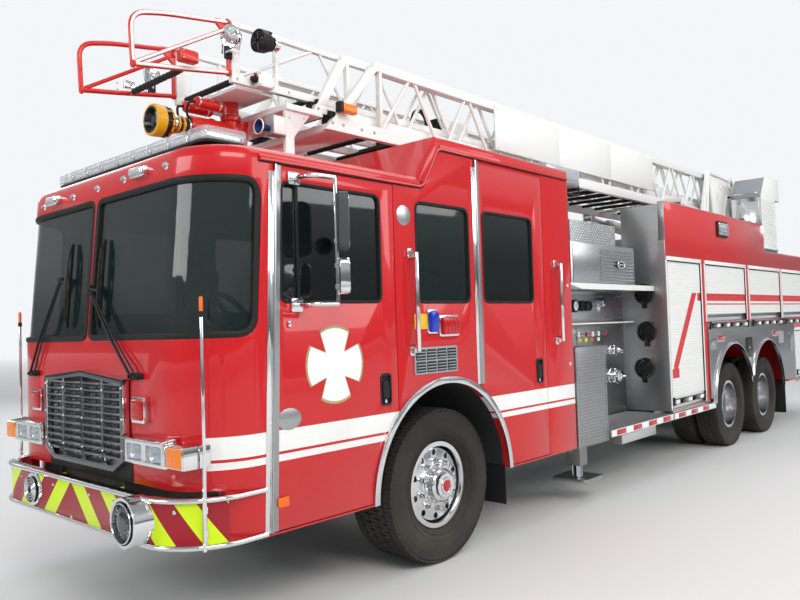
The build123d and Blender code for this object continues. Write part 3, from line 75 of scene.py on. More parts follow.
# %% [markdown]
# ## Camera
# The photograph was taken from low down, a few metres off the left front corner, with a wide phone lens.
# A camera could be aimed by eye, but here its place and turn were solved from known lengths on the
# engine, so the render can be laid over the photograph. The three vectors below are its axes.

# %% Camera
camera_data = bpy.data.cameras.new("photo_camera")
camera_data.lens, camera_data.sensor_width = 33.62, 36.0
camera = bpy.data.objects.new("photo_camera", camera_data)
collection.objects.link(camera)
bearing, pitch, roll = radians(42.32), radians(1.90), radians(-1.79)
ahead = Vector((-cos(bearing), -sin(bearing), 0))
right, down = ahead.cross(Vector((0, 0, 1))), Vector((0, 0, -1))
ahead, down = cos(pitch) * ahead - sin(pitch) * down, cos(pitch) * down + sin(pitch) * ahead
right, down = cos(roll) * right - sin(roll) * down, sin(roll) * right + cos(roll) * down
turn = Matrix((right, -down, -ahead)).transposed()
camera.matrix_world = Matrix.Translation((AXLE + 4.150, 4.634, 1.696)) @ turn.to_4x4()
bpy.context.scene.camera = camera
print("camera at", [round(v, 3) for v in camera.location])

# %% [markdown]
# ## Stage and light
# Glossy red paint and chrome only look right when they have something to mirror. A pale floor that fades
# into a pale surround gives soft, plain reflections, and large soft lamps give long highlights without
# hard spots. The camera sees the surround white. Mirrors see it pale overhead and greyer at the horizon, as
# a yard looks in daylight, which gives chrome its dark line and keeps the red deep.

# %% Stage
def link(tree, source, target):
    """Join two sockets, given as (node, name or number)."""
    tree.links.new(source[0].outputs[source[1]], target[0].inputs[target[1]])


bpy.context.scene.view_settings.view_transform = "Standard"
world = bpy.data.worlds.new("studio")
bpy.context.scene.world = world
world.use_nodes = True
wt = world.node_tree
backdrop_colour = (0.90, 0.92, 0.94, 1)
soft, shown = wt.nodes["Background"], wt.nodes.new("ShaderNodeBackground")
soft.inputs["Color"].default_value, soft.inputs["Strength"].default_value = (0.90, 0.95, 1, 1), 0.62
shown.inputs["Color"].default_value, shown.inputs["Strength"].default_value = backdrop_colour, 1.0
mirrored = wt.nodes.new("ShaderNodeBackground")
heading, parts, ramp = (wt.nodes.new(f"ShaderNode{kind}") for kind in ("TexCoord", "SeparateXYZ", "ValToRGB"))
link(wt, (heading, "Generated"), (parts, 0))
link(wt, (parts, "Z"), (ramp, 0))
ramp.color_ramp.interpolation = "EASE"
heights = ((0.0, 0.16), (0.07, 0.20), (0.16, 0.52), (0.38, 0.66), (0.75, 0.36))
for index, (height, level) in enumerate(heights):
    stop = ramp.color_ramp.elements[index] if index < 2 else ramp.color_ramp.elements.new(height)
    stop.position, stop.color = height, (level * 0.96, level * 0.98, level, 1)
link(wt, (ramp, 0), (mirrored, 0))
rays = wt.nodes.new("ShaderNodeLightPath")
seen = wt.nodes.new("ShaderNodeMath")
seen.operation = "MAXIMUM"
link(wt, (rays, "Is Camera Ray"), (seen, 0))
link(wt, (rays, "Is Transmission Ray"), (seen, 1))
lit, mix = wt.nodes.new("ShaderNodeMixShader"), wt.nodes.new("ShaderNodeMixShader")
for source, target in (((rays, "Is Glossy Ray"), (lit, 0)), ((soft, 0), (lit, 1)), ((mirrored, 0), (lit, 2)),
                       ((seen, 0), (mix, 0)), ((lit, 0), (mix, 1)), ((shown, 0), (mix, 2))):
    link(wt, source, target)
link(wt, (mix, 0), (wt.nodes["World Output"], 0))

floor_mesh = bpy.data.meshes.new("floor")
reach = 150.0
floor_mesh.from_pydata([(-reach, -reach, 0), (reach, -reach, 0), (reach, reach, 0), (-reach, reach, 0)],
                       [], [(0, 1, 2, 3)])
floor = bpy.data.objects.new("floor", floor_mesh)
collection.objects.link(floor)
floor_paint = bpy.data.materials.new("pale_floor")
floor_paint.use_nodes = True
ft = floor_paint.node_tree
shade = ft.nodes["Principled BSDF"]
shade.inputs["Base Color"].default_value = (0.66, 0.66, 0.655, 1)
shade.inputs["Roughness"].default_value = 0.72
glow = ft.nodes.new("ShaderNodeEmission")
glow.inputs["Color"].default_value = backdrop_colour
place, away, fade, blend = (ft.nodes.new(f"ShaderNode{kind}") for kind in
                            ("TexCoord", "VectorMath", "MapRange", "MixShader"))
away.operation = "LENGTH"
fade.inputs["From Min"].default_value, fade.inputs["From Max"].default_value = 12.0, 60.0
link(ft, (place, "Object"), (away, 0))
link(ft, (away, "Value"), (fade, "Value"))
link(ft, (fade, 0), (blend, 0))
link(ft, (shade, 0), (blend, 1))
link(ft, (glow, 0), (blend, 2))
link(ft, (blend, 0), (ft.nodes["Material Output"], 0))
floor_mesh.materials.append(floor_paint)


def lamp(name, place, target, size, power, colour=(1, 1, 1)):
    """A soft rectangular lamp that points at a target."""
    data = bpy.data.lights.new(name, "AREA")
    data.shape, data.size, data.size_y = "RECTANGLE", size[0], size[1]
    data.energy, data.color = power, colour
    bulb = bpy.data.objects.new(name, data)
    bulb.location = place
    bulb.rotation_euler = (Vector(target) - Vector(place)).to_track_quat("-Z", "Y").to_euler()
    collection.objects.link(bulb)


lamp("key", (9, 11, 10), (0, 0, 1.4), (9, 5), 1120, (1, 0.97, 0.92))
lamp("long_side", (-4, 13, 7), (-2, 0, 1.5), (14, 4), 640)
lamp("front_fill", (15, -3, 6), (4, 0, 1.5), (6, 4), 400)
lamp("far_side", (-2, -13, 8), (0, 0, 1.5), (14, 5), 560)
lamp("overhead", (-1, 0, 13), (0, 0, 0), (16, 6), 640)

# %% [markdown]
# ## Effects shared by many finishes
# Real paint, steel and rubber are never one flat value. The same few effects turn up everywhere: a slow
# cloudiness, a fine grain, road dust that thickens towards the ground, and bands of colour at a height.
# Each is one node group with named sockets, built once and placed wherever it is needed.

# %% Node group helpers
def group(name, inputs, outputs):
    """An empty shader group; inputs are (name, kind, default) and outputs (name, kind)."""
    tree = bpy.data.node_groups.new(name, "ShaderNodeTree")
    for label, kind, default in inputs:
        tree.interface.new_socket(label, in_out="INPUT", socket_type=f"NodeSocket{kind}").default_value = default
    for label, kind in outputs:
        tree.interface.new_socket(label, in_out="OUTPUT", socket_type=f"NodeSocket{kind}")
    return tree, tree.nodes.new("NodeGroupInput"), tree.nodes.new("NodeGroupOutput")


def node(tree, kind, **settings):
    """A shader node with its settings; keys that name sockets in capitals set their values."""
    made = tree.nodes.new(f"ShaderNode{kind}")
    for key, value in settings.items():
        if key[0].isupper():
            made.inputs[key.replace("_", " ")].default_value = value
        else:
            setattr(made, key, value)
    return made


def maths(tree, operation, first, second=None):
    """A maths node fed by sockets or numbers; returns (node, 0) to link on."""
    made = node(tree, "Math", operation=operation)
    for index, value in enumerate((first, second)):
        if isinstance(value, tuple):
            link(tree, value, (made, index))
        elif value is not None:
            made.inputs[index].default_value = value
    return made, 0


def blend_colour(tree, share, first, second):
    """A colour mix; each input is (node, socket) or a plain value."""
    made = tree.nodes.new("ShaderNodeMix")
    made.data_type = "RGBA"
    for index, value in ((0, share), (6, first), (7, second)):
        if isinstance(value, tuple) and len(value) == 2:
            link(tree, value, (made, index))
        else:
            made.inputs[index].default_value = value
    return made, 2


# %% Effect groups
cloud, ci, co = group("cloudy_tone", (("Colour", "Color", (1, 1, 1, 1)), ("Scale", "Float", 3.0),
                                      ("Amount", "Float", 0.1)), (("Colour", "Color"), ("Mask", "Float")))
spot, noise = node(cloud, "TexCoord"), node(cloud, "TexNoise", Detail=4.0)
link(cloud, (spot, "Object"), (noise, "Vector"))
link(cloud, (ci, "Scale"), (noise, "Scale"))
shadow = blend_colour(cloud, 0.75, (0, 0, 0, 1), (ci, "Colour"))
mask = maths(cloud, "MULTIPLY", (noise, 0), (ci, "Amount"))
link(cloud, blend_colour(cloud, mask, (ci, "Colour"), shadow), (co, "Colour"))
link(cloud, (noise, 0), (co, "Mask"))

grain, gi, go = group("grain", (("Scale", "Float", 400.0), ("Stretch", "Vector", (1, 1, 1)),
                                ("Roughness", "Float", 0.4), ("Amount", "Float", 0.1)),
                      (("Height", "Float"), ("Roughness", "Float")))
spot, pull, noise = node(grain, "TexCoord"), node(grain, "VectorMath", operation="MULTIPLY"), node(grain, "TexNoise")
noise.inputs["Detail"].default_value = 3.0
link(grain, (spot, "Object"), (pull, 0))
link(grain, (gi, "Stretch"), (pull, 1))
link(grain, (pull, 0), (noise, "Vector"))
link(grain, (gi, "Scale"), (noise, "Scale"))
swing = maths(grain, "MULTIPLY", maths(grain, "SUBTRACT", (noise, 0), 0.5), (gi, "Amount"))
link(grain, (noise, 0), (go, "Height"))
link(grain, maths(grain, "ADD", (gi, "Roughness"), swing), (go, "Roughness"))

dust, di, do = group("road_dust", (("Colour", "Color", (1, 1, 1, 1)), ("Roughness", "Float", 0.3),
                                   ("Reach", "Float", 1.0), ("Amount", "Float", 0.5)),
                     (("Colour", "Color"), ("Roughness", "Float")))
spot, split, noise = node(dust, "TexCoord"), node(dust, "SeparateXYZ"), node(dust, "TexNoise", Scale=2.2, Detail=6.0)
link(dust, (spot, "Object"), (split, 0))
link(dust, (spot, "Object"), (noise, "Vector"))
low = maths(dust, "SUBTRACT", 1.0, maths(dust, "DIVIDE", (split, "Z"), (di, "Reach")))
low[0].use_clamp = True
patch = maths(dust, "MULTIPLY", maths(dust, "POWER", (noise, 0), 1.5), 1.8)
veil = maths(dust, "MULTIPLY", maths(dust, "MULTIPLY", low, patch), (di, "Amount"))
veil[0].use_clamp = True
link(dust, blend_colour(dust, veil, (di, "Colour"), (0.30, 0.26, 0.21, 1)), (do, "Colour"))
link(dust, maths(dust, "ADD", (di, "Roughness"), maths(dust, "MULTIPLY", veil, 0.5)), (do, "Roughness"))

band, bi, bo = group("level_band", (("Value", "Float", 0.0), ("Low", "Float", 0.0), ("High", "Float", 1.0)),
                     (("Mask", "Float"),))
inside = maths(band, "MULTIPLY", maths(band, "GREATER_THAN", (bi, "Value"), (bi, "Low")),
               maths(band, "LESS_THAN", (bi, "Value"), (bi, "High")))
link(band, inside, (bo, "Mask"))


def use(tree, shared, **values):
    """Place a shared group; a value is a plain default or a (node, socket) pair."""
    made = node(tree, "Group", node_tree=shared)
    for key, value in values.items():
        if isinstance(value, tuple) and len(value) == 2:
            link(tree, value, (made, key))
        else:
            made.inputs[key].default_value = value
    return made


print("shared effects:", [g.name for g in bpy.data.node_groups])

# %% [markdown]
# ## Finishes
# Every finish is one Principled shader fed by those effects. What is the same all over a surface, such as
# coat or metallic, is typed into the shader itself. `finish` builds the common kind in one call; paint with
# stripes and the few special surfaces get their own nodes after it.

# %% Plain finishes
finishes = {}


def finish(name, colour, rough=0.4, metal=0.0, coat=0.0, tone=0.1, tone_scale=1.5, grain_scale=300.0,
           stretch=(1, 1, 1), vary=0.08, bump=0.0, dirt=0.0, dirt_reach=1.2, painted=None, **sockets):
    """A finish with cloudy tone, grain and dust; `painted(tree)` may return the colour that varies in space."""
    made = bpy.data.materials.new(name)
    made.use_nodes = True
    tree = made.node_tree
    shader = tree.nodes["Principled BSDF"]
    start = painted(tree) if painted else (*colour, 1)
    tinted = use(tree, cloud, Colour=start, Scale=tone_scale, Amount=tone)
    fine = use(tree, grain, Scale=grain_scale, Stretch=stretch, Roughness=rough, Amount=vary)
    dusty = use(tree, dust, Colour=(tinted, "Colour"), Roughness=(fine, "Roughness"), Reach=dirt_reach, Amount=dirt)
    link(tree, (dusty, "Colour"), (shader, "Base Color"))
    link(tree, (dusty, "Roughness"), (shader, "Roughness"))
    if bump:
        relief = node(tree, "Bump", Strength=0.4, Distance=bump)
        link(tree, (fine, "Height"), (relief, "Height"))
        link(tree, (relief, 0), (shader, "Normal"))
    shader.inputs["Metallic"].default_value = metal
    shader.inputs["Coat Weight"].default_value = coat
    shader.inputs["Coat Roughness"].default_value = 0.04
    shader.inputs["Specular IOR Level"].default_value = 0.5 if metal else 0.2
    for key, value in sockets.items():
        shader.inputs[key.replace("_", " ")].default_value = value
    made.diffuse_color = (*colour, 1)
    finishes[name] = made
    return made


def stripes(base, *bands):
    """A colour source: the base with bands of (axis, low, high, limits, colour), limits on other axes."""
    def build(tree):
        spot, split = node(tree, "TexCoord"), node(tree, "SeparateXYZ")
        link(tree, (spot, "Object"), (split, 0))
        colour = (*base, 1)
        for axis, low, high, limits, paint in bands:
            area = (use(tree, band, Value=(split, axis), Low=low, High=high), "Mask")
            for other, (other_low, other_high) in limits.items():
                edge = (use(tree, band, Value=(split, other), Low=other_low, High=other_high), "Mask")
                area = maths(tree, "MULTIPLY", area, edge)
            colour = blend_colour(tree, area, colour, (*paint, 1))
        return colour
    return build


RED, WHITE, LIME = (0.52, 0.008, 0.012), (0.80, 0.80, 0.78), (0.60, 0.80, 0.01)
STRIPE_RED = (0.60, 0.012, 0.02)
cab_stripes = [("Z", low, high, {"X": from_axle(-1.87, 1.90), "Y": side}, WHITE)
               for low, high in ((1.000, 1.120), (0.944, 0.983)) for side in ((0.9, 1.3), (-1.3, -0.9))]
cab_red = finish("cab_red_paint", RED, 0.30, coat=0.6, tone=0.06, bump=0.00005, grain_scale=220, dirt=0.18,
                 dirt_reach=0.95, painted=stripes(RED, *cab_stripes))
body_red = finish("body_red_paint", RED, 0.30, coat=0.6, tone=0.06, bump=0.00005, grain_scale=220, dirt=0.15)
tip_red = finish("tip_red_paint", (0.60, 0.02, 0.015), 0.35, coat=0.5, tone=0.15, bump=0.0001)
white = finish("ladder_white_paint", (0.78, 0.78, 0.76), 0.38, coat=0.35, tone=0.10, bump=0.0001, tone_scale=2.5)
grey_paint = finish("grey_paint", (0.30, 0.32, 0.34), 0.45, coat=0.2, tone=0.15)
chrome = finish("chrome", (0.78, 0.79, 0.80), 0.06, metal=1.0, tone=0.05, vary=0.03, dirt=0.15)
alloy = finish("polished_alloy", (0.74, 0.75, 0.77), 0.16, metal=1.0, tone=0.12, grain_scale=60, vary=0.1, dirt=0.35,
               tone_scale=6)
steel = finish("brushed_stainless", (0.44, 0.45, 0.46), 0.30, metal=1.0, tone=0.10, grain_scale=60,
               stretch=(0.6, 0.6, 14), vary=0.16, bump=0.0001, dirt=0.25)
steel_level = finish("stainless_brushed_level", (0.48, 0.49, 0.50), 0.28, metal=1.0, tone=0.10, grain_scale=60,
                     stretch=(14, 14, 0.6), vary=0.16, bump=0.0001, dirt=0.25)
tread = finish("tread_plate", (0.34, 0.35, 0.36), 0.40, metal=1.0, tone=0.22, tone_scale=5, grain_scale=150,
               vary=0.15, dirt=0.3)
tread_bars = finish("tread_bars", (0.74, 0.75, 0.77), 0.22, metal=1.0, tone=0.1, tone_scale=5, vary=0.1, dirt=0.1)
dark_chrome = finish("dark_chrome", (0.16, 0.165, 0.175), 0.12, metal=1.0, tone=0.1, vary=0.05)
chassis_black = finish("chassis_black", (0.018, 0.018, 0.02), 0.5, tone=0.3, bump=0.0003, dirt=0.6)
black = finish("black_plastic", (0.015, 0.015, 0.016), 0.45, tone=0.2, grain_scale=500, bump=0.0001, dirt=0.1)
gloss_black = finish("gloss_black", (0.01, 0.01, 0.011), 0.15, coat=0.5, tone=0.1)
rubber = finish("seal_rubber", (0.014, 0.014, 0.014), 0.55, tone=0.2, grain_scale=300, bump=0.0002)
tyre_black = finish("tyre_rubber", (0.016, 0.0155, 0.015), 0.74, tone=0.35, tone_scale=5, grain_scale=180,
                    bump=0.0006, dirt=0.22, dirt_reach=1.3, vary=0.15)
grey_plastic = finish("grey_plastic", (0.10, 0.10, 0.105), 0.6, tone=0.15, grain_scale=700, bump=0.0003)
cabin_grey = finish("cabin_lining", (0.16, 0.16, 0.165), 0.8, tone=0.15, grain_scale=350, bump=0.0005)
lime = finish("lime_paint", LIME, 0.35, coat=0.4, tone=0.08)
amber = finish("amber_lens", (0.85, 0.22, 0.01), 0.12, coat=0.6, tone=0.15, grain_scale=90, bump=0.0006)
red_lens = finish("red_lens", (0.45, 0.008, 0.012), 0.12, coat=0.6, tone=0.2, grain_scale=90, bump=0.0006)
blue_lens = finish("blue_lens", (0.01, 0.035, 0.42), 0.12, coat=0.6, tone=0.2)
yellow = finish("yellow_enamel", (0.80, 0.50, 0.02), 0.4, coat=0.3, tone=0.12)
orange = finish("orange_enamel", (0.80, 0.14, 0.01), 0.4, coat=0.3, tone=0.12)
blue = finish("blue_enamel", (0.02, 0.10, 0.45), 0.4, coat=0.3, tone=0.12)
dial_white = finish("dial_white", (0.82, 0.82, 0.80), 0.35, coat=0.3, tone=0.04)
cast_iron = finish("cast_iron", (0.10, 0.10, 0.10), 0.7, metal=0.3, tone=0.3, grain_scale=120, bump=0.001)
seat_cloth = finish("seat_cloth", (0.045, 0.047, 0.052), 0.9, tone=0.2, grain_scale=900, bump=0.0006, vary=0.1,
                    Sheen_Weight=0.3)
mirror_glass = finish("mirror_glass", (0.86, 0.88, 0.90), 0.02, metal=1.0, tone=0.02, vary=0.0)
rod_chrome = finish("rod_chrome", (0.72, 0.73, 0.75), 0.10, metal=1.0, tone=0.08, vary=0.05)
lamp_silver = finish("lamp_reflector", (0.80, 0.81, 0.83), 0.18, metal=1.0, tone=0.10, grain_scale=40, bump=0.001)
cable_blue = finish("dark_blue_cable", (0.012, 0.03, 0.12), 0.5, tone=0.15, grain_scale=400, bump=0.0002)


def glass(name, colour, alpha, rough=0.03, scale=1.2):
    """Clear or tinted glass as a thin coated film: part see-through, with a faint cloud in its tint."""
    made = finish(name, colour, rough, tone=0.1, tone_scale=scale, vary=0.0, Specular_IOR_Level=0.75)
    tree = made.node_tree
    shader, wave = tree.nodes["Principled BSDF"], node(tree, "TexNoise", Scale=0.8)
    sweep = node(tree, "MapRange", To_Min=alpha - 0.05, To_Max=alpha + 0.05)
    link(tree, (wave, 0), (sweep, "Value"))
    link(tree, (sweep, 0), (shader, "Alpha"))
    return made


tinted_glass = glass("tinted_glass", (0.010, 0.020, 0.020), 0.62)
dark_glass = glass("dark_glass", (0.006, 0.010, 0.011), 0.80)
clear_lens = glass("clear_lens", (0.55, 0.60, 0.64), 0.34, 0.05, 8.0)


# %% [markdown]
# ## Warning chevrons
# The bumper carries slanted lime and red bars that climb towards the middle, where they meet in a V.
# They follow a rule, so they are drawn in the shader: the height plus the way out from the middle, wrapped.

# %% Chevron paint
def chevrons(nose_x, pitch, phase, share):
    """Lime and red bars that meet at the middle line and run on round the corners."""
    def build(tree):
        spot, split = node(tree, "TexCoord"), node(tree, "SeparateXYZ")
        link(tree, (spot, "Object"), (split, 0))
        back = maths(tree, "MAXIMUM", maths(tree, "SUBTRACT", nose_x, (split, "X")), 0.0)
        way = maths(tree, "ADD", maths(tree, "ADD", maths(tree, "ABSOLUTE", (split, "Y")), back), (split, "Z"))
        wrap = maths(tree, "FRACT", maths(tree, "DIVIDE", maths(tree, "ADD", way, phase), pitch))
        return blend_colour(tree, maths(tree, "LESS_THAN", wrap, share), (0.30, 0.01, 0.02, 1), (*LIME, 1))
    return build


chevron_film = finish("chevron_film", LIME, 0.35, coat=0.3, tone=0.08,
                      painted=chevrons(AXLE + 2.11, 0.375, -0.05, 0.45))
print(len(finishes), "finishes")

# %% [markdown]
# ## A small workshop
# Most fittings on the engine are bent, turned, cut or folded metal. Blender's operators could make each by
# hand; here a small builder collects such forms in one mesh, eases their edges and gives every form its own
# finish. One piece is then one object that rides on one body.

# %% The builder
def frame_along(direction, up=(0, 0, 1)):
    """Two unit vectors square to a direction."""
    direction = Vector(direction).normalized()
    up = Vector(up)
    if abs(direction.dot(up)) > 0.95:
        up = Vector((1, 0, 0))
    side = up.cross(direction).normalized()
    return side, direction.cross(side)


BLOCK_FACES = ((0, 1, 2, 3), (4, 5, 6, 7), (0, 1, 5, 4), (1, 2, 6, 5), (2, 3, 7, 6), (3, 0, 4, 7))


class Piece:
    """Collects closed forms in one mesh, each with a finish of its own."""

    def __init__(self, name):
        self.name, self.mesh, self.finishes = name, bmesh.new(), []

    def paint(self, faces, material):
        if material not in self.finishes:
            self.finishes.append(material)
        for face in faces:
            face.material_index = self.finishes.index(material)

    def ease(self, faces, width, steps=2):
        """Round the edges of one closed form."""
        if width:
            edges = {edge for face in faces for edge in face.edges if len(edge.link_faces) == 2
                     and edge.calc_face_angle(0) > radians(25)}
            bmesh.ops.bevel(self.mesh, geom=list(edges), offset=width, segments=steps, affect="EDGES",
                            profile=0.5, clamp_overlap=True)

    def shape(self, points, faces, material, bevel=0.0, steps=2):
        """Any closed form from points and faces."""
        before = set(self.mesh.faces)
        made = [self.mesh.verts.new(point) for point in points]
        fresh = [self.mesh.faces.new([made[index] for index in face]) for face in faces]
        bmesh.ops.recalc_face_normals(self.mesh, faces=fresh)
        self.ease(fresh, bevel, steps)
        self.paint([face for face in self.mesh.faces if face not in before], material)

    def box(self, x, y, z, material, bevel=0.004, steps=2):
        """A block between its low and high faces."""
        points = [(a, b, c) for a in x for b in y for c in z]
        self.shape(points, ((0, 1, 3, 2), (4, 6, 7, 5), (0, 4, 5, 1), (2, 3, 7, 6), (0, 2, 6, 4), (1, 5, 7, 3)),
                   material, bevel, steps)

    def prism(self, outline, axis, low, high, material, bevel=0.0, steps=2):
        """An outline in the other two axes, in X, Y, Z order, drawn out along one axis."""
        place = {"X": lambda a, b, c: (c, a, b), "Y": lambda a, b, c: (a, c, b), "Z": lambda a, b, c: (a, b, c)}[axis]
        count = len(outline)
        points = [place(a, b, level) for level in (low, high) for a, b in outline]
        sides = [(i, (i + 1) % count, count + (i + 1) % count, count + i) for i in range(count)]
        self.shape(points, [tuple(range(count)), tuple(range(count, 2 * count)), *sides], material, bevel, steps)

    def turned(self, start, axis, profile, material, sides=32, ring=False):
        """A form turned about an axis; the profile is (distance along, radius). A ring closes on itself."""
        u, v = frame_along(axis)
        start, axis = Vector(start), Vector(axis).normalized()
        rings, points, faces = [], [], []
        for along, radius in profile:
            if radius < 1e-6:
                rings.append([len(points)])
                points.append(start + axis * along)
            else:
                rings.append(list(range(len(points), len(points) + sides)))
                points += [start + axis * along + radius * (cos(tau * i / sides) * u + sin(tau * i / sides) * v)
                           for i in range(sides)]
        for first, second in zip(rings, rings[1:] + rings[:1] if ring else rings[1:]):
            for i in range(sides):
                j = (i + 1) % sides
                quad = [first[i % len(first)], first[j % len(first)], second[j % len(second)],
                        second[i % len(second)]]
                faces.append(tuple(dict.fromkeys(quad)))
        if not ring:
            faces += [tuple(end) for end in (rings[0], rings[-1]) if len(end) > 1]
        self.shape(points, [f for f in faces if len(f) > 2], material)

    def rod(self, start, end, radius, material, sides=16, bevel=0.0, end_radius=None):
        """A round bar with eased ends."""
        start, end = Vector(start), Vector(end)
        length, far = (end - start).length, radius if end_radius is None else end_radius
        bevel = min(bevel, 0.45 * length)
        profile = [(0, radius - bevel), (bevel, radius), (length - bevel, far), (length, far - bevel)] if bevel else \
            [(0, radius), (length, far)]
        self.turned(start, end - start, profile, material, sides)

    def tube(self, path, radius, material, sides=12, closed=False):
        """A round tube along points, with flat ends."""
        path = [Vector(point) for point in path]
        count = len(path)
        u = None
        points, faces = [], []
        for i, here in enumerate(path):
            before = path[i - 1] if i or closed else here
            after = path[(i + 1) % count] if i + 1 < count or closed else here
            heading = (after - before).normalized()
            u = frame_along(heading)[0] if u is None else (u - heading * u.dot(heading)).normalized()
            v = heading.cross(u)
            points += [here + radius * (cos(tau * k / sides) * u + sin(tau * k / sides) * v) for k in range(sides)]
        for i in range(count if closed else count - 1):
            for k in range(sides):
                a, b, m = i * sides, ((i + 1) % count) * sides, (k + 1) % sides
                faces.append((a + k, a + m, b + m, b + k))
        if not closed:
            faces += [tuple(range(sides)), tuple(range((count - 1) * sides, count * sides))]
        self.shape(points, faces, material)

    def strip(self, path, faces_out, section, material, closed=True):
        """A moulding: a section of (across, out) points drawn along a path whose outward normals are given."""
        path = [Vector(point) for point in path]
        faces_out = [Vector(out) for out in faces_out]
        count, size = len(path), len(section)
        points, faces = [], []
        for i, here in enumerate(path):
            before = path[i - 1] if i or closed else here
            after = path[(i + 1) % count] if i + 1 < count or closed else here
            heading = (after - before).normalized()
            across = heading.cross(faces_out[i]).normalized()
            points += [here + across * a + faces_out[i] * b for a, b in section]
        for i in range(count if closed else count - 1):
            for k in range(size):
                a, b, m = i * size, ((i + 1) % count) * size, (k + 1) % size
                faces.append((a + k, a + m, b + m, b + k))
        if not closed:
            faces += [tuple(range(size)), tuple(range((count - 1) * size, count * size))]
        self.shape(points, faces, material)

    def mesh_in(self, data, material, move=Matrix()):
        """Take in a finished mesh, moved by a matrix, with one finish."""
        before = set(self.mesh.faces)
        old = set(self.mesh.verts)
        self.mesh.from_mesh(data)
        bmesh.ops.transform(self.mesh, matrix=move, verts=[v for v in self.mesh.verts if v not in old])
        self.paint([face for face in self.mesh.faces if face not in before], material)

    def done(self, body, slot, stands_for=(), smooth=32):
        """Turn the forms into one object on a body; the slot is not used."""
        data = bpy.data.meshes.new(self.name)
        self.mesh.to_mesh(data)
        self.mesh.free()
        for material in self.finishes:
            data.materials.append(material)
        return settle(bpy.data.objects.new(self.name, data), body, stands_for, smooth)


def settle(piece, body, stands_for=(), smooth=32):
    """Link an object, smooth its gentle edges, hang it on its body and hide the CAD parts it stands for."""
    if piece.name not in collection.objects:
        collection.objects.link(piece)
    if smooth:
        piece.data.shade_smooth()
        piece.data.set_sharp_from_angle(angle=radians(smooth))
    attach(piece, body)
    if stands_for:
        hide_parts(*stands_for)
    print(f"{piece.name}: {len(piece.data.polygons)} faces on {body}")
    return piece


def arc(centre, radius, first, last, steps):
    """Points of an arc in a plane, angles in degrees."""
    return [(centre[0] + radius * cos(radians(first + (last - first) * i / steps)),
             centre[1] + radius * sin(radians(first + (last - first) * i / steps))) for i in range(steps + 1)]


def circle(count, across, up=None, middle=(0.0, 0.0), phase=0.0):
    """Points round an ellipse in a plane, from its half sizes and the share of a step that it starts at."""
    up = across if up is None else up
    return [(middle[0] + across * cos(tau * (k + phase) / count), middle[1] + up * sin(tau * (k + phase) / count))
            for k in range(count)]


def span(sign, near, far, base=0.0):
    """The low and high Y of a depth that runs outwards on one side, from a base."""
    return sorted((base + sign * near, base + sign * far))


def rounded(low, high, radius, steps=6):
    """A rectangle with round corners, as points in a plane, counter-clockwise."""
    corners = ((high[0], high[1], 0), (low[0], high[1], 90), (low[0], low[1], 180), (high[0], low[1], 270))
    points = []
    for a, b, start in corners:
        centre = (a - radius if a == high[0] else a + radius, b - radius if b == high[1] else b + radius)
        points += arc(centre, radius, start, start + 90, steps)
    return points


def softened(corners, radius, steps=5):
    """A path through corners in space, each rounded by a radius."""
    corners = [Vector(corner) for corner in corners]
    path = [corners[0]]
    for before, here, after in zip(corners, corners[1:], corners[2:]):
        back, on = (before - here), (after - here)
        cut = min(radius, 0.45 * back.length, 0.45 * on.length)
        first, last = here + back.normalized() * cut, here + on.normalized() * cut
        path += [(1 - t) ** 2 * first + 2 * t * (1 - t) * here + t ** 2 * last for t in
                 (i / steps for i in range(steps + 1))]
    return path + [corners[-1]]


def looped(corners, radii, steps=6, gap=None):
    """A closed path through corners, each rounded by its radius; long runs are divided at the gap."""
    corners = [Vector(corner) for corner in corners]
    path = []
    for index, here in enumerate(corners):
        before, after = corners[index - 1], corners[(index + 1) % len(corners)]
        radius, next_radius = radii[index], radii[(index + 1) % len(corners)]
        back, on = (before - here).normalized(), (after - here).normalized()
        path += [(1 - t) ** 2 * (here + back * radius) + 2 * t * (1 - t) * here + t ** 2 * (here + on * radius)
                 for t in (i / steps for i in range(steps + 1))]
        run = (after - here).length - radius - next_radius
        parts = max(1, int(run / gap)) if gap else 1
        path += [here + on * (radius + run * i / parts) for i in range(1, parts)]
    return path


# %% [markdown]
# ## Eased copies of CAD solids
# The CAD solids have knife edges, and a real edge always catches a thin line of light. Where a solid's
# shape is right, a copy of its mesh is merged, its flat faces are joined up, and a small bevel is added.

# %% Eased copies
def eased(name, body, material, width=0.003, source=None, steps=2, angle=30, smooth=40, also=(), drawn=None):
    """A copy of a CAD node with small bevels, standing for the node; `drawn` may move its points."""
    source = source or name
    mesh = bmesh.new()
    mesh.from_mesh(nodes[source].data)
    bmesh.ops.remove_doubles(mesh, verts=mesh.verts, dist=0.00002)
    if drawn:
        for vertex in mesh.verts:
            vertex.co = drawn(vertex.co)
    bmesh.ops.dissolve_limit(mesh, angle_limit=radians(0.6), verts=mesh.verts, edges=mesh.edges)
    data = bpy.data.meshes.new(f"{name}_dressed")
    mesh.to_mesh(data)
    mesh.free()
    data.materials.clear()
    data.materials.append(material)
    for polygon in data.polygons:
        polygon.material_index = 0
    piece = bpy.data.objects.new(f"{name}_dressed", data)
    collection.objects.link(piece)
    if width:
        bevel = piece.modifiers.new("ease", "BEVEL")
        bevel.width, bevel.segments, bevel.limit_method = width, steps, "ANGLE"
        bevel.angle_limit, bevel.use_clamp_overlap, bevel.harden_normals = radians(angle), True, False
        depsgraph = bpy.context.evaluated_depsgraph_get()
        finished = bpy.data.meshes.new_from_object(piece.evaluated_get(depsgraph))
        piece.modifiers.clear()
        piece.data = finished
    return settle(piece, body, (source, *also), smooth)


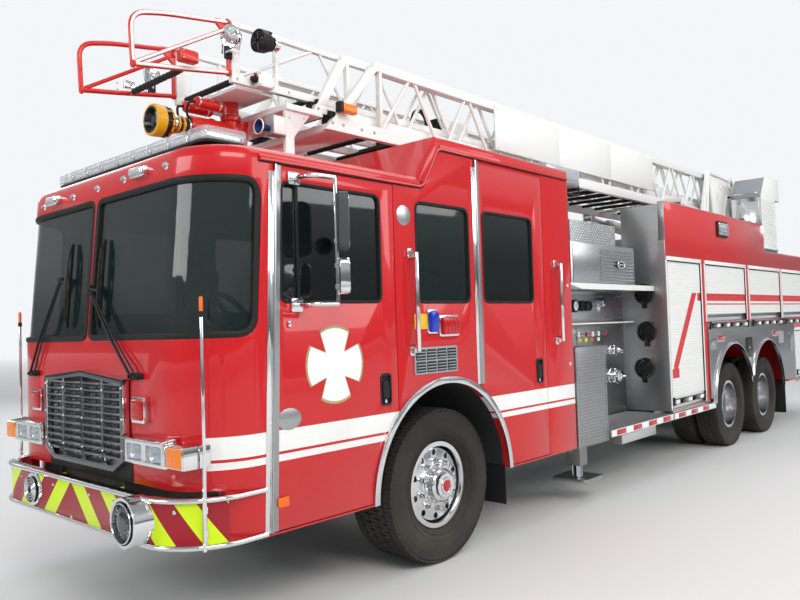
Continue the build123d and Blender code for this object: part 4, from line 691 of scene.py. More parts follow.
def dress(piece, rule):
    """Give faces of a piece other finishes: the rule takes a face's centre and normal, and may return one."""
    data = piece.data
    for polygon in data.polygons:
        chosen = rule(polygon.center, polygon.normal)
        if chosen:
            if chosen.name not in data.materials:
                data.materials.append(chosen)
            polygon.material_index = data.materials.find(chosen.name)


# %% [markdown]
# ## Repeats
# Tread blocks, shutter slats, louvres and the lozenges of diamond plate all repeat by a rule. An array
# modifier does rows; one Geometry Nodes tree does rows, grids and rings alike: it makes points, stands a
# unit on each with a turn that grows from one to the next, and makes the result real.

# %% The repeater
repeater = bpy.data.node_groups.new("repeater", "GeometryNodeTree")
for label, kind in (("Unit", "Object"), ("Count", "Int"), ("Columns", "Int"), ("Step", "Vector"),
                    ("Row Step", "Vector"),
                    ("Axis", "Vector"), ("Turn", "Float"), ("Alternate", "Float"), ("Finish", "Material")):
    repeater.interface.new_socket(label, in_out="INPUT", socket_type=f"NodeSocket{kind}")
repeater.interface.new_socket("Geometry", in_out="OUTPUT", socket_type="NodeSocketGeometry")
rin, rout = repeater.nodes.new("NodeGroupInput"), repeater.nodes.new("NodeGroupOutput")


def number(operation, first, second):
    return maths(repeater, operation, first, second)


def scaled(vector, amount):
    made = node(repeater, "VectorMath", operation="SCALE")
    link(repeater, vector, (made, 0))
    link(repeater, amount, (made, "Scale"))
    return made


index = (repeater.nodes.new("GeometryNodeInputIndex"), 0)
row = number("FLOOR", number("DIVIDE", number("ADD", index, 0.5), (rin, "Columns")), None)
column = number("SUBTRACT", index, number("MULTIPLY", row, (rin, "Columns")))
spread = node(repeater, "VectorMath", operation="ADD")
link(repeater, (scaled((rin, "Step"), column), 0), (spread, 0))
link(repeater, (scaled((rin, "Row Step"), row), 0), (spread, 1))
parity = number("MODULO", number("ADD", row, column), 2.0)
angle = number("ADD", number("MULTIPLY", index, (rin, "Turn")), number("MULTIPLY", parity, (rin, "Alternate")))
points, turned_by, stand, real, paint_node, unit_info = (repeater.nodes.new(kind) for kind in (
    "GeometryNodePoints", "FunctionNodeAxisAngleToRotation", "GeometryNodeInstanceOnPoints",
    "GeometryNodeRealizeInstances", "GeometryNodeSetMaterial", "GeometryNodeObjectInfo"))
for source, target in (((rin, "Count"), (points, "Count")), ((spread, 0), (points, "Position")),
                       ((rin, "Unit"), (unit_info, "Object")), ((unit_info, "Geometry"), (stand, "Instance")),
                       ((points, 0), (stand, "Points")), ((rin, "Axis"), (turned_by, "Axis")),
                       (angle, (turned_by, "Angle")), ((turned_by, 0), (stand, "Rotation")),
                       ((stand, 0), (real, 0)), ((real, 0), (paint_node, 0)),
                       ((rin, "Finish"), (paint_node, "Material")), ((paint_node, 0), (rout, 0))):
    link(repeater, source, target)
sockets = {item.name: item.identifier for item in repeater.interface.items_tree if item.in_out == "INPUT"}


def repeated(unit, material, count, columns=None, step=(0, 0, 0), row_step=(0, 0, 0), axis=(1, 0, 0), turn=0.0,
             alternate=0.0):
    """The mesh of a unit piece repeated along a row, over a grid or round an axis."""
    source_data = bpy.data.meshes.new("unit")
    unit.mesh.to_mesh(source_data)
    source_object = bpy.data.objects.new("unit", source_data)
    host = bpy.data.objects.new("host", bpy.data.meshes.new("host"))
    collection.objects.link(source_object)
    collection.objects.link(host)
    modifier = host.modifiers.new("repeat", "NODES")
    modifier.node_group = repeater
    values = {"Unit": source_object, "Count": count, "Columns": columns or count, "Step": step, "Row Step": row_step,
              "Axis": axis, "Turn": turn, "Alternate": alternate, "Finish": material}
    for label, value in values.items():
        modifier[sockets[label]] = value
    host.data.update()
    made = bpy.data.meshes.new_from_object(host.evaluated_get(bpy.context.evaluated_depsgraph_get()))
    for helper in (host, source_object):
        bpy.data.objects.remove(helper)
    print(f"repeated {len(source_data.polygons)} faces into {len(made.polygons)}")
    return made


body_of = {member: body for body, members in frame["record"]["behaviour"]["bodies"].items() for member in members}
slot_of = {row["node"]: row["material_slot"] for row in frame["record"]["subparts"]}

# %% [markdown]
# ## Cab skin
# The cab is a welded and painted shell. Its CAD solids carry the form, so copies with eased edges stand for
# them, and faces that look inwards get a cabin lining in place of red paint. `skin` gives any point on the
# outside from the way round `s`, measured from the middle of the nose, so mouldings can follow the corners.

# %% Cab shell and doors
NOSE_FLAT = CAB_SIDE - CORNER_R
CORNER_END = NOSE_FLAT + CORNER_R * pi / 2


def nose_x(z):
    """How far forward the nose is at a height."""
    share = max(0.0, (z - BELT_Z) / (ROOF_Z - BELT_Z))
    return AXLE + CAB_NOSE + share * (CAB_BROW - CAB_NOSE)


def skin(s, z, out=0.0, side=1):
    """A point on the cab's outside, and the way it faces there."""
    front = nose_x(z)
    if s <= NOSE_FLAT:
        spot, facing = (front, s), (1.0, 0.0)
    elif s <= CORNER_END:
        turn = (s - NOSE_FLAT) / CORNER_R
        facing = (cos(turn), sin(turn))
        spot = (front - CORNER_R + CORNER_R * facing[0], NOSE_FLAT + CORNER_R * facing[1])
    else:
        spot, facing = (front - CORNER_R - (s - CORNER_END), CAB_SIDE), (0.0, 1.0)
    return (Vector((spot[0] + out * facing[0], side * (spot[1] + out * facing[1]), z)),
            Vector((facing[0], side * facing[1], 0)))


def lining(centre, facing):
    """Cabin lining on faces inside the cab, which look towards its middle."""
    roof = 2.675 if centre.x > AXLE + 0.20 else 2.988
    inside = abs(centre.y) < 1.196 and AXLE - 1.82 < centre.x < nose_x(centre.z) - 0.045 and centre.z < roof
    inside = inside and facing.dot(centre - Vector((AXLE + 0.05, 0, 1.9))) < 0
    if inside and centre.z > 1.12:
        return cabin_grey
    return chassis_black if inside and centre.z < 1.10 else None


def rise(height, low, high):
    """A smooth step from 0 at the low height to 1 at the high one."""
    share = min(1.0, max(0.0, (height - low) / (high - low)))
    return share * share * (3 - 2 * share)


def cab_drawn(point):
    """Draw the cab's upper edges out to their measured heights: the roofs, the door heads and the windscreen."""
    x, z = point.x - AXLE, point.z
    front = rise(x, 1.49, 1.565)
    if x > 0.20:
        head = 0.040 * rise(z, 2.552, 2.598) + 0.012 * rise(z, 2.61, 2.69)
        screen = (0.027 * rise(z, 2.45, 2.512) + 0.025 * rise(z, 2.55, 2.69)
                  - 0.018 * rise(z, 1.62, 1.689) * (1 - rise(z, 1.75, 2.2)))
        lift = head * (1 - front) + screen * front
    elif x > -0.075:
        lift = 0.052 * rise(z, 2.56, 2.62) + 0.010 * rise(z, 2.75, 2.98)
    else:
        lift = 0.060 * rise(z, 2.75, 2.875)
    return Vector((point.x, point.y, z + lift))


cab = eased("cab_shell", "chassis", cab_red, 0.004, drawn=cab_drawn)
dress(cab, lining)


HANDLE_X = {"front": AXLE + 0.590, "rear": AXLE - 1.292}
HINGE_PROUD = 0.0008


def door_finish(centre, facing):
    """Bare steel on the hinge strip, black in the handle pocket and lining inside."""
    if abs(centre.y) > CAB_SIDE + HINGE_PROUD:
        return steel
    handle_x = HANDLE_X["front" if centre.x > AXLE else "rear"]
    if abs(centre.x - handle_x) < 0.044 and abs(centre.z - 1.275) < 0.097 and abs(centre.y) < CAB_SIDE - 0.002 \
            and abs(centre.y) > CAB_SIDE - 0.020:
        return black
    return cabin_grey if abs(centre.y) < CAB_SIDE - 0.052 else None


for name in [f"{row}_door_{side}" for row in ("front", "rear") for side in ("left", "right")]:
    door = eased(name, body_of[name], cab_red, 0.003, drawn=cab_drawn)
    dress(door, door_finish)
brightwork = eased("cab_brightwork", "chassis", chrome, 0.002)
dress(brightwork, lambda centre, facing: alloy if centre.z < 1.35
      and Vector((centre.x - AXLE + 0.05, centre.z - 0.53)).length < 0.80 else None)

# %% [markdown]
# ## Rubber seals
# Each windscreen pane sits in a fat black rubber profile that follows the nose round to the side, and the
# side panes sit in narrower ones. A bevelled curve could do this; a section drawn along points of the skin
# keeps the lip square to the glass all the way round the corner.

# %% Seals
seals = Piece("windscreen_seals")
D_SHAPE = ((-1.0, -0.014), (-0.93, 0.35), (-0.6, 0.85), (-0.1, 1.0), (0.4, 0.85), (0.75, 0.45), (1.0, -0.014))


def seal_section(half, proud):
    return [(across * half, out * proud if out > 0 else out) for across, out in D_SHAPE]


def screen_path(side):
    """Points round one pane, and their facings: the side edge leans with the door post."""
    corners = ((0.030, 1.672), (1.446, 1.672), (1.422, 2.542), (0.030, 2.542))
    return [skin(point.x, point.y, 0.0, side) for point in looped(corners, (0.055, 0.10, 0.10, 0.055), 6, 0.05)]


for side in (1, -1):
    rim = screen_path(side)
    seals.strip([p for p, n in rim], [n for p, n in rim], seal_section(0.021, 0.010), rubber)
for sign in (1, -1):
    fixed_x = [(AXLE + a, z) for a, z in rounded((-0.356, 1.850), (0.241, 2.547), 0.055)]
    path = [Vector((x, sign * CAB_SIDE, z)) for x, z in fixed_x]
    seals.strip(path, [Vector((0, sign, 0))] * len(path), seal_section(0.012, 0.006), rubber)
seals.done("chassis", "grey_plastic")

lean = -0.084 / 2.080 * 0.697
for row, outline in (("front", ((1.446, 1.850), (1.446 + lean, 2.547), (0.609, 2.547), (0.609, 1.850))),
                     ("rear", ((-0.540, 1.850), (-0.540, 2.547), (-1.234, 2.547), (-1.234, 1.850)))):
    for side, sign in SIDES:
        trim = Piece(f"{row}_door_trim_{side}")
        path = looped([(AXLE + x, sign * CAB_SIDE, z) for x, z in outline], (0.055,) * 4)
        trim.strip(path, [Vector((0, sign, 0))] * len(path), seal_section(0.011, 0.006), rubber)
        if row == "front":
            trim.box(from_axle(1.292, 1.314), span(sign, 1.226, 1.240), (1.862, 2.535), rubber, 0.003)
        handle_x = HANDLE_X[row]
        y = sign * CAB_SIDE
        trim.strip([Vector((a, y, b)) for a, b in rounded((handle_x - 0.047, 1.176), (handle_x + 0.047, 1.374),
                                                          0.02)],
                   [Vector((0, sign, 0))] * 28, [(-0.007, -0.003), (-0.007, 0.002), (-0.003, 0.005), (0.003, 0.005),
                                                 (0.007, 0.002), (0.007, -0.003)], gloss_black)
        trim.prism(rounded((handle_x - 0.030, 1.215), (handle_x + 0.030, 1.330), 0.012), "Y",
                   *span(sign, -0.010, 0.004, y), black, 0.003)
        trim.turned((handle_x + 0.002, y - sign * 0.006, 1.198), (0, sign, 0),
                    [(0, 0.011), (0.007, 0.011), (0.008, 0.009)],
                    chrome, 20)
        trim.done(body_of[f"{row}_door_{side}"], "grey_plastic")

# %% [markdown]
# ## Glass
# The door panes are CAD solids of the right form, so they keep their meshes and take a tinted film. The two
# windscreen panes follow the shell's drawn-out opening, so a copy of their node stands for them.

# %% Glass
eased("cab_glass", "chassis", tinted_glass, 0, drawn=cab_drawn)
for name in nodes:
    if "door_glass" in name:
        data = nodes[name].data
        data.materials.clear()
        data.materials.append(dark_glass)
print("glass:", [name for name in nodes if "glass" in name])

# %% [markdown]
# ## Roof cap, drip rails and marker lamps
# A proud red band edges the low roof, climbs the step and runs on along the raised roof. A thin dark rubber strip
# under its rolled foot is painted shadow, standing in for the line of shade there. Seven lamps sit above the
# windscreen: five round markers, two chrome boxes.

# %% Roof fittings
roof = Piece("roof_fittings")
LIP = [(-0.009, -0.004), (-0.009, 0.012), (-0.004, 0.018), (0.005, 0.018), (0.009, 0.012), (0.009, -0.004)]
for side in (1, -1):
    lip = [(AXLE + 1.575, 2.660), (AXLE + 0.172, 2.660), (AXLE - 0.018, 2.960), (AXLE - 1.842, 2.960)]
    path = softened([Vector((x, side * CAB_SIDE, z)) for x, z in lip], 0.04)
    roof.strip(path, [Vector((0, side, 0))] * len(path), LIP, cab_red, closed=False)
    # A thin dark rubber strip just under the lip: painted shadow, standing in for the line of shade under its rolled
    # foot
    shade = softened([Vector((x + (0.011 if 0 < k < 3 else 0) * (-1 if k else 1), side * CAB_SIDE, z - 0.013))
                      for k, (x, z) in enumerate(lip)], 0.04)
    roof.strip(shade, [Vector((0, side, 0))] * len(shade),
               [(-0.004, -0.002), (-0.004, 0.005), (0.004, 0.005), (0.004, -0.002)], rubber, closed=False)
    for x0, x1, z0 in ((0.175, 1.575, 2.656), (-1.842, -0.035, 2.956)):
        roof.box((AXLE + x0, AXLE + x1), span(side, 1.243, 1.2585), (z0, z0 + 0.042), cab_red, 0.004)
    band_edge = [(0.172, 2.656), (0.215, 2.698), (0.035, 2.996), (-0.042, 2.996), (-0.018, 2.956)]
    roof.prism([(AXLE + x, z) for x, z in band_edge], "Y", *span(side, 1.243, 1.2585), cab_red, 0.004)
for y, z in ((-0.802, 2.615), (-0.336, 2.623), (0.011, 2.629), (0.355, 2.636), (0.838, 2.640)):
    base, facing = skin(abs(y), z, 0, 1 if y > 0 else -1)
    roof.turned(base - facing * 0.004, facing, [(0, 0.024), (0.010, 0.024), (0.016, 0.018), (0.017, 0.015)], chrome,
                24)
    roof.turned(base + facing * 0.010, facing, [(0, 0.015), (0.012, 0.014), (0.018, 0.009), (0.020, 0.0)], grey_paint,
                20)
for y, z in ((-0.602, 2.628), (0.569, 2.640)):
    x = nose_x(z)
    roof.box((x - 0.01, x + 0.050), (y - 0.078, y + 0.078), (z - 0.032, z + 0.030), chrome, 0.010, 3)
    roof.box((x + 0.046, x + 0.058), (y - 0.066, y + 0.066), (z - 0.022, z + 0.020), lamp_silver, 0.004)
    for k in range(6):
        roof.box((x + 0.056, x + 0.063), (y - 0.062 + k * 0.0215, y - 0.046 + k * 0.0215), (z - 0.018, z + 0.016),
                 clear_lens, 0.003)
roof.done("chassis", "bright_chrome")

# %% [markdown]
# ## Wipers
# Both wipers hang from a pivot under the glass and park with the blade upright. Each has a main arm with a
# thin parallel arm beside it, a spring clip, and a blade held by a frame of small yokes.

# %% Wipers
wipers = Piece("wipers")
for pivot_y, pivot_z, head_y, head_z, blade_y, blade_low, blade_high in (
        (0.599, 1.449, 0.030, 1.985, 0.165, 1.730, 2.285), (-0.815, 1.438, -0.395, 2.060, -0.285, 1.745, 2.300)):
    def on_glass(y, z, out):
        return skin(abs(y), z, out, 1 if y > 0 else -1)[0]
    side = 1 if pivot_y > 0 else -1
    base, facing = skin(abs(pivot_y), pivot_z, 0, side)
    wipers.box((base.x - 0.004, base.x + 0.018), (pivot_y - 0.055, pivot_y + 0.095),
               (pivot_z - 0.016, pivot_z + 0.016),
               black, 0.005)
    for offset in (0.0, 0.065):
        wipers.turned(base + Vector((0, offset, 0)), (1, 0, 0), [(0, 0.020), (0.030, 0.019), (0.038, 0.013),
                                                                 (0.040, 0.0)],
                      black, 20)
        wipers.turned(base + Vector((0.038, offset, 0)), (1, 0, 0), [(0, 0.009), (0.010, 0.009), (0.011, 0.006)],
                      gloss_black, 6)
        start = base + Vector((0.030, offset, 0))
        middle = start.lerp(on_glass(head_y + offset * 0.35, head_z, 0.030), 0.42) + Vector((0.012, 0, 0))
        end = on_glass(head_y + offset * 0.35, head_z, 0.030)
        wipers.tube([start, middle, end], 0.0085 if not offset else 0.0055, black, 8)
    clip = on_glass(head_y, head_z, 0.030)
    centre_z = 0.5 * (blade_low + blade_high)
    wipers.box((clip.x - 0.012, clip.x + 0.012), (clip.y - 0.016, clip.y + 0.036), (clip.z - 0.02, clip.z + 0.02),
               black, 0.004)
    wipers.tube([clip, on_glass(blade_y, head_z - 0.02, 0.034)], 0.009, black, 8)
    wipers.tube([on_glass(blade_y, z, 0.034 if abs(z - centre_z) < 0.2 else 0.026) for z in
                 (blade_low + 0.05, centre_z - 0.12, centre_z, centre_z + 0.12, blade_high - 0.05)], 0.006, black, 8)
    for low, high in ((blade_low, centre_z), (centre_z, blade_high)):
        wipers.tube([on_glass(blade_y, low + 0.02, 0.018), on_glass(blade_y, 0.5 * (low + high), 0.032),
                     on_glass(blade_y, high - 0.02, 0.018)], 0.0045, black, 6)
    path = [on_glass(blade_y, blade_low + (blade_high - blade_low) * i / 8, 0.012) for i in range(9)]
    wipers.strip(path, [Vector((1, 0, 0.08)).normalized()] * 9, [(-0.011, 0.004), (0.011, 0.004), (0.003, -0.014),
                                                                (-0.003, -0.014)], rubber, closed=False)
wipers.done("chassis", "grey_plastic")

# %% [markdown]
# ## Grille and lamps
# The grille is a bright frame round darker level blades, over a black radiator screen. The lamp boxes are
# chromed shells round deep-set rectangular lamps, with amber turn lamps on the corner. The photograph shows
# the boxes lower in height than the CAD solids, so `lamp_drawn` draws their lower edge up.

# %% Grille
grille = eased("grille", "chassis", chrome, 0.002)
dress(grille, lambda centre, facing: dark_chrome if abs(facing.x) > 0.9 and abs(centre.y) < 0.49
      and 0.92 < centre.z < 1.45 else None)
screen = Piece("radiator_screen")
screen.box(from_axle(1.935, 1.985), (-0.470, 0.470), (0.955, 1.408), black, 0.004)
screen.prism([(-0.535, 0.97), (-0.40, 0.895), (0.40, 0.895), (0.535, 0.97), (0.535, 1.425), (0, 1.47),
              (-0.535, 1.425)],
             "X", AXLE + 2.0002, AXLE + 2.006, black)
screen.prism([(-0.555, 0.836), (0.555, 0.836), (0.555, 1.00), (-0.555, 1.00)], "X", AXLE + 1.99, AXLE + 2.005, black,
             0.002)
for row in range(10):
    z = 0.955 + row * 0.045
    for column in range(11):
        y = -0.45 + column * 0.09
        screen.box(from_axle(2.006, 2.009), (y - 0.038, y + 0.038), (z - 0.018, z + 0.018), gloss_black, 0.0)
for y in (-0.268, 0.0, 0.268):
    for z in (1.0, 1.18, 1.36):
        screen.turned((AXLE + 2.042, y, z), (1, 0, 0), [(0, 0.007), (0.003, 0.006), (0.004, 0)], chrome, 12)
for sign in (1, -1):
    for z in (1.02, 1.20, 1.38):
        screen.turned((AXLE + 2.048, sign * 0.518, z), (1, 0, 0), [(0, 0.008), (0.003, 0.007), (0.004, 0)], chrome,
                      12)
screen.done("chassis", "bright_chrome")

# %% Head, turn and warning lamps
HEAD_LAMPS_Y, HEAD_LAMP_Z, LAMP_TOP_Z = (0.68, 0.89), 1.0075, 1.100


def lamp_finish(centre, facing):
    """Dark, mirror-lined pockets behind the head lamp lenses."""
    pocket = any(abs(abs(centre.y) - y) < 0.081 for y in HEAD_LAMPS_Y) and abs(centre.z - HEAD_LAMP_Z) < 0.061
    return lamp_silver if pocket and centre.x < AXLE + 2.0595 else None


def lamp_drawn(point):
    """Draw the lower edge of the lamp boxes up to its measured height."""
    x, y, z = point
    return Vector((x, y, LAMP_TOP_Z - 0.72 * (LAMP_TOP_Z - z) if z < LAMP_TOP_Z else z))


lamps = eased("headlamps", "chassis", chrome, 0.004, angle=40, drawn=lamp_drawn)
dress(lamps, lamp_finish)
lenses = Piece("lamp_lenses")
for sign in (1, -1):
    for y in HEAD_LAMPS_Y:
        yy, z = sign * y, HEAD_LAMP_Z
        lenses.turned((AXLE + 2.0385, yy, z), (1, 0, 0), [(0, 0.012), (0.004, 0.042), (0.014, 0.056), (0.015, 0.058),
                                                      (0.010, 0.060), (0.0, 0.06)], chrome, 28)
        lenses.turned((AXLE + 2.0385, yy, z), (1, 0, 0), [(0, 0.014), (0.010, 0.014), (0.014, 0.008), (0.015, 0.0)],
                      gloss_black, 16)
        lenses.prism(rounded((yy - 0.078, z - 0.058), (yy + 0.078, z + 0.058), 0.012), "X",
                     AXLE + 2.052, AXLE + 2.057, clear_lens, 0.0015)
        for k in range(7):
            u = yy - 0.066 + k * 0.022
            lenses.box(from_axle(2.0565, 2.0585), (u - 0.002, u + 0.002), (z - 0.052, z + 0.052), clear_lens, 0.0)
    visor = [(AXLE + 1.99, 1.098), (AXLE + 2.075, 1.098), (AXLE + 2.083, 1.104), (AXLE + 2.080, 1.110),
             (AXLE + 1.99, 1.122)]
    lenses.prism(visor, "Y", *span(sign, 0.572, 1.012), chrome, 0.002)
    low, high = 0.932, 1.080
    y0, y1 = span(sign, 1.018, 1.168)
    lenses.box(from_axle(2.046, 2.062), (y0, y1), (low, high), amber, 0.008, 3)
    for k in range(9):
        z = low + 0.014 + k * 0.015
        lenses.box(from_axle(2.061, 2.0635), (y0 + 0.008, y1 - 0.008), (z - 0.004, z + 0.004), amber, 0.001)
    for y_edge in (y0, y1):
        lenses.box(from_axle(2.044, 2.058), (y_edge - 0.006, y_edge + 0.006), (low - 0.006, high + 0.006), chrome,
                   0.003)
    yy, z = sign * 0.690, 1.2625
    lenses.box(from_axle(2.034, 2.052), (yy - 0.058, yy + 0.058), (z - 0.058, z + 0.058), red_lens, 0.010, 3)
    for k in range(-2, 3):
        lenses.box(from_axle(2.050, 2.054), (yy - 0.050, yy + 0.050), (z + k * 0.02 - 0.005, z + k * 0.02 + 0.005),
                   red_lens, 0.001)
for corner in lenses.mesh.verts:
    corner.co = lamp_drawn(corner.co)
lenses.done("chassis", "clear_lens")

# %% [markdown]
# ## Bumper
# A pressed steel bumper wraps both corners, with round bright rails along its top and bottom, a drum siren
# let into its near end and a flush speaker in its far half. Warning chevrons cover its face. Both horns stand
# less proud in the photograph than in the CAD solids, so `horn_drawn` presses them back.

# %% Bumper
SIREN_Y, SPEAKER_Y, HORN_Z = 0.830, -0.530, 0.690
WAND_X, WAND_Y = AXLE + 1.945, 1.205


def bumper_finish(centre, facing):
    """Bright rails, siren, speaker bezel and wands on a chevroned face."""
    x, y, z = centre
    if abs(abs(y) - WAND_Y) < 0.012 and abs(x - WAND_X) < 0.012 and z > 0.83:
        return orange if z > 1.800 else chrome
    for at, radius in ((SIREN_Y, 0.137), (SPEAKER_Y, 0.107)):
        if Vector((y - at, z - HORN_Z)).length < radius and x > AXLE + 2.1175:
            return chrome
    if z < 0.5745 or z > 0.7955:
        return chrome
    return chrome if facing.x < -0.5 and x > AXLE + 1.9 else None


def horn_drawn(point):
    """Press the far speaker back until it is nearly flush, and shorten the siren by half."""
    x, y, z = point
    if Vector((y - SPEAKER_Y, z - HORN_Z)).length < 0.115:
        x = min(x, AXLE + 2.137)
    root = AXLE + 2.120
    if Vector((y - SIREN_Y, z - HORN_Z)).length < 0.165 and x > root:
        x = root + 0.52 * (x - root)
    return Vector((x, y, z))


bumper = eased("bumper", "chassis", chevron_film, 0.003, angle=40, drawn=horn_drawn)
dress(bumper, bumper_finish)
fittings = Piece("bumper_fittings")
FRONT = AXLE + 2.117


def bumper_skin(s, z, out):
    """A point on the rails' face, the way round from the middle."""
    radius, flat, nose = 0.40, 0.865, FRONT + 0.010
    side = 1 if s > 0 else -1
    s = abs(s)
    if s <= flat:
        spot, facing = (nose, s), (1, 0)
    else:
        turn = min((s - flat) / radius, pi / 2)
        facing = (cos(turn), sin(turn))
        spot = (nose - radius + radius * facing[0], flat + radius * facing[1])
        spot = (spot[0] - max(0.0, s - flat - radius * pi / 2), spot[1])
    return Vector((spot[0] + out * facing[0], side * (spot[1] + out * facing[1]),
                   z)), Vector((*facing[:1], side * facing[1], 0))


for z in (0.563, 0.807):
    ways = [-1.63 + 3.26 * i / 60 for i in range(61)]
    path = [bumper_skin(s, z, -0.004)[0] for s in ways]
    fittings.tube(path, 0.0145, chrome, 14)
for s in (-0.75, -0.25, 0.25, 0.55, 1.10):
    base, facing = bumper_skin(s, 0.750, -0.010)
    fittings.turned(base, facing, [(-0.002, 0.011), (0.004, 0.010), (0.006, 0.006), (0.0065, 0)], chrome, 16)
siren = Vector((AXLE + 2.196, SIREN_Y, HORN_Z))
fittings.turned(siren, (1, 0, 0), [(0, 0.118), (0.002, 0.112), (0.020, 0.110), (0.022, 0.100),
                (0.010, 0.092), (0.012, 0.060), (0.024, 0.052), (0.030, 0.030), (0.032, 0.0)], dark_chrome, 48)
for k in range(24):
    angle = tau * k / 24
    centre = siren + Vector((0.012, 0.078 * cos(angle), 0.078 * sin(angle)))
    radial = Vector((0, cos(angle), sin(angle)))
    fittings.tube([centre - radial * 0.018, centre + radial * 0.018], 0.0025, dark_chrome, 6)
for ring in (0.045, 0.105):
    rim = [siren + Vector((0.016 if ring < 0.1 else 0.026, a, b)) for a, b in circle(40, ring)]
    fittings.tube(rim, 0.004, chrome, 8, closed=True)
speaker = Vector((FRONT + 0.026, SPEAKER_Y, HORN_Z))
fittings.turned(speaker, (1, 0, 0), [(0, 0.086), (0.004, 0.085), (0.006, 0.030), (0.020, 0.012), (0.022, 0.0)], black,
                40)
for ring in (0.030, 0.048, 0.066, 0.084):
    rim = [speaker + Vector((0.010, a, b)) for a, b in circle(36, ring)]
    fittings.tube(rim, 0.0045, chrome, 8, closed=True)
for sign in (1, -1):
    x, y = WAND_X, sign * WAND_Y
    fittings.turned((x, y, 1.800), (0, 0, 1), [(0, 0.0105), (0.07, 0.0105), (0.078, 0.007), (0.080, 0.0)], orange, 16)
    fittings.turned((x, y, 1.770), (0, 0, 1), [(0, 0.0100), (0.003, 0.0135), (0.028, 0.0135), (0.031, 0.0105)], black,
                    16)
    for z in (0.640, 0.760):
        base, facing = bumper_skin(sign * 1.26, z, -0.012)
        fittings.turned((x, y, z - 0.018), (0, 0, 1), [(0, 0.015), (0.036, 0.015)], chrome, 16)
    tube_path = [bumper_skin(sign * 1.26, 0.545, 0.008)[0], bumper_skin(sign * 1.26, 0.80, 0.010)[0],
                 (x, y, 0.95), (x, y, 1.10)]
    fittings.tube(softened(tube_path, 0.06), 0.0095, chrome, 10)
fittings.done("chassis", "bright_chrome")

# %% [markdown]
# ## Wheels
# Each tyre is a turned carcass with rounded shoulders, raised rings on its sidewall and a tread of ribs cut by
# fine slots. Modelling one pitch of the tread and repeating it round the axle gives some fifty of them for the
# price of one. The discs are turned again and their hand holes cut by a Boolean, because the photograph shows
# smaller holes nearer the rim than the CAD solids have. Nuts, a cap and a valve are added.

# %% Tyres
FRONT_TRACK, REAR_TRACK, TWIN_OFFSET = 1.020, 0.910, 0.1675
FRONT_RADIUS, REAR_RADIUS = 0.545, 0.535
# Low and high edge of each rib as a share of the width, and how far its blocks slant
TREAD_RIBS = ((-0.460, -0.300, 0.05), (-0.280, -0.115, 0.22), (-0.095, 0.095, -0.22), (0.115, 0.280, 0.22),
              (0.300, 0.460, 0.05))


def tyre(piece, centre, radius, width, bead_half, pitches):
    """A tyre about a point, with its tread ribs repeated round it."""
    bead, half = 0.2863, width / 2
    flank = bead + 0.5 * (radius - bead)
    wall = [(bead_half, bead), (bead_half, bead + 0.022), (bead_half + 0.012, bead + 0.030),
            (0.455 * width, bead + 0.045),
            (0.485 * width, bead + 0.075), (0.492 * width, bead + 0.078), (0.497 * width, flank - 0.010),
            (half, flank), (half, flank + 0.018), (0.497 * width, flank + 0.022), (0.492 * width, flank + 0.055),
            (0.482 * width, radius - 0.060), (0.478 * width, radius - 0.056), (0.472 * width, radius - 0.040),
            (0.455 * width, radius - 0.022), (0.425 * width, radius - 0.014)]
    profile = wall + [(-along, r) for along, r in reversed(wall)]
    piece.turned(centre, (0, 1, 0), profile, tyre_black, 96, ring=True)
    unit = Piece("tread_unit")
    arc_half = pi / pitches
    for low, high, skew in TREAD_RIBS:
        y0, y1 = low * width, high * width
        gap = 0.10 * arc_half
        for part in range(2):
            start = -arc_half + part * arc_half + gap / 2
            stop = start + arc_half - gap
            points = []
            shoulder = 0.006 if max(abs(low), abs(high)) > 0.4 else 0.0
            for r in (radius - 0.020, radius - 0.0005):
                for turn, y in ((start, y0), (stop, y0), (stop, y1), (start, y1)):
                    edge_drop = shoulder if abs(y) > 0.4 * width and r > radius - 0.01 else 0.0
                    lean = turn + skew * arc_half * (1 if y == y1 else -1) * (1 if part else -1)
                    points.append(((r - edge_drop) * cos(lean), y, (r - edge_drop) * sin(lean)))
            unit.shape(points, BLOCK_FACES, tyre_black)
    made = repeated(unit, tyre_black, pitches, axis=(0, 1, 0), turn=tau / pitches)
    piece.mesh_in(made, tyre_black, Matrix.Translation(centre))
    for side in (1, -1):
        for r, along in ((flank - 0.035, 0.4955), (bead + 0.060, 0.475), (radius - 0.075, 0.488)):
            rim = [Vector(centre) + Vector((a, side * along * width, b)) for a, b in circle(72, r)]
            piece.tube(rim, 0.0028, tyre_black, 6, closed=True)


for side, sign in SIDES:
    front = Piece(f"front_tyre_{side}_dressed")
    tyre(front, (AXLE, sign * FRONT_TRACK, FRONT_RADIUS), FRONT_RADIUS, 0.400, 0.1357, 54)
    front.done(f"front_wheel_{side}", "tyre_rubber", (f"front_tyre_{side}",), 50)
    for number_of, x in enumerate(REAR_AXLES):
        pair = Piece(f"rear_tyres_{number_of + 1}_{side}_dressed")
        for y in (REAR_TRACK - TWIN_OFFSET, REAR_TRACK + TWIN_OFFSET):
            tyre(pair, (x, sign * y, REAR_RADIUS), REAR_RADIUS, 0.285, 0.0932, 48)
        pair.done(f"rear_wheels_{number_of + 1}_{side}", "tyre_rubber", (f"rear_tyres_{number_of + 1}_{side}",), 50)

# %% Rims and pierced discs
HOLE_CIRCLE, HOLE_RADIUS, NUT_CIRCLE = 0.226, 0.022, 0.1675


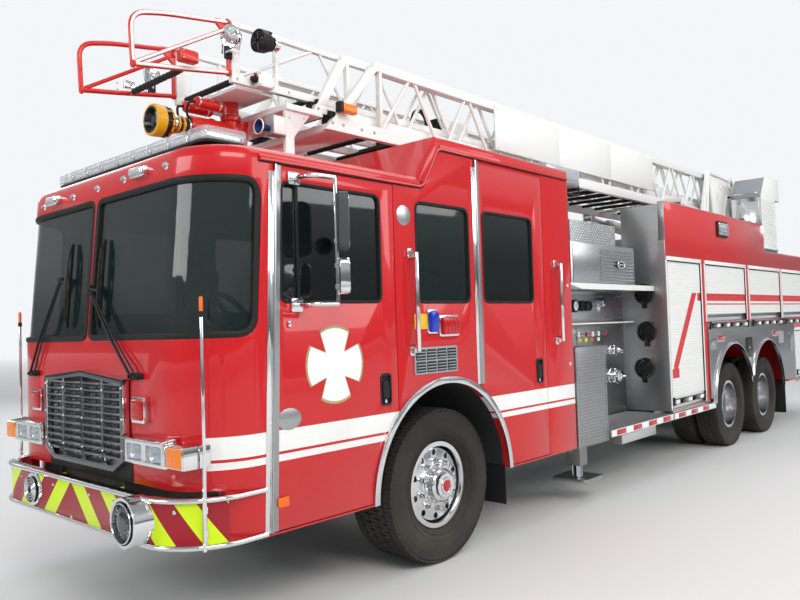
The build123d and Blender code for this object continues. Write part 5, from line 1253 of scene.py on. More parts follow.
def pierced_disc(piece, centre, out, reach):
    """A dished disc with ten hand holes; its rim end stands a reach further out than its flat face."""
    disc, drills = Piece("disc"), Piece("drills")
    disc.turned(centre, out, [(0.0, 0.080), (0.016, 0.080), (0.016, 0.248), (0.013, 0.255), (reach + 0.015, 0.2725),
                              (reach, 0.2725), (-0.002, 0.256), (0.0, 0.248)], alloy, 80, ring=True)
    across, up = frame_along(out)
    spots = [Vector(centre) + a * across + b * up for a, b in circle(10, HOLE_CIRCLE, phase=0.5)]
    for spot in spots:
        drills.rod(spot - Vector(out) * 0.05, spot + Vector(out) * 0.05, HOLE_RADIUS, alloy, 24)
    pair = []
    for part in (disc, drills):
        data = bpy.data.meshes.new(part.name)
        part.mesh.to_mesh(data)
        part.mesh.free()
        pair.append(bpy.data.objects.new(part.name, data))
        collection.objects.link(pair[-1])
    cut = pair[0].modifiers.new("holes", "BOOLEAN")
    cut.operation, cut.solver, cut.object = "DIFFERENCE", "EXACT", pair[1]
    made = bpy.data.meshes.new_from_object(pair[0].evaluated_get(bpy.context.evaluated_depsgraph_get()))
    for helper in pair:
        bpy.data.objects.remove(helper)
    piece.mesh_in(made, alloy)
    for spot in spots:
        piece.turned(spot + Vector(out) * 0.0155, out, [(0, 0.0215), (0.0025, 0.0225), (0.0025, 0.0255), (0, 0.0265)],
                     alloy, 28, ring=True)


def wheel_rims(name, body, centre, sign, offsets, half, seat, reach):
    """Barrels with rolled flanges on pierced discs, about one hub."""
    rims = Piece(f"{name}_dressed")
    out = Vector((0, sign, 0))
    for offset in offsets:
        rims.turned(Vector(centre) + out * offset, out,
                    [(-half, 0.304), (-half, 0.272), (half, 0.272), (half, 0.304), (half - 0.003, 0.3085),
                     (half - 0.010, 0.3085),
                     (half - 0.014, 0.303), (half - 0.015, 0.286), (0.015 - half, 0.286), (0.014 - half, 0.303),
                     (0.010 - half, 0.3085),
                     (0.003 - half, 0.3085)], alloy, 80, ring=True)
        way = -1 if offset < 0 else 1
        pierced_disc(rims, Vector(centre) + out * seat, out * way, reach)
    rims.turned(Vector(centre) + out * (seat - 0.045), out, [(0, 0.062), (0, 0.112), (0.134, 0.112), (0.134, 0.062)],
                steel, 40, ring=True)
    rims.done(body, "polished_alloy", (name,))


# %% Nuts and hub caps
FRONT_DISC_Y, REAR_DISC_Y = 1.136, 0.926


def wheel_face(name, body, x, z, disc_y, sign, rear, reach=0.112):
    """Ten capped nuts on their circle, the hub's cap and the tyre valve."""
    face = Piece(name)
    out = Vector((0, sign, 0))
    for a, b in circle(10, NUT_CIRCLE, middle=(x, z), phase=0.5):
        spot = Vector((a, disc_y, b))
        face.turned(spot - out * 0.004, out, [(0, 0.027), (0.006, 0.027), (0.010, 0.022)], chrome, 20)
        face.turned(spot, out, [(0, 0.0205), (0.024, 0.0200), (0.032, 0.0150), (0.046, 0.0140), (0.052, 0.010),
                                (0.053, 0)],
                    chrome, 6 if rear else 12)
    hub = Vector((x, disc_y, z))
    face.turned(hub, out, [(-0.01, 0.138), (0.006, 0.138), (0.012, 0.130), (0.020, 0.128), (0.026, 0.120),
                           (reach - 0.036, 0.1165), (reach - 0.026, 0.108), (reach - 0.022, 0.094),
                           (reach - 0.006, 0.090),
                           (reach, 0.082), (reach + 0.001, 0.062),
                           (reach - 0.004, 0.060)], chrome if not rear else alloy, 40)
    face.turned(hub + out * (reach - 0.006), out, [(0, 0.060), (0.010, 0.060), (0.013, 0.056), (0.013, 0.047),
                                                   (0.008, 0.044), (0.008, 0.002), (0.0081, 0)], chrome, 32)
    face.turned(hub + out * (reach + 0.001), out, [(0, 0.0435), (0.003, 0.040), (0.006, 0.024), (0.007, 0.0)],
                red_lens, 28)
    for a, b in circle(8, 0.086, phase=0.25):
        spot = hub + Vector((a, 0, b)) + out * (reach - 0.006)
        face.turned(spot, out, [(0, 0.007), (0.006, 0.007), (0.008, 0.004), (0.0085, 0)], chrome, 6)
    valve = hub + Vector((0.205, 0, 0.06))
    face.rod(valve, valve + out * 0.05, 0.004, chrome, 8, 0.001)
    face.done(body, "polished_alloy")


for side, sign in SIDES:
    wheel_rims(f"front_rim_{side}", f"front_wheel_{side}", (AXLE, sign * FRONT_TRACK, FRONT_RADIUS), sign, (0,),
               0.150, 0.100, -0.070)
    wheel_face(f"front_hub_{side}", f"front_wheel_{side}", AXLE, FRONT_RADIUS, sign * FRONT_DISC_Y, sign, False)
    for number_of, x in enumerate(REAR_AXLES):
        name = f"rear_rims_{number_of + 1}_{side}"
        wheel_rims(name, f"rear_wheels_{number_of + 1}_{side}", (x, sign * REAR_TRACK, REAR_RADIUS), sign,
                   (-TWIN_OFFSET, TWIN_OFFSET), 0.1075, 0, 0.090)
        wheel_face(f"rear_hub_{number_of + 1}_{side}", f"rear_wheels_{number_of + 1}_{side}", x, REAR_RADIUS,
                   sign * REAR_DISC_Y, sign, True)

# %% [markdown]
# ## Diamond plate
# Covers, steps and boards are aluminium tread plate: a flat sheet with rows of raised lozenges, each row
# turned against the next. A bump texture goes flat when the light grazes it, so the lozenges are real: one
# small wedge, stood on a grid by the repeater with every other one turned by a right angle.

# %% Diamond plate
def diamonds(piece, origin, across, along, pitch, size=0.0125):
    """Lozenges over a flat face from a corner, along two edge vectors; the face looks along across x along."""
    across, along = Vector(across), Vector(along)
    out = across.cross(along).normalized()
    u, v = across.normalized(), along.normalized()
    columns, rows = int(across.length / pitch), int(along.length / pitch)
    unit = Piece("lozenge")
    height = 0.0018
    flat = [(-size, 0), (0, -0.28 * size), (size, 0), (0, 0.28 * size)]
    points = [(a, b, -0.0004) for a, b in flat] + [(0.62 * a, 0.5 * b, height) for a, b in flat]
    unit.shape(points, BLOCK_FACES, tread_bars)
    made = repeated(unit, tread_bars, columns * rows, columns, (pitch, 0, 0), (0, pitch, 0), (0, 0, 1), 0.0, pi / 2)
    edge = 0.5 * Vector((across.length - (columns - 1) * pitch, along.length - (rows - 1) * pitch))
    turn = Matrix((u, v, out)).transposed()
    start = Vector(origin) + u * edge.x + v * edge.y
    piece.mesh_in(made, tread_bars, Matrix.Translation(start) @ turn.to_4x4())


# %% [markdown]
# ## Outrigger covers and pump house
# Behind the cab the outriggers hide under tread plate boxes. The pump house behind them is sheet stainless:
# panel, shelf, tool box with a louvred door, and a tread plate box on top.

# %% Covers, jacks and house
for side, sign in SIDES:
    eased(f"outrigger_{side}", f"outrigger_{side}_body", tread, 0.003)
    cover = Piece(f"outrigger_plate_{side}")
    y = sign * 1.245
    corner = (AXLE - (2.462 if sign < 0 else 1.905), y, 0.545)
    diamonds(cover, corner, (-0.557, 0, 0), (0, 0, 0.885), 0.0285)
    cover.box(from_axle(-2.470, -2.452), span(sign, 0, 0.003, y), (0.535, 1.440), steel, 0.001)
    cover.box(from_axle(-1.915, -1.897), span(sign, 0, 0.003, y), (0.535, 1.440), steel, 0.001)
    for z in (0.60, 0.90, 1.20, 1.40):
        for x in from_axle(-2.461, -1.906):
            cover.turned((x, y + sign * 0.002, z), (0, sign, 0), [(0, 0.007), (0.003, 0.005), (0.004, 0)], steel, 12)
    cover.done(f"outrigger_{side}_body", "tread_plate")
    jack = eased(f"jack_{side}", f"jack_{side}_body", chassis_black, 0.003)
    dress(jack, lambda centre, facing: steel if centre.z < 0.235 else rod_chrome if centre.z > 0.335 else None)


def house_finish(centre, facing):
    """Tread plate on the top box, grey paint on faces that look up, brushed panels elsewhere."""
    if centre.z > 2.445 and centre.x < AXLE - 2.49:
        return tread
    return grey_paint if facing.z > 0.9 else None


house = eased("pump_house", "chassis", steel, 0.003)
dress(house, house_finish)
eased("running_boards", "chassis", tread, 0.003)

pump = Piece("pump_fittings")
LATCH_AT = (AXLE - 3.13, 2.245)
for sign in (1, -1):
    y = sign * 1.100
    # Louvred door of the tool box, in a plain frame with an oval handle
    pump.box(from_axle(-3.470, -2.175), span(sign, -0.004, 0.006, y), (2.050, 2.430), steel_level, 0.004)
    louvre = Piece("louvre")
    louvre.shape([(0, 0, 0), (0.72, 0, 0), (0.72, 0.013, 0.006), (0, 0.013, 0.006), (0, 0, 0.026), (0.72, 0, 0.026)],
                 ((0, 1, 2, 3), (3, 2, 5, 4), (0, 3, 4), (1, 5, 2), (0, 4, 5, 1)), steel_level)
    slats = repeated(louvre, steel_level, 10, step=(0, 0, 0.033))
    mirror_y = Matrix.Diagonal((1, sign, 1, 1))
    pump.mesh_in(slats, steel_level, Matrix.Translation((AXLE - 3.430, y + sign * 0.005, 2.075)) @ mirror_y)
    rim = [(a, y + sign * 0.026, b) for a, b in circle(32, 0.075, 0.034, LATCH_AT)]
    pump.tube(rim, 0.007, chrome, 8, closed=True)
    pump.prism(circle(28, 0.066, 0.028, LATCH_AT), "Y",
               *span(sign, 0.010, 0.022, y), black, 0.002)
    pump.box(from_axle(-3.175, -3.085), span(sign, 0.02, 0.036, y), (2.236, 2.254), chrome, 0.006)
    # White shelf lip with its angled end, and the gauge shelf under it
    lip = [(AXLE - 3.960, 1.985), (AXLE - 2.330, 1.985), (AXLE - 2.130, 2.020), (AXLE - 1.905, 2.020),
           (AXLE - 1.905, 2.042),
           (AXLE - 3.960, 2.042)]
    pump.prism(lip, "Y", *span(sign, 1.085, 1.106), white, 0.002)
    pump.box(from_axle(-3.955, -2.10), span(sign, 0.72, 0.86), (1.640, 1.655), white, 0.003)
    face = sign * 0.7205
    pump.box(from_axle(-3.93, -2.50), span(sign, 0, 0.006, face), (1.670, 1.965), steel_level, 0.003)
    pump.box(from_axle(-3.93, -2.50), span(sign, 0, 0.006, face), (0.640, 1.625), steel_level, 0.003)
    for x in from_axle(-3.42, -2.86):
        pump.box((x - 0.002, x + 0.002), span(sign, 0, 0.008, face), (0.645, 1.620), black, 0.0)
    for x in from_axle(-3.90, -3.45, -3.39, -2.89, -2.83, -2.53):
        for z in (0.68, 1.00, 1.30, 1.59, 1.70, 1.94):
            pump.turned((x, face + sign * 0.006, z), (0, sign, 0), [(0, 0.008), (0.003, 0.006), (0.004, 0)], chrome,
                        10)
    for x, z, r, shade in ((-2.64, 1.835, 0.062, dial_white), (-2.80, 1.835, 0.062, dial_white),
                           (-2.97, 1.835, 0.052, dark_glass),
                           (-3.09, 1.835, 0.052, dark_glass), (-3.30, 1.82, 0.040, dial_white),
                           (-3.42, 1.86, 0.030, dark_glass)):
        spot = (AXLE + x, face + sign * 0.004, z)
        pump.turned(spot, (0, sign, 0), [(0, r + 0.006), (0.042, r + 0.006), (0.050, r), (0.050, r - 0.008),
                                         (0.040, r - 0.010)],
                    gloss_black if r > 0.045 else chrome, 32)
        pump.turned((spot[0], spot[1] + sign * 0.036, z), (0, sign, 0), [(0, r - 0.008), (0.006, r - 0.008)], shade,
                    32)
        if shade is dial_white:
            for k in range(9):
                turn = radians(-40 + 32.5 * k)
                a, b = (r - 0.024) * cos(turn), (r - 0.024) * sin(turn)
                tick = Vector((spot[0] + a, spot[1] + sign * 0.0425, z + b))
                pump.rod(tick, tick + Vector((a, 0, b)).normalized() * 0.010, 0.0012, black, 6)
            pump.rod((spot[0] + 0.008, spot[1] + sign * 0.044, z - 0.006), (spot[0] - 0.028, spot[1] + sign * 0.044,
                                                                            z + 0.026),
                     0.0016, black, 6)
    # Pull handles: a chrome rod and collar with a white or red T knob
    for k, x in enumerate((-2.60, -2.76, -2.93, -3.06, -3.19, -3.34)):
        spot = Vector((AXLE + x, face + sign * 0.005, 1.535))
        out = Vector((0, sign, 0))
        pump.turned(spot, out, [(0, 0.020), (0.006, 0.020), (0.009, 0.014), (0.022, 0.012)], chrome, 20)
        pump.rod(spot, spot + out * 0.080, 0.006, chrome, 10)
        pump.turned(spot + out * 0.080 - Vector((0, 0, 0.026)), (0, 0, 1), [(0, 0.009), (0.006, 0.014),
                                                                            (0.046, 0.014), (0.052, 0.009)],
                    dial_white if k in (0, 1, 3, 4) else red_lens, 14)
        pump.box((spot.x - 0.026, spot.x + 0.026), span(sign, 0.005, 0.009, face), (1.455, 1.490),
                 (red_lens, blue, yellow, lime, orange, dial_white)[k], 0.001)
    pump.box(from_axle(-2.635, -2.565), span(sign, 0.004, 0.012, face), (1.330, 1.430), dial_white, 0.003)
    pump.box(from_axle(-2.725, -2.650), span(sign, 0.004, 0.010, face), (1.350, 1.430), orange, 0.003)
    # Blue valve plate and orange relief valve control
    pump.prism(rounded((AXLE - 2.82, 1.165), (AXLE - 2.56, 1.300), 0.02), "Y", *span(sign, 0, 0.030, face), blue,
               0.004)
    pump.prism(rounded((AXLE - 2.79, 1.210), (AXLE - 2.60, 1.262), 0.016), "Y", *span(sign, 0.02, 0.040, face),
               gloss_black, 0.004)
    pump.prism([(AXLE - 3.16, 0.98), (AXLE - 3.08, 0.98), (AXLE - 3.06, 1.14), (AXLE - 2.93, 1.16),
                (AXLE - 2.90, 1.38),
                (AXLE - 3.20, 1.38), (AXLE - 3.20, 1.16)], "Y", *span(sign, 0, 0.034, face), orange, 0.005)
    pump.prism(rounded((AXLE - 3.17, 1.275), (AXLE - 2.95, 1.335), 0.014), "Y", *span(sign, 0.02, 0.044, face),
               gloss_black, 0.003)
    for x in from_axle(-3.15, -3.11):
        pump.box((x - 0.007, x + 0.007), span(sign, 0.03, 0.044, face), (1.00, 1.26), chrome, 0.003)
    # Couplings: flanged chrome bodies with lugged caps
    for x, z, r, reach in ((-2.960, 1.050, 0.076, 0.110), (-2.700, 1.330, 0.038, 0.090),
                           (-3.250, 1.330, 0.038, 0.090),
                           (-3.250, 1.020, 0.038, 0.090), (-3.62, 1.05, 0.060, 0.100), (-3.62, 1.34, 0.038, 0.09),
                           (-2.66, 1.02, 0.045, 0.10)):
        spot, out = Vector((AXLE + x, face, z)), Vector((0, sign, 0))
        pump.turned(spot, out, [(0, r * 1.55), (0.012, r * 1.55), (0.016, r * 1.45), (0.020, r * 1.12),
                                (reach * 0.45, r * 1.12),
                                (reach * 0.5, r * 1.32), (reach * 0.72, r * 1.32), (reach * 0.78, r * 1.2),
                                (reach + 0.008, r * 1.16),
                                (reach + 0.020, r * 0.95), (reach + 0.024, r * 0.55), (reach + 0.034, r * 0.3),
                                (reach + 0.036, 0)],
                    chrome, 36)
        for k in range(6):
            turn = tau * k / 6 + 0.3
            lug = spot + out * (reach * 0.61) + Vector((r * 1.36 * cos(turn), 0, r * 1.36 * sin(turn)))
            pump.rod(lug - out * 0.012, lug + out * 0.012, 0.0095, chrome, 10, 0.003)
        for sweep_x in (-1, 1):
            pump.tube([spot + out * (reach + 0.016) + Vector((sweep_x * r * 0.5, 0, 0)),
                       spot + out * (reach + 0.034) + Vector((sweep_x * r * 1.0, 0, 0)),
                       spot + out * (reach + 0.030) + Vector((sweep_x * r * 1.45, 0, 0))], 0.008, chrome, 8)
    # Bright front wall of the rear body, with three black hose cap rings
    wall_x = AXLE - 3.972
    pump.box((wall_x - 0.001, wall_x + 0.004), span(sign, 0.735, 1.240), (0.650, 2.960), steel, 0.001)
    pump.box((wall_x - 0.010, wall_x + 0.012), span(sign, 1.180, 1.247), (2.55, 2.986), steel, 0.004)
    for y_at, z in ((0.985, 1.960), (1.000, 1.530), (0.955, 1.120)):
        spot = Vector((wall_x + 0.004, sign * y_at, z))
        for ring, tube in ((0.105, 0.012), (0.070, 0.007)):
            pump.tube([spot + Vector((0.016, a, b)) for a, b in circle(36, ring)], tube, gloss_black, 8, closed=True)
        pump.turned(spot, (1, 0, 0), [(0, 0.088), (0.010, 0.088), (0.016, 0.080), (0.018, 0.045), (0.030, 0.040),
                                      (0.032, 0)],
                    black, 28)
        for turn in (0.6, 2.5, 4.71):
            a, b = cos(turn), sin(turn)
            pump.tube([spot + Vector((0.018, 0.05 * a, 0.05 * b)), spot + Vector((0.018, 0.115 * a, 0.115 * b))],
                      0.009, gloss_black, 8)
        pump.box((wall_x + 0.003, wall_x + 0.022), sorted((sign * y_at - 0.03, sign * y_at + 0.03)),
                 (z - 0.165, z - 0.10), gloss_black,
                 0.006)
    # Edge strips of the boards: white with red blocks
    edge_y = sign * 1.270
    for x0, x1 in ((-2.490, -3.955), (-3.99, -5.235)):
        pump.box((AXLE + x1, AXLE + x0), span(sign, -0.003, 0.003, edge_y), (0.560, 0.622), dial_white, 0.001)
        x = x0 - 0.10
        while x - 0.20 > x1:
            pump.box((AXLE + x - 0.20, AXLE + x), span(sign, 0, 0.0042, edge_y), (0.566, 0.616), red_lens, 0.0005)
            x -= 0.36
    pump.box(from_axle(-3.975, -3.940), span(sign, -0.01, 0.006, edge_y), (0.555, 0.645), steel, 0.003)
    pump.box(from_axle(-3.635, -2.835), span(sign, 1.199, 1.203), (0.442, 0.552), alloy, 0.001)
pump.done("chassis", "stainless")

plates = Piece("tread_plates")
for sign in (1, -1):
    x0, x1 = from_axle(-3.965, -2.485)
    if sign > 0:
        diamonds(plates, (x0, 0.735, 0.626), (x1 - x0, 0, 0), (0, 0.53, 0), 0.034)
        diamonds(plates, (AXLE - 2.505, 0.900, 2.452), (-0.97, 0, 0), (0, 0, 0.24), 0.026)
    else:
        diamonds(plates, (x0, -1.265, 0.626), (x1 - x0, 0, 0), (0, 0.53, 0), 0.034)
        diamonds(plates, (AXLE - 3.475, -0.900, 2.452), (0.97, 0, 0), (0, 0, 0.24), 0.026)
diamonds(plates, (AXLE - 2.4995, -0.885, 2.452), (0, 1.77, 0), (0, 0, 0.24), 0.028)
plates.done("chassis", "tread_plate")

# %% [markdown]
# ## Rear body
# The body is a welded box with shutters on both sides. The CAD box keeps its form under an eased copy; paint
# stops where the deck, the hose bed and the wheel wells begin, so those faces take plate and black instead.

# %% Body shell
BODY_FRONT, BODY_REAR = AXLE - 3.972, AXLE - 9.950


def body_finish(centre, facing):
    """Plate on the deck and in the bed, black in the wells, bare metal in the shutter recesses."""
    if abs(centre.y) < 1.171 and centre.z > 2.60 and facing.z > 0.5:
        return tread
    if abs(centre.y) < 1.01 and 1.90 < centre.z < 2.60 and BODY_REAR + 0.1 < centre.x < BODY_FRONT - 0.1:
        return alloy
    if facing.x > 0.9 and centre.x > BODY_FRONT - 0.02:
        return steel
    in_well = AXLE - 8.35 < centre.x < AXLE - 5.0
    if centre.z < 1.45 and (abs(centre.y) < 1.243 and (in_well or abs(facing.x) < 0.99) or centre.z < 0.645):
        return chassis_black
    if abs(facing.y) > 0.5 and 1.20 < abs(centre.y) < 1.222 or (abs(facing.y) < 0.5 and 1.216 < abs(centre.y) < 1.243
                                                               and centre.z < 2.40):
        return alloy
    return None


shell = eased("body_shell", "chassis", body_red, 0.003)
dress(shell, body_finish)

# %% [markdown]
# ## Roll-up shutters
# A shutter is a curtain of interlocking slats that rolls up behind its header box. Its slats repeat by a
# rule, so one slat, crowned on its face with a groove under it, goes through the repeater for every opening.
# The red lines run on across the slats: they belong to the paint, which reads height and length in space.

# %% Shutter paint and slats
SHUTTERS = ((-3.990, -4.988, 0.670, 2.358), (-5.135, -6.613, 1.622, 2.345), (-6.761, -8.210, 1.622, 2.345),
            (-8.295, -9.800, 1.622, 2.345), (-8.860, -9.800, 0.670, 1.420))
SLAT = 0.0302


def shutter_lines(tree):
    """White with two level red lines and a slanted one that climbs to them from a small foot."""
    spot, split = node(tree, "TexCoord"), node(tree, "SeparateXYZ")
    link(tree, (spot, "Object"), (split, 0))
    area = None
    slant = maths(tree, "SUBTRACT", (split, "X"), maths(tree, "MULTIPLY", (split, "Z"), -0.640 / 0.860))
    for value, low, high, others in (
            ((split, "Z"), 1.872, 1.966, (((split, "X"), AXLE - 9.9, AXLE - 4.875),)),
            ((split, "Z"), 1.824, 1.842, (((split, "X"), AXLE - 9.9, AXLE - 5.0),)),
            ((split, "Z"), 1.000, 1.106, (((split, "X"), AXLE - 4.245, AXLE - 4.055),)),
            (slant, AXLE - 3.395, AXLE - 3.245, (((split, "Z"), 1.05, 1.966),
                                                 ((split, "X"), AXLE - 4.95, AXLE - 4.1)))):
        part = (use(tree, band, Value=value, Low=low, High=high), "Mask")
        for other, other_low, other_high in others:
            part = maths(tree, "MULTIPLY", part, (use(tree, band, Value=other, Low=other_low, High=other_high),
                                                  "Mask"))
        area = part if area is None else maths(tree, "MAXIMUM", area, part)
    return blend_colour(tree, area, (0.77, 0.77, 0.75, 1), (*STRIPE_RED, 1))


shutter_paint = finish("shutter_paint", (0.77, 0.77, 0.75), 0.36, coat=0.3, tone=0.06, tone_scale=0.8,
                       painted=shutter_lines)
curtain = Piece("roll_shutters_dressed")
for sign in (1, -1):
    face = sign * 1.2372
    for front_x, rear_x, low_z, high_z in SHUTTERS:
        x0, x1 = AXLE + rear_x + 0.0005, AXLE + front_x - 0.0005
        half, count = SLAT / 2, int((high_z - low_z - 0.062) / SLAT)
        unit = Piece("slat")
        section = [(-0.006, -half), (-0.0008, -half), (-0.0008, -half + 0.0035), (0.0, -half + 0.005),
                   (0.0016, 0.0), (0.0006, half - 0.003), (-0.001, half - 0.001), (-0.006, half)]
        unit.prism([(sign * out, up) for out, up in section], "X", x0, x1, shutter_paint)
        made = repeated(unit, shutter_paint, count, step=(0, 0, SLAT))
        start = high_z - 0.001 - (count - 0.5) * SLAT
        curtain.mesh_in(made, shutter_paint, Matrix.Translation((0, face, start)))
        curtain.box((x0, x1), span(sign, -0.018, -0.0055, face), (low_z + 0.0005, high_z - 0.0005), alloy, 0.001)
        # Bottom rail with its pull bar: a black bar held off by white blocks, in front of the skirt's top edge
        foot = start - half
        curtain.box((x0, x1), span(sign, -0.006, 0.002, face), (low_z + 0.001, foot - 0.001), alloy, 0.002)
        upper = low_z > 1.5
        bar_z = 1.565 if upper else low_z + 0.072
        length = x1 - x0
        y0, y1 = sorted((sign * 1.2635, sign * 1.2845) if upper else (sign * 1.2405, sign * 1.2625))
        curtain.box((x0 + 0.03, x1 - 0.03), (y0, y1), (bar_z + 0.020, bar_z + 0.032), gloss_black, 0.003)
        curtain.box((x0 + 0.03, x1 - 0.03), (y0, y1), (bar_z - 0.030, bar_z - 0.022), gloss_black, 0.003)
        blocks = max(3, round(length / 0.19))
        for k in range(blocks):
            at = x0 + 0.05 + (length - 0.10) * (k + 0.5) / blocks
            width = 0.26 * (length - 0.10) / blocks
            curtain.box((at - width, at + width), (y0, y1 - 0.002), (bar_z - 0.023, bar_z + 0.021),
                        dial_white if k % 2 == 0 else gloss_black, 0.002)
        for at in (x0 + 0.040, x1 - 0.040):
            curtain.box((at - 0.016, at + 0.016), (y0, y1 + 0.001), (bar_z - 0.042, bar_z + 0.050), gloss_black,
                        0.005)
curtain.done("chassis", slot_of["roll_shutters"], ("roll_shutters",))

# %% Shutter frames, lamps and trims
trims = Piece("body_trims")
for sign in (1, -1):
    y = sign * 1.245
    for front_x, rear_x, low_z, high_z in SHUTTERS:
        x0, x1 = AXLE + rear_x, AXLE + front_x
        # Header box above the curtain, side channels with black brush seals
        head_z = 2.370 if high_z > 2.0 else high_z + 0.040
        trims.box((x0 - 0.008, x1 + 0.008), span(sign, -0.004, 0.013, y), (head_z - 0.045, head_z),
                  white, 0.004)
        trims.box((x0, x1), span(sign, -0.010, 0.006, y), (head_z - 0.057, head_z - 0.045), rubber, 0.002)
        for edge, inward in ((x0, 1), (x1, -1)):
            channel = sorted((edge - inward * 0.026, edge + inward * 0.004))
            trims.box(channel, span(sign, -0.002, 0.007, y), (low_z - 0.004, head_z - 0.045), white, 0.003)
            seal = sorted((edge + inward * 0.0035, edge + inward * 0.017))
            trims.box(seal, span(sign, -0.010, 0.004, y), (low_z + 0.004, head_z - 0.050), rubber, 0.002)
        if low_z < 1.5:
            trims.box((x0 - 0.026, x1 + 0.026), span(sign, -0.002, 0.007, y), (low_z - 0.018, low_z - 0.003),
                      alloy, 0.003)
    # Side lamp high on the tall panel, in a black housing
    lamp_x = AXLE - 5.772
    trims.prism(rounded((lamp_x - 0.186, 2.692), (lamp_x + 0.186, 2.898), 0.03), "Y", *span(sign, 0, 0.020, y), black,
                0.006)
    trims.prism(rounded((lamp_x - 0.155, 2.718), (lamp_x + 0.155, 2.874), 0.02), "Y", *span(sign, 0.012, 0.036, y),
                lamp_silver, 0.006)
    trims.prism(rounded((lamp_x - 0.148, 2.725), (lamp_x + 0.148, 2.867), 0.02), "Y", *span(sign, 0.034, 0.046, y),
                clear_lens, 0.008)
    for k in range(6):
        cell = lamp_x - 0.105 + 0.042 * k
        trims.box((cell - 0.017, cell + 0.017), span(sign, 0.030, 0.040, y), (2.765, 2.847), lamp_silver, 0.004)
    # Polished cap rail along the tall panel's top and rear edge
    trims.box(from_axle(-7.516, -3.985), span(sign, 1.170, 1.2475), (2.984, 2.9905), alloy, 0.003)
    trims.box(from_axle(-7.520, -7.512), span(sign, 1.172, 1.247), (2.612, 2.986), alloy, 0.003)
    trims.box(from_axle(-9.952, -7.52), span(sign, 1.20, 1.2475), (2.602, 2.6095), alloy, 0.003)
    # Sill under the rear shutter and reflective red spots
    trims.box(from_axle(-9.945, -8.80), span(sign, 1.243, 1.2555), (0.596, 0.650), alloy, 0.005)
    trims.box(from_axle(-5.125, -3.985), span(sign, 1.243, 1.2505), (0.626, 0.650), alloy, 0.003)
    for x in (-9.86, -8.83):
        trims.box((AXLE + x - 0.028, AXLE + x + 0.028), span(sign, 0, 0.008, y), (1.470, 1.560), red_lens, 0.004)
    # Black mud flap behind the rear wheel
    trims.box(from_axle(-8.306, -8.294), span(sign, 0.66, 1.225), (0.17, 0.66), rubber, 0.003)
trims.done("chassis", "bright_chrome")

# %% [markdown]
# ## Skirts over the tandem
# Brushed stainless sheets close the sides over the wheels. Their arches carry wide polished lips, turned
# outwards like a bell mouth; a rounded section drawn along the arc gives the long soft highlight.

# %% Skirts and arches
skirts = eased("rear_skirts", "chassis", steel, 0.001)
dress(skirts, lambda centre, facing: alloy if abs(centre.y) > 1.2635 else chassis_black if facing.y * centre.y < -0.5
      else None)
skirt_fittings = Piece("skirt_fittings")
for sign in (1, -1):
    y = sign * 1.263
    middle = sum(REAR_AXLES) / 2
    for x in REAR_AXLES:
        meet = (middle - x) if x < middle else (x - middle)
        cut = 90 - degrees(asin(meet / 0.748))
        first, last = (1.5, 180 - cut) if x > middle else (cut, 178.5)
        way = arc((x, 0.600), 0.722, first, last, 44)
        path = [Vector((a, sign * 1.268, b)) for a, b in way]
        out = [Vector((a - x, 0, b - 0.600)).normalized() for a, b in way]
        lip = [(-0.030, -0.004), (-0.030, 0.004), (-0.014, 0.016), (0.000, 0.030), (0.008, 0.046), (0.010, 0.050),
               (0.0125, 0.046), (0.012, 0.024), (0.004, 0.004), (-0.010, -0.004)]
        skirt_fittings.strip(path, out, [(-sign * a, b) for a, b in lip], alloy, closed=False)
    for x, z in ((-5.524, 1.405), (-7.775, 1.405)):
        spot = (AXLE + x - 0.122, AXLE + x + 0.122)
        skirt_fittings.prism(rounded((spot[0], z - 0.047), (spot[1], z + 0.047), 0.02), "Y", *span(sign, 0, 0.010, y),
                             chrome, 0.004)
        skirt_fittings.prism(rounded((spot[0] + 0.018, z - 0.032), (spot[1] - 0.018, z + 0.032), 0.014), "Y",
                             *span(sign, 0.006, 0.020, y), red_lens, 0.005)
    for x0, x1, z0, z1, shade in ((-6.730, -6.470, 1.110, 1.380, black), (-5.386, -5.140, 1.270, 1.410, steel_level),
                                  (-8.190, -7.940, 1.240, 1.430, grey_paint),
                                  (-8.760, -8.520, 1.10, 1.40, steel_level)):
        skirt_fittings.prism(rounded((AXLE + x0, z0), (AXLE + x1, z1), 0.02), "Y", *span(sign, 0, 0.006, y), shade,
                             0.002)
        latch = (AXLE + (x0 + x1) / 2, y + sign * 0.005, (z0 + z1) / 2)
        skirt_fittings.turned(latch, (0, sign, 0), [(0, 0.017), (0.003, 0.017), (0.006, 0.012), (0.007, 0)], chrome,
                              20)
    for x in (-5.16, -5.9, -6.60, -7.4, -8.30, -8.76):
        skirt_fittings.turned((AXLE + x, y, 1.575), (0, sign, 0), [(0, 0.008), (0.003, 0.006), (0.004, 0)], chrome,
                              12)
    skirt_fittings.box(from_axle(-8.790, -5.135), span(sign, -0.002, 0.006, y), (1.604, 1.616), alloy, 0.003)
skirt_fittings.done("chassis", "stainless")

# %% [markdown]
# ## Rear face and deck
# The photograph hides the rear face, so it follows the type: warning chevrons, a stainless ladder
# compartment door, lamp clusters in bright bezels, steps up to the deck and rails to hold.

# %% Rear face
tail = eased("tail_fittings", "chassis", tread, 0.003)


def tail_finish(centre, facing):
    """Red, amber and clear lamp blocks over a tread plate step."""
    if centre.z > 0.93:
        return red_lens if centre.z < 1.11 else amber if centre.z < 1.28 else lamp_silver
    return chassis_black if centre.z > 0.645 else None


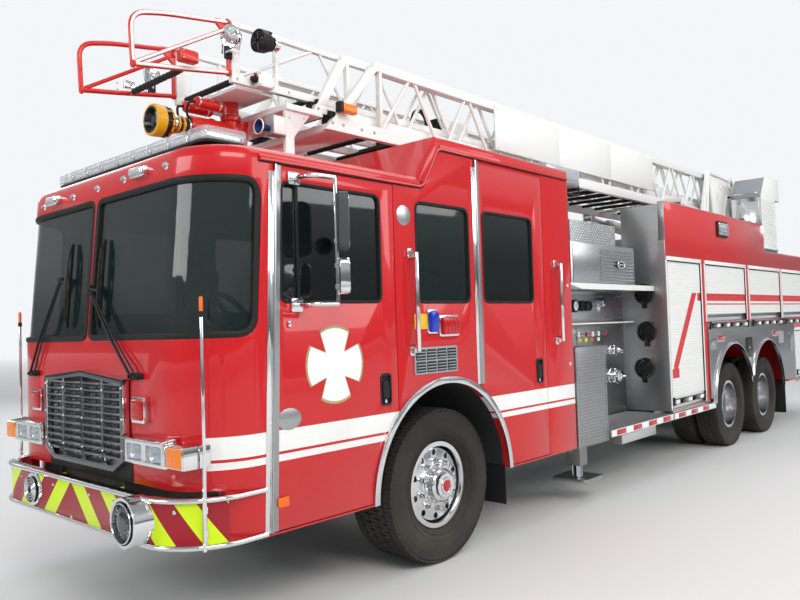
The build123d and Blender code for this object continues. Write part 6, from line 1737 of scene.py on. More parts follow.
dress(tail, tail_finish)
rear_film = finish("rear_chevron_film", (0.62, 0.012, 0.02), 0.35, coat=0.3, tone=0.08,
                   painted=chevrons(BODY_REAR - 0.1, 0.42, 0.1, 0.5))
rear = Piece("rear_face")
for sign in (1, -1):
    rear.box((BODY_REAR - 0.0035, BODY_REAR + 0.001), span(sign, 0.48, 1.240), (0.66, 2.58), rear_film, 0.0)
    for z in (1.03, 1.20, 1.37):
        rear.box((BODY_REAR - 0.036, BODY_REAR - 0.0295), span(sign, 1.022, 1.188), (z - 0.058, z + 0.058),
                 clear_lens, 0.006)
    rear.box((BODY_REAR - 0.026, BODY_REAR), span(sign, 0.995, 1.215), (0.945, 1.455), chrome, 0.006)
    rear.prism(rounded((sign * 1.105 - 0.10, 2.380), (sign * 1.105 + 0.10, 2.500), 0.02), "X", BODY_REAR - 0.045,
               BODY_REAR, black, 0.006)
    rear.prism(rounded((sign * 1.105 - 0.09, 2.390), (sign * 1.105 + 0.09, 2.490), 0.02), "X", BODY_REAR - 0.060,
               BODY_REAR - 0.040,
               red_lens, 0.008)
    rail = [(BODY_REAR + 0.004, sign * 0.90, 1.52), (BODY_REAR - 0.075, sign * 0.90, 1.52),
            (BODY_REAR - 0.075, sign * 0.90, 2.48),
            (BODY_REAR + 0.004, sign * 0.90, 2.48)]
    rear.tube(softened(rail, 0.05), 0.016, chrome, 12)
    for z in (1.52, 2.48):
        rear.turned((BODY_REAR, sign * 0.90, z), (-1, 0, 0), [(0, 0.032), (0.006, 0.030), (0.008, 0.020)], chrome, 20)
    for z in (0.85, 1.20, 1.55, 1.90, 2.25):
        step_y = span(sign, 0.56, 0.80)
        rear.box((BODY_REAR - 0.006, BODY_REAR), step_y, (z - 0.05, z + 0.11), alloy, 0.003)
        rear.box((BODY_REAR - 0.120, BODY_REAR - 0.004), step_y, (z - 0.012, z + 0.006), alloy, 0.004)
        for k in range(6):
            at = step_y[0] + 0.02 + 0.04 * k
            rear.box((BODY_REAR - 0.114, BODY_REAR - 0.012), (at - 0.006, at + 0.006), (z + 0.0055, z + 0.0095),
                     black, 0.001)
rear.box((BODY_REAR - 0.010, BODY_REAR), (-0.465, 0.465), (0.70, 2.52), steel, 0.004)
rear.box((BODY_REAR - 0.022, BODY_REAR - 0.008), (-0.425, 0.425), (0.74, 2.48), steel_level, 0.006)
rear.prism(rounded((-0.06, 1.53), (0.06, 1.67), 0.02), "X", BODY_REAR - 0.028, BODY_REAR - 0.020, black, 0.003)
rear.box((BODY_REAR - 0.046, BODY_REAR - 0.024), (-0.045, 0.045), (1.585, 1.612), chrome, 0.006)
for z in (0.95, 1.60, 2.27):
    rear.rod((BODY_REAR - 0.018, 0.440, z - 0.06), (BODY_REAR - 0.018, 0.440, z + 0.06), 0.011, chrome, 14, 0.003)
diamonds(rear, (BODY_REAR - 0.145, 1.18, 0.6402), (0, -2.36, 0), (0.135, 0, 0), 0.034)
rear.done("chassis", "tread_plate")

# %% Deck and hose bed
deck = Piece("deck_plates")
for sign in (1, -1):
    x0, x1 = AXLE - 9.93, AXLE - 9.26
    diamonds(deck, (x0, -1.15 if sign < 0 else 0.02, 2.6065), (x1 - x0, 0, 0), (0, 1.13, 0), 0.045, size=0.018)
diamonds(deck, (AXLE - 4.14, -1.14, 2.6065), (0.155, 0, 0), (0, 2.28, 0), 0.045, size=0.018)
for k in range(38):
    y = -0.975 + k * 0.0527
    deck.box(from_axle(-6.59, -4.16), (y - 0.020, y + 0.020), (1.9505, 1.966), alloy, 0.0)
for y in (-0.34, 0.34):
    deck.box(from_axle(-6.58, -4.17), (y - 0.008, y + 0.008), (1.964, 2.560), alloy, 0.002)
deck.done("chassis", "tread_plate")

# %% [markdown]
# ## Ladder sections
# Three trusses nest in one another. Each side is a box chord below and above, a raked bar at the front, and
# tubes that zigzag between them; the rungs join the bottom chords. The CAD sides carry the size and the
# clearances; here every member is built as the welded section it is, with ribbed rubber on the rungs.

# %% Truss builder
def truss(piece, half, wall, low, foot, head, high, rear, front_low, front_high, peaks, foot_gap, tube, paint):
    """Both sides of a section; peaks are the X places where two slanting tubes meet the top chord."""
    def front(z):
        return AXLE + front_low + (front_high - front_low) * (z - low) / (high - low)
    bar = 0.068
    for sign in (1, -1):
        outer, inner = sign * half, sign * (half - wall)
        y = sorted((outer, inner))
        piece.prism([(AXLE + rear, low), (front(low), low), (front(foot), foot), (AXLE + rear, foot)], "Y", *y, paint,
                    0.004)
        piece.prism([(AXLE + rear, head), (front(head) - 0.02, head), (front(high), high), (AXLE + rear, high)], "Y",
                    *y, paint,
                    0.007, 3)
        slim = sorted((sign * (half - 0.004), sign * (half - wall + 0.004)))
        if front_low > front_high:
            piece.prism([(front(foot) - bar * 1.25, foot - 0.002), (front(foot), foot - 0.002),
                         (front(head), head + 0.01),
                         (front(head) - bar * 1.25, head + 0.01)], "Y", *y, paint, 0.005)
        else:
            piece.box((front(foot) - 0.042, front(foot)), y, (foot - 0.002, head + 0.004), paint, 0.005)
        middle = sign * (half - wall / 2)
        post_x = min(front(high), front(low)) - 0.055
        piece.box((post_x - 0.017, post_x + 0.017), slim, (foot - 0.002, head + 0.004), paint, 0.004)
        start = post_x - 0.02
        for peak in peaks:
            foot_x = AXLE + peak - foot_gap[1]
            if foot_x < AXLE + rear + 0.05:
                break
            piece.rod((start, middle, foot - 0.004), (AXLE + peak + 0.038, middle, head + 0.008), tube, paint, 12)
            piece.rod((AXLE + peak - 0.038, middle, head + 0.008), (foot_x + foot_gap[0] / 2, middle, foot - 0.004),
                      tube, paint, 12)
            start = foot_x - foot_gap[0] / 2
        piece.box((AXLE + rear, AXLE + rear + 0.05), slim, (foot - 0.002, head + 0.004), paint, 0.004)


SLEEVE_RIBS = 12


def rungs(piece, half, wall, z, places, sleeve=0.021):
    """Rungs between the chords, each in a ribbed rubber sleeve."""
    unit, inner = Piece("rung"), half - wall
    unit.rod((0, -inner - 0.01, 0), (0, inner + 0.01, 0), 0.0165, white, 10)
    profile = []
    for k in range(SLEEVE_RIBS):
        y = -inner + 0.05 + (2 * inner - 0.10) * k / (SLEEVE_RIBS - 1)
        profile += [(y, sleeve), (y + 0.010, sleeve), (y + 0.013, sleeve - 0.002)]
    sleeves = Piece("sleeve")
    sleeves.turned((0, 0, 0), (0, 1, 0), profile, rubber, 12)
    step = (places[1] - places[0], 0, 0)
    for source, shade in ((unit, white), (sleeves, rubber)):
        made = repeated(source, shade, len(places), step=step)
        piece.mesh_in(made, shade, Matrix.Translation((AXLE + places[0], 0, z)))


def spaced(first, step, last):
    """Places from first, going back by a step, as far as last."""
    return [first - step * k for k in range(int((first - last) / step) + 1)]


def bolts(piece, places, out, shade, radius=0.009):
    """Hexagonal bolt heads on washers."""
    for place in places:
        piece.turned(place, out, [(0, radius * 1.5), (0.002, radius * 1.5), (0.0025, radius * 1.1)], shade, 16)
        piece.turned(place, out, [(0, radius), (0.007, radius), (0.0085, radius * 0.7)], shade, 6)


# %% Base section
PIVOT_AT, LIFT_Y = (AXLE - 8.175, 3.769), 0.664
base = Piece("ladder_base_dressed")
truss(base, 0.525, 0.055, 3.180, 3.288, 3.745, 3.825, -7.35, 0.398, -0.164, spaced(-0.620, 0.777, -7.2), (0.14, 0.39),
      0.0165, white)
rungs(base, 0.525, 0.055, 3.255, spaced(0.110, 0.356, -7.2))
for sign in (1, -1):
    y = span(sign, 0.5215, 0.537)
    base.prism([(AXLE - 7.35, 3.243), (AXLE - 7.35, 3.825), (AXLE - 8.115, 3.864), (AXLE - 8.285, 3.839),
                (AXLE - 8.285, 3.679),
                (AXLE - 8.115, 3.589), (AXLE - 7.89, 3.243)], "Y", *span(sign, 0.471, 0.537), white, 0.006)
    base.box(from_axle(-5.390, -1.790), y, (3.354, 3.786), white, 0.004)
    for x0, x1 in ((-2.985, -1.795), (-4.185, -2.990), (-5.385, -4.190)):
        base.box((AXLE + x0, AXLE + x1), span(sign, 0.536, 0.5385), (3.359, 3.781), white, 0.001)
    bolts(base, [(AXLE + x, sign * 0.5385, z) for x in (-1.83, -2.40, -2.95, -3.02, -3.6, -4.15, -4.22, -4.8, -5.35)
                 for z in (3.375, 3.765)], (0, sign, 0), white, 0.006)
    # Brackets between the sign and the chord, and pads at the section's end
    for x in (-1.9, -2.7, -3.5, -4.3, -5.1):
        base.box((AXLE + x - 0.03, AXLE + x + 0.03), span(sign, 0.505, 0.524), (3.285, 3.36), grey_paint, 0.003)
    base.box(from_axle(0.18, 0.33), span(sign, 0.400, 0.4717), (3.248, 3.3155), black, 0.004)
    base.box(from_axle(0.285, 0.345), span(sign, 0.480, 0.515), (3.286, 3.330), rubber, 0.006)
    bolts(base, [(AXLE + x, sign * 0.525, 3.235) for x in (0.33, 0.22, 0.02, -0.12)], (0, sign, 0), steel, 0.010)
    bolts(base, [(a, sign * 0.537, b) for a, b in circle(6, 0.085, 0.075, PIVOT_AT)],
          (0, sign, 0), steel, 0.010)
    # Lift cylinder ears under the chord
    for offset in (-1, 1):
        centre = sign * LIFT_Y + offset * 0.066
        base.prism([(AXLE - 5.915, 3.238), (AXLE - 5.898, 3.130), (AXLE - 5.855, 3.118), (AXLE - 5.812, 3.130),
                    (AXLE - 5.795, 3.238)],
                   "Y", centre - 0.009, centre + 0.009, white, 0.003)
    base.box(from_axle(-5.915, -5.795), span(sign, 0.52, 0.739), (3.2327, 3.2927), white, 0.004)
    base.rod((AXLE - 5.855, sign * 0.598, 3.180), (AXLE - 5.855, sign * 0.742, 3.180), 0.030, steel, 20, 0.003)
base.box(from_axle(-5.915, -5.795), (-0.53, 0.53), (3.2327, 3.2427), white, 0.002)
# End plates that face forward, with a hatch of cable sheaves behind
base.box(from_axle(0.335, 0.350), (-0.475, 0.475), (3.185, 3.240), white, 0.004)
base.box(from_axle(0.02, 0.34), (-0.475, 0.475), (3.181, 3.187), white, 0.002)
for y in (-0.28, 0.28):
    base.turned((AXLE + 0.29, y - 0.016, 3.228), (0, 1, 0), [(0, 0.034), (0.006, 0.038), (0.016, 0.026),
                                                             (0.026, 0.038), (0.032, 0.034)],
                steel, 24)
# Amber lamp in a black mount at the front of each side
for sign in (1, -1):
    base.box(from_axle(0.262, 0.300), span(sign, 0.527, 0.585), (3.320, 3.400), black, 0.006)
    base.box(from_axle(0.120, 0.264), span(sign, 0.530, 0.588), (3.322, 3.392), amber, 0.012, 3)
    for k in range(6):
        base.box((AXLE + 0.130 + 0.022 * k, AXLE + 0.143 + 0.022 * k), span(sign, 0.586, 0.5905), (3.330, 3.384),
                 amber, 0.002)
base.done("ladder_base_body", slot_of["ladder_base"], ("ladder_base",))

# %% Middle section
mid = Piece("ladder_mid_dressed")
truss(mid, 0.445, 0.048, 3.316, 3.382, 3.764, 3.830, -7.80, 0.450, 0.126, spaced(-0.250, 0.700, -7.7), (0.12, 0.35),
      0.0155, white)
rungs(mid, 0.445, 0.048, 3.346, spaced(0.245, 0.356, -7.7), 0.020)
for sign in (1, -1):
    mid.box(from_axle(0.290, 0.430), span(sign, 0.335, 0.3975), (3.321, 3.4097), black, 0.004)
    mid.box(from_axle(0.345, 0.405), span(sign, 0.402, 0.438), (3.380, 3.425), rubber, 0.006)
    bolts(mid, [(AXLE + x, sign * 0.445, 3.349) for x in (0.40, 0.30, 0.16)], (0, sign, 0), steel, 0.008)
mid.box(from_axle(0.405, 0.417), (-0.40, 0.40), (3.318, 3.380), white, 0.003)
for y in (-0.20, 0.20):
    mid.turned((AXLE + 0.36, y - 0.014, 3.350), (0, 1, 0), [(0, 0.028), (0.005, 0.031), (0.014, 0.022),
                                                            (0.023, 0.031), (0.028, 0.028)],
               steel, 24)
mid.done("ladder_mid_body", slot_of["ladder_mid"], ("ladder_mid",))

# %% Fly section, tip guard
fly = Piece("ladder_fly_dressed")
truss(fly, 0.375, 0.042, 3.410, 3.470, 3.803, 3.842, -7.60, 1.122, 1.122, spaced(0.335, 0.640, -7.5), (0.08, 0.32),
      0.0135, white)
rungs(fly, 0.375, 0.042, 3.441, spaced(1.070, 0.345, -7.5), 0.023)
for sign in (1, -1):
    fly.box(from_axle(0.712, 0.742), span(sign, 0.338, 0.371), (3.468, 3.806), white, 0.004)
    bolts(fly, [(AXLE + x, sign * 0.375, 3.440) for x in (1.08, 0.95, 0.62)], (0, sign, 0), steel, 0.008)
    # Ribbed black boot and its white case on the ladder's side
    for k in range(7):
        fly.box((AXLE - 1.165 - 0.016 * k, AXLE - 1.154 - 0.016 * k), span(sign, 0.2, 0.335), (3.480, 3.585), rubber,
                0.003)
    fly.box(from_axle(-1.62, -1.27), span(sign, 0.2, 0.338), (3.475, 3.600), white, 0.008)
    boot = [(AXLE - 0.88, sign * 0.27, 3.475), (AXLE - 0.90, sign * 0.27, 3.600), (AXLE - 0.99, sign * 0.27, 3.645),
            (AXLE - 1.07, sign * 0.27, 3.590), (AXLE - 1.09, sign * 0.27, 3.475)]
    fly.tube(softened(boot, 0.08), 0.020, rubber, 12)
fly.done("ladder_fly_body", slot_of["ladder_fly"], ("ladder_fly",))
ends = Piece("tip_guard_dressed")
GUARD_Y = 0.354
for sign in (1, -1):
    y = sign * GUARD_Y
    bow = [(1.139, 3.825), (1.640, 3.748), (1.858, 3.690), (1.848, 3.420), (1.845, 3.370), (1.795, 3.377),
           (1.549, 3.411), (1.139, 3.474)]
    ends.tube(softened([(AXLE + x, y, z) for x, z in bow], 0.14, 8), 0.017, tip_red, 14)
    ends.tube([(AXLE + 1.842, y, 3.376), (AXLE + 1.139, y, 3.782)], 0.014, tip_red, 12)
    # White strips along the outer face of both bows and their braces. They copy the pale sunlit face of the near bow,
    # so they are partly reflective tape and partly painted highlight.
    ends.tube(softened([(AXLE + x, y + sign * 0.0065, z) for x, z in bow], 0.14, 8), 0.0125, dial_white, 10)
    ends.tube([(AXLE + 1.842, y + sign * 0.005, 3.376), (AXLE + 1.139, y + sign * 0.005, 3.782)], 0.0108, dial_white,
              10)
    ends.tube([(AXLE + 1.139, y, 3.455), (AXLE + 1.139, y, 3.834)], 0.014, tip_red, 12)
ends.rod((AXLE + 1.490, -0.345, 3.420), (AXLE + 1.490, 0.345, 3.420), 0.014, tip_red, 12)
sleeve = [(-0.30, 0.020)] + [(-0.29 + 0.0505 * k + a, 0.0225 - b) for k in range(12) for a,
                             b in ((0, 0), (0.012, 0), (0.016, 0.003))]
ends.turned((AXLE + 1.490, 0, 3.420), (0, 1, 0), sleeve + [(0.325, 0.020)], rubber, 14)
for sign in (1, -1):
    for x, z in ((1.139, 3.826), (1.139, 3.474), (1.139, 3.782), (1.845, 3.370)):
        ends.turned((AXLE + x - 0.012, sign * GUARD_Y, z), (1, 0, 0.0), [(0, 0.022), (0.004, 0.026), (0.018, 0.026),
                                                                       (0.022, 0.020)], tip_red, 16)
    ends.prism([(AXLE + 1.130, 3.84), (AXLE + 1.130, 3.70), (AXLE + 1.23, 3.79), (AXLE + 1.24, 3.83)], "Y",
               *span(sign, 0.345, 0.363), tip_red, 0.004)
    # Red box by the guard, on the near side only
    if sign > 0:
        ends.box(from_axle(1.425, 1.553), (0.372, 0.440), (3.447, 3.523), tip_red, 0.007)
        ends.box(from_axle(1.430, 1.548), (0.439, 0.443), (3.452, 3.518), tip_red, 0.002)
    bolts(ends, [(AXLE + x, sign * 0.443, z) for x in (1.44, 1.538) for z in (3.462, 3.508)], (0, sign, 0), steel,
          0.004)
    ends.box(from_axle(1.45, 1.53), span(sign, 0.352, 0.375), (3.455, 3.515), chrome, 0.003)
ends.done("ladder_fly_body", slot_of["tip_guard"], ("tip_guard",))

# %% [markdown]
# ## Fittings at the tip
# A remote monitor hangs under the tip, spot lamps and a round speaker sit on the rails, and boxes with plugs
# stand on the near side. Nearly all of them are turned forms, each a profile swung about its own axis.

# %% Monitor, lamps, speaker, boxes
MONITOR_Z = 3.150
nozzle_yellow = finish("nozzle_yellow", (0.72, 0.36, 0.01), 0.38, coat=0.3, tone=0.15, tone_scale=8)
tip = Piece("tip_fittings_dressed")
spot = Vector((AXLE, 0, MONITOR_Z))
ahead_x = Vector((1, 0, 0))
tip.box(from_axle(0.74, 1.06), (-0.336, 0.336), (3.386, 3.409), white, 0.005)
tip.turned(spot + ahead_x * 0.88, (0, 0, 1), [(-0.095, 0.030), (-0.090, 0.058), (0.02, 0.066), (0.10, 0.062),
                                              (0.24, 0.062)], tip_red, 32)
tip.turned(spot + ahead_x * 0.86, ahead_x, [(-0.02, 0.0), (-0.02, 0.060), (0.0, 0.078), (0.10, 0.084), (0.37, 0.084),
                                            (0.385, 0.078),
                                            (0.386, 0.0)], tip_red, 36)
tip.turned(spot + ahead_x * 1.245, ahead_x, [(0, 0.066), (0.012, 0.064), (0.030, 0.055), (0.115, 0.055),
                                             (0.125, 0.070), (0.150, 0.072),
                                            (0.151, 0.0)], gloss_black, 36)
tip.box(from_axle(0.815, 0.945), (0.376, 0.443), (3.405, 3.508), white, 0.006)
tip.box(from_axle(0.708, 0.812), (-0.435, -0.376), (3.440, 3.560), white, 0.006)
tip.prism([(AXLE + a, b) for a, b in ((0.968, 3.452), (1.058, 3.452), (1.058, 3.682), (0.968, 3.682))], "Y", -0.392,
          -0.376, white, 0.004)
tip.box(from_axle(0.870, 0.930), (0.372, 0.470), (3.790, 3.806), black, 0.004)
tip.box(from_axle(0.884, 0.916), (0.440, 0.470), (3.700, 3.795), black, 0.004)
tip.turned(spot + ahead_x * 1.395, ahead_x, [(0, 0.095), (0.010, 0.1005), (0.100, 0.1035), (0.128, 0.101),
                                             (0.138, 0.094), (0.142, 0.080),
                                             (0.128, 0.074), (0.100, 0.060), (0.096, 0.034), (0.118, 0.030),
                                             (0.120, 0.0)], gloss_black, 40)
tip.turned(spot + ahead_x * 1.455, ahead_x, [(0, 0.100), (0.004, 0.109), (0.052, 0.112), (0.074, 0.108),
                                             (0.080, 0.098), (0.076, 0.088), (0.010, 0.088)], nozzle_yellow,
           40, ring=True)
for along, radius in ((1.400, 0.100), (1.330, 0.060), (1.290, 0.060)):
    tip.turned(spot + ahead_x * along, ahead_x, [(0, radius), (0.003, radius + 0.0045), (0.016, radius + 0.0045),
                                                 (0.019, radius)], nozzle_yellow, 36)
for k in range(14):
    turn_at = tau * k / 14
    at = spot + Vector((1.445, 0.1025 * cos(turn_at), 0.1025 * sin(turn_at)))
    tip.rod(at - ahead_x * 0.035, at + ahead_x * 0.010, 0.0055, gloss_black, 8, 0.002)
for x, radius in ((1.255, 0.060), (1.375, 0.072), (1.060, 0.086)):
    tip.turned(spot + ahead_x * (x - 0.010), ahead_x, [(0, radius), (0.003, radius + 0.006), (0.017, radius + 0.006),
                                                       (0.020, radius)],
               chrome if x > 1.2 else tip_red, 32)
tip.turned(spot + Vector((0.80, 0, 0)), (0, 0, 1), [(-0.080, 0.030), (-0.076, 0.052), (-0.010, 0.060), (0.075, 0.060),
                                                    (0.080, 0.066),
                                                   (0.105, 0.066), (0.110, 0.050)], tip_red, 28)
tip.turned(spot + Vector((0.88, 0, 0.09)), (0, 0, 1), [(0, 0.070), (0.012, 0.078), (0.036, 0.078), (0.048, 0.066)],
           tip_red, 32)
bolts(tip, [spot + Vector((a, b, 0.137)) for a, b in circle(8, 0.072, middle=(0.88, 0.0))], (0, 0, 1), steel, 0.006)
for sign in (1, -1):
    at = Vector((AXLE + 1.010, sign * 0.075, 3.3177))
    tip.turned(at, ahead_x, [(-0.018, 0.020), (-0.014, 0.030), (0.0, 0.040), (0.205, 0.040), (0.214, 0.034),
                             (0.222, 0.018), (0.223, 0)],
               tip_red, 24)
    for x in (0.02, 0.19):
        tip.turned(at + ahead_x * x, ahead_x, [(0, 0.040), (0.002, 0.0425), (0.010, 0.0425), (0.012, 0.040)], chrome,
                   24)
    tip.tube(softened([at + Vector((0.22, 0, 0)), at + Vector((0.27, 0, -0.01)),
                       at + Vector((0.28, -sign * 0.02, -0.09)),
                       spot + Vector((1.24, sign * 0.04, 0.03))], 0.04), 0.009, rubber, 8)
# Speaker: a shallow cone in a deep rim, a bright cup behind it and a bracket to the rail
centre = Vector((AXLE + 0.955, 0.4553, 3.720))
tip.turned(centre, ahead_x, [(-0.094, 0.060), (-0.060, 0.076), (-0.004, 0.082), (0.006, 0.080), (0.008, 0.072),
                             (-0.010, 0.066),
                             (-0.020, 0.040), (-0.012, 0.026), (-0.006, 0.012), (-0.004, 0)], black, 40)
for ring in (0.030, 0.046, 0.060):
    tip.tube([centre + Vector((0.002, a, b)) for a, b in circle(36, ring)], 0.003, gloss_black, 6, closed=True)
for k in range(12):
    turn_at = tau * k / 12
    out = Vector((0, cos(turn_at), sin(turn_at)))
    tip.rod(centre + out * 0.014 + ahead_x * 0.002, centre + out * 0.076 + ahead_x * 0.003, 0.0022, gloss_black, 6)
tip.turned(centre - ahead_x * 0.155, ahead_x, [(-0.028, 0.016), (-0.026, 0.034), (-0.006, 0.050), (0.030, 0.0535),
                                               (0.034, 0.050)], chrome, 32)
tip.box(from_axle(0.835, 0.880), (0.374, 0.470), (3.790, 3.806), black, 0.004)
# Spot lamps: a deep bright bowl with a clear face, on a yoke
for x, y, z, aim in ((1.144, 0.395, 3.715, (1, 0.28, -0.22)), (1.312, -0.395, 3.589, (1, -0.2, -0.3))):
    aim = Vector(aim).normalized()
    at = Vector((AXLE + x, y, z))
    tip.turned(at - aim * 0.070, aim, [(-0.018, 0.012), (-0.014, 0.026), (0.0, 0.044), (0.030, 0.066), (0.060, 0.076),
                                       (0.078, 0.079),
                                       (0.082, 0.076), (0.080, 0.070)], chrome, 36)
    tip.turned(at + aim * 0.002, aim, [(0, 0.071), (0.006, 0.069), (0.012, 0.050), (0.014, 0)], clear_lens, 36)
    tip.turned(at - aim * 0.005, aim, [(0, 0.069), (0.003, 0.069)], lamp_silver, 36)
    a, b = frame_along(aim)
    for u, v in circle(5, 0.045):
        tip.turned(at + aim * 0.003 + a * u + b * v, aim, [(0, 0.018), (0.006, 0.016), (0.009, 0.008), (0.0095, 0)],
                   lamp_silver, 16)
    sign = 1 if y > 0 else -1
    for across in (-0.082, 0.082):
        a, b = frame_along(aim)
        tip.rod(at + a * across - aim * 0.02, at + a * across * 0.9 - Vector((0, 0, 0.105)), 0.006, chrome, 10)
    tip.box((at.x - 0.03, at.x + 0.03), span(sign, 0.372, 0.455), (z - 0.122, z - 0.104), chrome, 0.004)
    tip.box((at.x - 0.028, at.x + 0.028), span(sign, 0.352, 0.378), (z - 0.150, z - 0.06), black, 0.004)
# Boxes with lids and plugs under the near chord
tip.box(from_axle(0.812, 0.948), (0.442, 0.4465), (3.407, 3.508), white, 0.004)
bolts(tip, [(AXLE + x, 0.4465, z) for x in (0.824, 0.936) for z in (3.418, 3.496)], (0, 1, 0), steel, 0.0045)
tip.turned((AXLE + 0.946, 0.412, 3.455), (1, 0, 0), [(0, 0.026), (0.018, 0.026), (0.022, 0.020), (0.040, 0.018),
                                                     (0.042, 0)], black, 20)
tip.turned((AXLE + 0.946, 0.412, 3.490), (1, 0, 0), [(0, 0.012), (0.012, 0.012), (0.016, 0.008), (0.017, 0)],
           red_lens, 16)
tip.box(from_axle(0.704, 0.816), (-0.4375, -0.4345), (3.445, 3.555), white, 0.003)
tip.done("ladder_fly_body", slot_of["tip_fittings"], ("tip_fittings",))

# %% Cradle, cabinet and horn
cradle = eased("ladder_cradle", "chassis", white, 0.003)
dress(cradle, lambda centre, facing: rubber if facing.z > 0.9 and centre.z > 3.31 else None)
stand = Piece("cradle_fittings")
for sign in (1, -1):
    stand.box(from_axle(0.42, 0.72), span(sign, 0.405, 0.470), (3.300, 3.3155), rubber, 0.002)
    bolts(stand, [(AXLE + x, sign * 0.470, z) for x, z in ((0.70, 2.80), (0.70, 2.95), (0.70, 3.22), (0.56, 3.24))],
          (0, sign, 0), steel, 0.009)
    bolts(stand, [(AXLE + 0.70, sign * y, 2.7565) for y in (0.15, 0.30, 0.45)], (0, 0, 1), steel, 0.008)
stand.box(from_axle(0.742, 0.860), (0.385, 0.480), (3.072, 3.214), grey_paint, 0.006)
stand.box(from_axle(0.748, 0.854), (0.479, 0.4835), (3.080, 3.206), white, 0.003)
stand.box(from_axle(0.735, 0.745), (0.40, 0.465), (3.09, 3.20), steel, 0.002)
stand.turned((AXLE + 0.858, 0.432, 3.118), (1, 0, 0), [(0, 0.020), (0.030, 0.022), (0.060, 0.034), (0.086, 0.052),
                                                       (0.094, 0.055), (0.096, 0.050),
                                                      (0.070, 0.030), (0.050, 0.010), (0.049, 0)], cable_blue, 28)
stand.turned((AXLE + 0.944, 0.432, 3.118), (1, 0, 0), [(0, 0.0535), (0.006, 0.057), (0.012, 0.0535), (0.008, 0.048)],
             dial_white, 28, ring=True)
stand.done("chassis", "grey_plastic")

# %% [markdown]
# ## Turntable
# The deck turns on a bearing ring. Two plates with lightening holes carry the ladder's pivot, braced by
# white frames in front of grey infill panels, and the operator's console stands on the near side. Each hole is a
# white rim round a black disc, painted shade for the dark seen through it.

# %% Turntable, console and cylinders
ring_piece = Piece("turntable_ring_dressed")
ring_piece.turned((AXLE - 8.0, 0, 2.606), (0, 0, 1), [(0, 0.520), (0.0085, 0.520), (0.0095, 0.505), (0.019, 0.505),
                                                      (0.020, 0.515), (0.0287, 0.515)],
                  steel, 72)
ring_piece.done("chassis", slot_of["turntable_ring"], ("turntable_ring",))


def table_finish(centre, facing):
    """Tread plate deck, grey inner faces and white outside."""
    if centre.z < 2.667:
        return tread
    if abs(centre.y) < 0.56 + 0.002 and abs(facing.y) > 0.5:
        return grey_paint
    return steel if abs(centre.y) > 0.585 and centre.z > 3.70 and abs(centre.x - PIVOT_AT[0]) < 0.05 else None


table = eased("turntable", "turntable_body", white, 0.003)
dress(table, table_finish)
stage = Piece("turntable_fittings")
DECK_Z = 2.665
for sign in (1, -1):
    y = sign * 0.584
    frame_edge = [(-6.905, 2.665), (-6.965, 3.300), (-7.205, 3.862), (-8.316, 3.827), (-8.577, 3.289),
                  (-8.755, 2.665)]
    for (x0, z0), (x1, z1) in zip(frame_edge, frame_edge[1:]):
        edge = Vector((x1 - x0, 0, z1 - z0)).normalized()
        inward = Vector((edge.z, 0, -edge.x)) * -0.028
        if (Vector((-7.8, 0, 3.3)) - Vector((x0, 0, z0))).dot(inward) < 0:
            inward = -inward
        a, b = Vector((AXLE + x0, 0, z0)) + inward, Vector((AXLE + x1, 0, z1)) + inward
        stage.tube([(a.x, y + sign * 0.010, a.z), (b.x, y + sign * 0.010, b.z)], 0.020, white, 12)
    for (x0, z0), (x1, z1) in (((-7.22, 3.83), (-7.02, 2.70)), ((-7.24, 3.83), (-7.46, 2.70)),
                               ((-7.55, 2.70), (-7.98, 3.56)),
                               ((-8.05, 3.56), (-8.45, 2.72))):
        stage.tube([(AXLE + x0, y + sign * 0.012, z0), (AXLE + x1, y + sign * 0.012, z1)], 0.022, white, 12)
    stage.prism([(AXLE + a, b) for a, b in ((-7.30, 3.72), (-7.10, 3.10), (-7.42, 3.10))], "Y",
                *span(sign, 0, 0.006, y), grey_paint, 0.002)
    # Lightening holes: a white rim round a black disc, painted shade standing in for the dark seen through each hole
    for x, z, r in ((-7.75, 3.70, 0.045), (-7.60, 3.50, 0.055), (-8.25, 3.62, 0.045), (-8.36, 3.30, 0.055),
                    (-7.90, 3.72, 0.035)):
        stage.turned((AXLE + x, y + sign * 0.001, z), (0, sign, 0), [(0, r + 0.008), (0.006, r + 0.008), (0.007, r),
                                                                     (0.002, r - 0.001)], white, 28)
        stage.turned((AXLE + x, y, z), (0, sign, 0), [(0, r), (0.0025, r)], black, 28)
    stage.turned((PIVOT_AT[0], y, PIVOT_AT[1]), (0, sign, 0), [(0, 0.105), (0.010, 0.105), (0.014, 0.098),
                                                               (0.020, 0.070), (0.022, 0.060)], white, 36)
    stage.turned((PIVOT_AT[0], y + sign * 0.016, PIVOT_AT[1]), (0, sign, 0), [(0, 0.050), (0.014, 0.050),
                                                                              (0.018, 0.040), (0.019, 0)], steel, 28)
    bolts(stage, [(a, y + sign * 0.013, b) for a, b in circle(8, 0.085, middle=PIVOT_AT)],
          (0, sign, 0), steel, 0.008)
    for x in (-8.22, -7.98):
        for offset in (-0.088, 0.088):
            bolts(stage, [(AXLE + x, sign * LIFT_Y + offset, DECK_Z)], (0, 0, 1), steel, 0.010)
